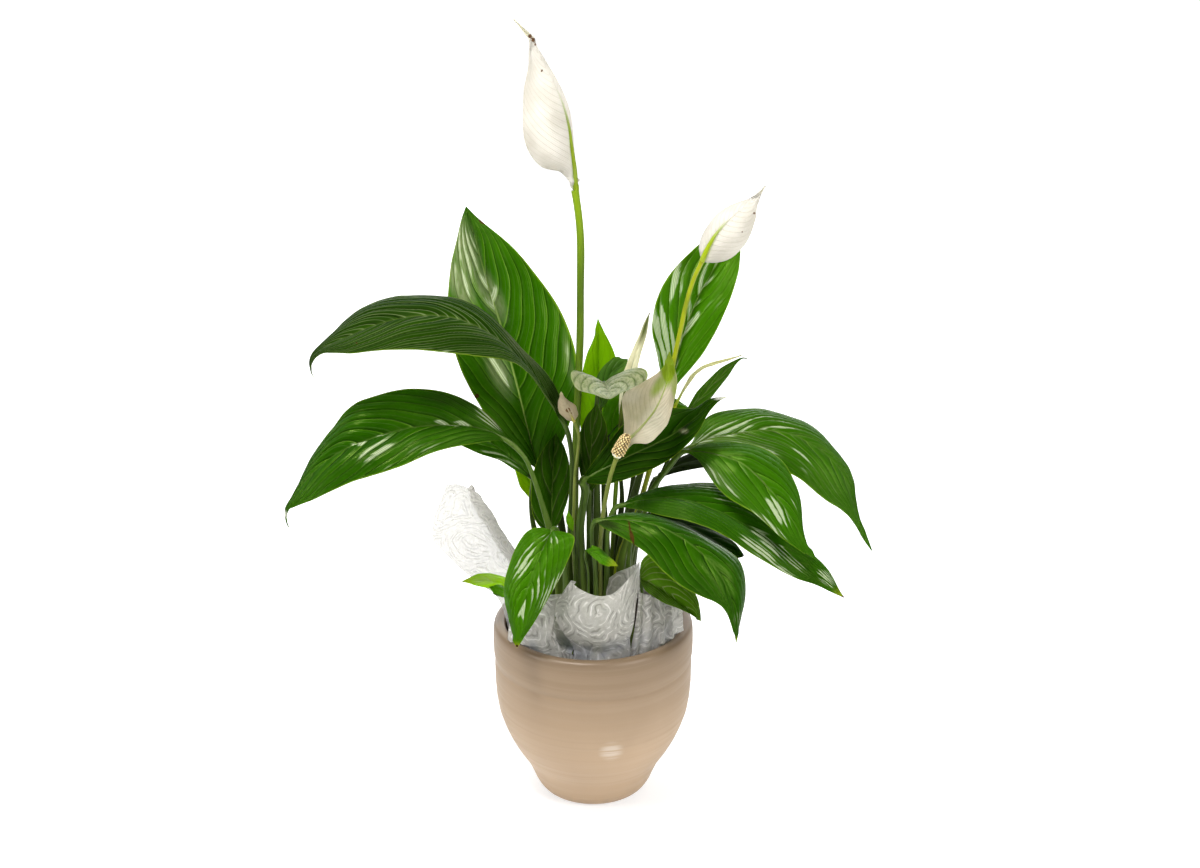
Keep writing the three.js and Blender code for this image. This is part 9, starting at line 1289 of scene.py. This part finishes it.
def between_pots(P):
    """Keeps a surface in the gap between the two pots."""
    P = P.copy()
    r = np.maximum(np.hypot(P[..., 0], P[..., 1]), 1e-6)
    z = P[..., 2]
    want = np.where(z < 156.8, np.minimum(r, np.interp(z, *COVER_IN) - 1.0), r)
    want = np.where(z < 154.5, np.maximum(want, np.interp(z, *NURSERY_OUT) + 1.2), want)
    P[..., 0] *= want / r
    P[..., 1] *= want / r
    return P


def make_wrap():
    b = Build()
    area = 0.0

    def put(P, u0, v0, flip=False):
        nonlocal area
        P = between_pots(P)
        b.grid(P, 0, uv=surface_uv(P, u0, v0), flip=flip)
        a_, b_, c_, d_ = P[:-1, :-1], P[:-1, 1:], P[1:, 1:], P[1:, :-1]
        area += 0.5 * np.linalg.norm(np.cross(c_ - a_, d_ - b_), axis=2).sum() * 1e-6
        print("wrap piece mm: across", round(float(np.linalg.norm(np.diff(P, axis=1), axis=2).sum(1).max())), "up", round(float(np.linalg.norm(np.diff(P, axis=0), axis=2).sum(0).max())), "z", round(float(P[..., 2].min())), round(float(P[..., 2].max())))

    # the sleeve round the nursery pot, with its crumpled top at the back
    nth, ns = 420, 64
    deg = np.linspace(0, 360, nth)
    a = np.radians(deg)
    s = np.linspace(0, 1, ns)
    kr, rad, hz = [0, 0.3, 0.6, 0.75], [62.5, 67.5, 70.0, 70.2], [52, 96, 138, 151.0]
    back = smoothstep(345, 358, deg) + smoothstep(150, 128, deg)
    up = 8.0 + 22.0 * np.clip(back, 0, 1) * (0.65 + 0.35 * np.sin(a * 5 + 0.6)) + 3.5 * np.sin(a * 13)
    up = np.where(back > 0.02, up, -3.0)
    lean = 2.0 + 5.0 * np.sin(a * 4 + 1.0)
    P = np.zeros((ns, nth, 3))
    pleat = np.sin(a * 9) * 0.9 + np.sin(a * 23 + 1.2) * 0.7
    for i, q in enumerate(s):
        k_ = max(0.0, (q - 0.75) / 0.25)
        r = np.interp(q, kr, rad) + pleat * min(1, q * 2) * (1 + 1.2 * k_) + lean * k_ ** 1.5 * np.clip(back, 0, 1) - 2.0 * k_
        z = np.interp(q, kr, hz) + up * k_
        P[i] = np.stack([r * np.cos(a), r * np.sin(a), z if np.ndim(z) else np.full(nth, z)], 1)
    Q = crumple(P, 1.6, 0.9, 2.0)
    w_ = (smoothstep(0.6, 0.85, s)[:, None] * np.clip(back, 0, 1)[None, :])[..., None]
    P = P * (1 - w_) + Q * w_
    put(P, 0.3, 0.0)

    # tall flap at the back left
    A = uvy([
        [(512, 640, -14), (520, 640, -6), (530, 640, 4), (540, 640, 12)],
        [(500, 603, -14), (511, 602, -6), (523, 602, 6), (536, 606, 16)],
        [(484, 587, -4), (498, 582, 0), (512, 578, 8), (528, 584, 20)],
        [(466, 573, 6), (482, 562, 8), (500, 553, 14), (519, 558, 26)],
        [(447, 555, 10), (466, 543, 12), (486, 532, 18), (506, 536, 32)],
        [(433, 539, 13), (451, 527, 16), (472, 515, 22), (493, 516, 35)],
        [(434, 519, 15), (449, 508, 18), (466, 500, 24), (483, 502, 34)],
        [(441, 500, 18), (451, 494, 20), (464, 491, 24), (478, 494, 32)],
        [(447, 485, 24), (455, 484, 25), (463, 486, 26), (470, 488, 28)]])
    P = crumple(net(A, 110, 60), 1.8, 0.5, 5.0)
    put(P, 0.05, 0.20)
    # its right margin is rolled back on itself
    e = P[:, -1]
    t0 = unit(P[:, -1] - P[:, -6])
    nn = unit(np.cross(t0, np.gradient(e, axis=0)))
    wid = np.interp(np.linspace(0, 1, len(e)), [0, 0.25, 0.6, 0.9, 1], [9, 14, 15, 7, 1])
    roll = []
    for q in np.linspace(0, 1, 18):
        an = q * 2.6
        roll.append(e + t0 * (np.sin(an) * 2.6)[..., None] - nn * ((1 - np.cos(an)) * 2.2)[..., None] - t0 * (np.maximum(q - 0.35, 0) / 0.65 * wid)[:, None])
    put(np.stack(roll, 1), 0.09, 0.20)

    # piece at the front left, below the drooping leaf
    B = uvy([
        [(508, 662, -44), (524, 672, -52), (543, 678, -58), (560, 680, -62)],
        [(508, 633, -46), (526, 643, -53), (545, 650, -58), (559, 653, -61)],
        [(512, 618, -42), (527, 626, -49), (543, 632, -55), (551, 638, -56)],
        [(520, 606, -38), (534, 611, -44), (547, 615, -49), (554, 620, -50)],
        [(526, 596, -34), (540, 599, -40), (550, 601, -46), (558, 604, -48)],
        [(533, 590, -31), (543, 593, -38), (551, 594.5, -44), (561, 594, -49)]])
    put(crumple(net(B, 70, 60), 2.2, 1.0, 8.0), 0.22, 0.40)
    # narrow strips folded down into the dark gap
    S1 = uvy([[(553, 672, -58), (562, 672, -58)], [(553, 651, -58), (562, 653, -60)], [(551, 636, -52), (557, 640, -54)], [(548, 624, -48), (555, 620, -50)], [(552, 614, -46), (557, 609, -50)]])
    put(crumple(net(S1, 40, 12), 1.0, 0.6, 1.0), 0.31, 0.33)
    S3 = uvy([[(557, 674, -53), (580, 674, -54)], [(556, 650, -50), (577, 652, -51)], [(554, 634, -47), (571, 637, -48)], [(553, 618, -45), (564, 620, -46)]])
    put(crumple(net(S3, 40, 24), 1.4, 0.6, 6.5), 0.27, 0.34)
    S2 = uvy([[(572, 676, -60), (588, 676, -63)], [(574, 653, -60), (587, 655, -64)], [(570, 641, -57), (581, 643, -61)], [(560, 628, -54), (569, 632, -58)], [(556, 618, -52), (562, 618, -56)]])
    put(crumple(net(S2, 40, 14), 1.2, 0.6, 4.0), 0.36, 0.31)

    # centre flap: two peaks with a dip between, tucked under at the rim
    Cc = uvy([
        [(584, 690, -60), (594, 690, -62), (604, 690, -64), (616, 688, -63), (626, 682, -60), (634, 674, -56)],
        [(585, 657, -62), (593, 659, -64), (603, 660, -66), (614, 656, -66), (623, 650, -63), (630, 643, -58)],
        [(577, 645, -58), (589, 649, -61), (601, 651, -63), (613, 648, -64), (624, 641, -63), (632, 630, -58)],
        [(565, 633, -57), (580, 636, -66), (596, 639, -70), (612, 636, -71), (625, 628, -67), (634.5, 616, -58)],
        [(557, 619, -55), (574, 622, -66), (592, 625, -71), (611, 623, -72), (626, 612, -67), (636, 600, -56)],
        [(557, 605, -53), (574, 608, -64), (593, 612, -69), (611, 611, -70), (627, 598, -64), (638, 585, -53)],
        [(564, 593, -54), (578, 598, -62), (595, 604, -66), (611, 602, -67), (627, 588, -62), (639, 572, -51)],
        [(572, 582, -57), (582, 590, -60), (597, 596, -62), (612, 593.5, -62), (628, 580, -58), (640, 560, -50)]])
    P = net(Cc, 110, 90)
    put(crumple(P, 1.3, 0.55, 12.0), 0.45, 0.30)
    # the left margin turned back behind
    e = P[:, 0]
    t0 = unit(P[:, 0] - P[:, 8])
    back_ = np.array([0.15, 1.0, -0.05])
    roll = []
    for q in np.linspace(0, 1, 14):
        an = q * math.pi * 0.8
        roll.append(e + t0 * math.sin(an) * 1.6 + back_ * (1 - math.cos(an)) * 1.6 - t0 * (7 * max(0, q - 0.4)) + back_ * (5 * max(0, q - 0.4)))
    put(np.stack(roll, 1), 0.40, 0.30)
    # the right peak curls round behind the stalks' feet
    E = uvy([
        [(606, 606, -32), (616, 604, -30), (628, 600, -34), (639, 592, -44)],
        [(606, 592, -31), (616, 588, -28), (628, 583, -32), (639.5, 577, -44)],
        [(609, 578, -30), (617, 572, -27), (628, 568, -31), (640, 562, -46)]])
    put(crumple(net(E, 40, 46), 1.0, 0.6, 21.0), 0.52, 0.45)

    # pleated piece at the front right
    D = uvy([
        [(632, 684, -58), (641, 680, -56), (652, 674, -50), (662, 666, -46), (672, 656, -38), (684, 642, -28)],
        [(631, 651, -58), (641, 649, -57), (652, 645, -52), (662, 638, -47), (672, 629, -38), (682, 616, -27)],
        [(634, 632, -54), (643, 632, -54), (653, 629, -49), (663, 624, -43), (672, 619, -35), (682, 613, -25)],
        [(637, 612, -50), (645, 612, -50), (653, 612, -46), (663, 613, -40), (672, 611, -32), (682, 610, -23)],
        [(639, 592, -45), (645, 594, -45), (652, 596, -41), (663, 602, -36), (672, 606, -29), (682, 608, -21)]])
    P = net(D, 80, 110)
    N = unit(np.cross(np.gradient(P, axis=1), np.gradient(P, axis=0)))
    w = np.linspace(0, 1, 110)
    fold = 2.3 * np.sin(w * 26 + 0.8 * np.sin(w * 9)) * smoothstep(0, 0.12, w) * smoothstep(1.0, 0.85, w)
    put(crumple(P + N * fold[None, :, None], 1.2, 0.7, 30.0), 0.62, 0.30)

    o = b.make("lily_wrap_sheet", [M_WRAP], replaces="wrap_sheet")
    print("wrap area m2", round(float(area), 5))
    return o, area


wrap, wrap_area = make_wrap()

# ---------------------------------------------------------------- stage, light and camera
scene = bpy.context.scene
cam_d = bpy.data.cameras.new("camera")
cam = bpy.data.objects.new("camera", cam_d)
scene.collection.objects.link(cam)
cam.location = CAM * 0.001
cam.rotation_euler = (math.pi / 2 - PITCH, 0, 0)
cam_d.sensor_fit = "HORIZONTAL"
cam_d.sensor_width = 36
cam_d.lens = FOCAL_PX * 36 / 1200
cam_d.clip_end = 50
scene.camera = cam

k = Mat("floor")
co = k.n("ShaderNodeTexCoord").outputs["Object"]
ln = k.n("ShaderNodeVectorMath", operation="LENGTH")
k.put(ln.inputs[0], co)
dist = ln.outputs["Value"]
nf = k.noise(3.0, 2.0)
em = k.n("ShaderNodeEmission", ins={"Color": (1, 1, 1), "Strength": k.ramp(dist, 0.06, 0.30, 0.62, 1.0)})
df = k.n("ShaderNodeBsdfDiffuse", ins={"Color": k.mix(k.ramp(nf, 0.3, 0.7), (0.50, 0.50, 0.50), (0.53, 0.53, 0.53))})
ad = k.n("ShaderNodeAddShader", ins={0: em.outputs[0], 1: df.outputs[0]})
df2a = k.n("ShaderNodeBsdfDiffuse", ins={"Color": (0.80, 0.80, 0.80)})
em2 = k.n("ShaderNodeEmission", ins={"Color": (1.0, 0.98, 0.94), "Strength": 0.26})
df2 = k.n("ShaderNodeAddShader", ins={0: df2a.outputs[0], 1: em2.outputs[0]})
lpf = k.n("ShaderNodeLightPath")
mxf = k.n("ShaderNodeMixShader", ins={0: lpf.outputs["Is Camera Ray"], 1: df2.outputs[0], 2: ad.outputs[0]})
floor_mat = k.close(mxf.outputs[0])
me = bpy.data.meshes.new("floor")
me.from_pydata([(-9, -5, 0), (9, -5, 0), (9, 14, 0), (-9, 14, 0)], [], [(0, 1, 2, 3)])
me.materials.append(floor_mat)
floor = bpy.data.objects.new("floor", me)
scene.collection.objects.link(floor)

world = bpy.data.worlds.new("studio")
scene.world = world
world.use_nodes = True
nt = world.node_tree
nt.nodes.clear()
wo = nt.nodes.new("ShaderNodeOutputWorld")
bg = nt.nodes.new("ShaderNodeBackground")
bg2 = nt.nodes.new("ShaderNodeBackground")
lp = nt.nodes.new("ShaderNodeLightPath")
ms = nt.nodes.new("ShaderNodeMixShader")
bg.inputs[0].default_value = (0.97, 0.98, 1.0, 1)
tc = nt.nodes.new("ShaderNodeTexCoord")
sp_ = nt.nodes.new("ShaderNodeSeparateXYZ")
mr = nt.nodes.new("ShaderNodeMapRange")
mr.interpolation_type = "SMOOTHSTEP"
nt.links.new(tc.outputs["Generated"], sp_.inputs[0])
nt.links.new(sp_.outputs[1], mr.inputs[0])
for i_, v_ in ((1, 0.0), (2, 0.55), (3, 0.05), (4, 0.60)):
    mr.inputs[i_].default_value = v_
nt.links.new(mr.outputs[0], bg.inputs[1])
bg2.inputs[0].default_value = (1, 1, 1, 1)
bg2.inputs[1].default_value = 1.0
nt.links.new(lp.outputs["Is Camera Ray"], ms.inputs[0])
nt.links.new(bg.outputs[0], ms.inputs[1])
nt.links.new(bg2.outputs[0], ms.inputs[2])
nt.links.new(ms.outputs[0], wo.inputs[0])


def softbox(name, loc, target, w, h, power, color=(1, 1, 1)):
    ld = bpy.data.lights.new(name, "AREA")
    ld.shape = "RECTANGLE"
    ld.size, ld.size_y = w, h
    ld.energy = power
    ld.color = color
    lo = bpy.data.objects.new(name, ld)
    scene.collection.objects.link(lo)
    lo.location = loc
    lo.rotation_euler = (Vector(target) - Vector(loc)).to_track_quat("-Z", "Y").to_euler()
    return lo


softbox("key_right", (1.25, -1.15, 1.15), (0, 0, 0.30), 0.55, 0.85, 24)
softbox("fill_left", (-1.45, -0.75, 1.25), (0, 0, 0.34), 0.40, 0.9, 17)
softbox("top", (-0.40, -0.45, 1.85), (0, 0, 0.3), 0.40, 0.40, 26)
softbox("back", (0.0, 2.2, 1.0), (0, 0, 0.35), 3.8, 2.2, 60)

scene.view_settings.view_transform = "Standard"
scene.view_settings.look = "None"
scene.view_settings.exposure = 0.0
scene.view_settings.gamma = 1.0
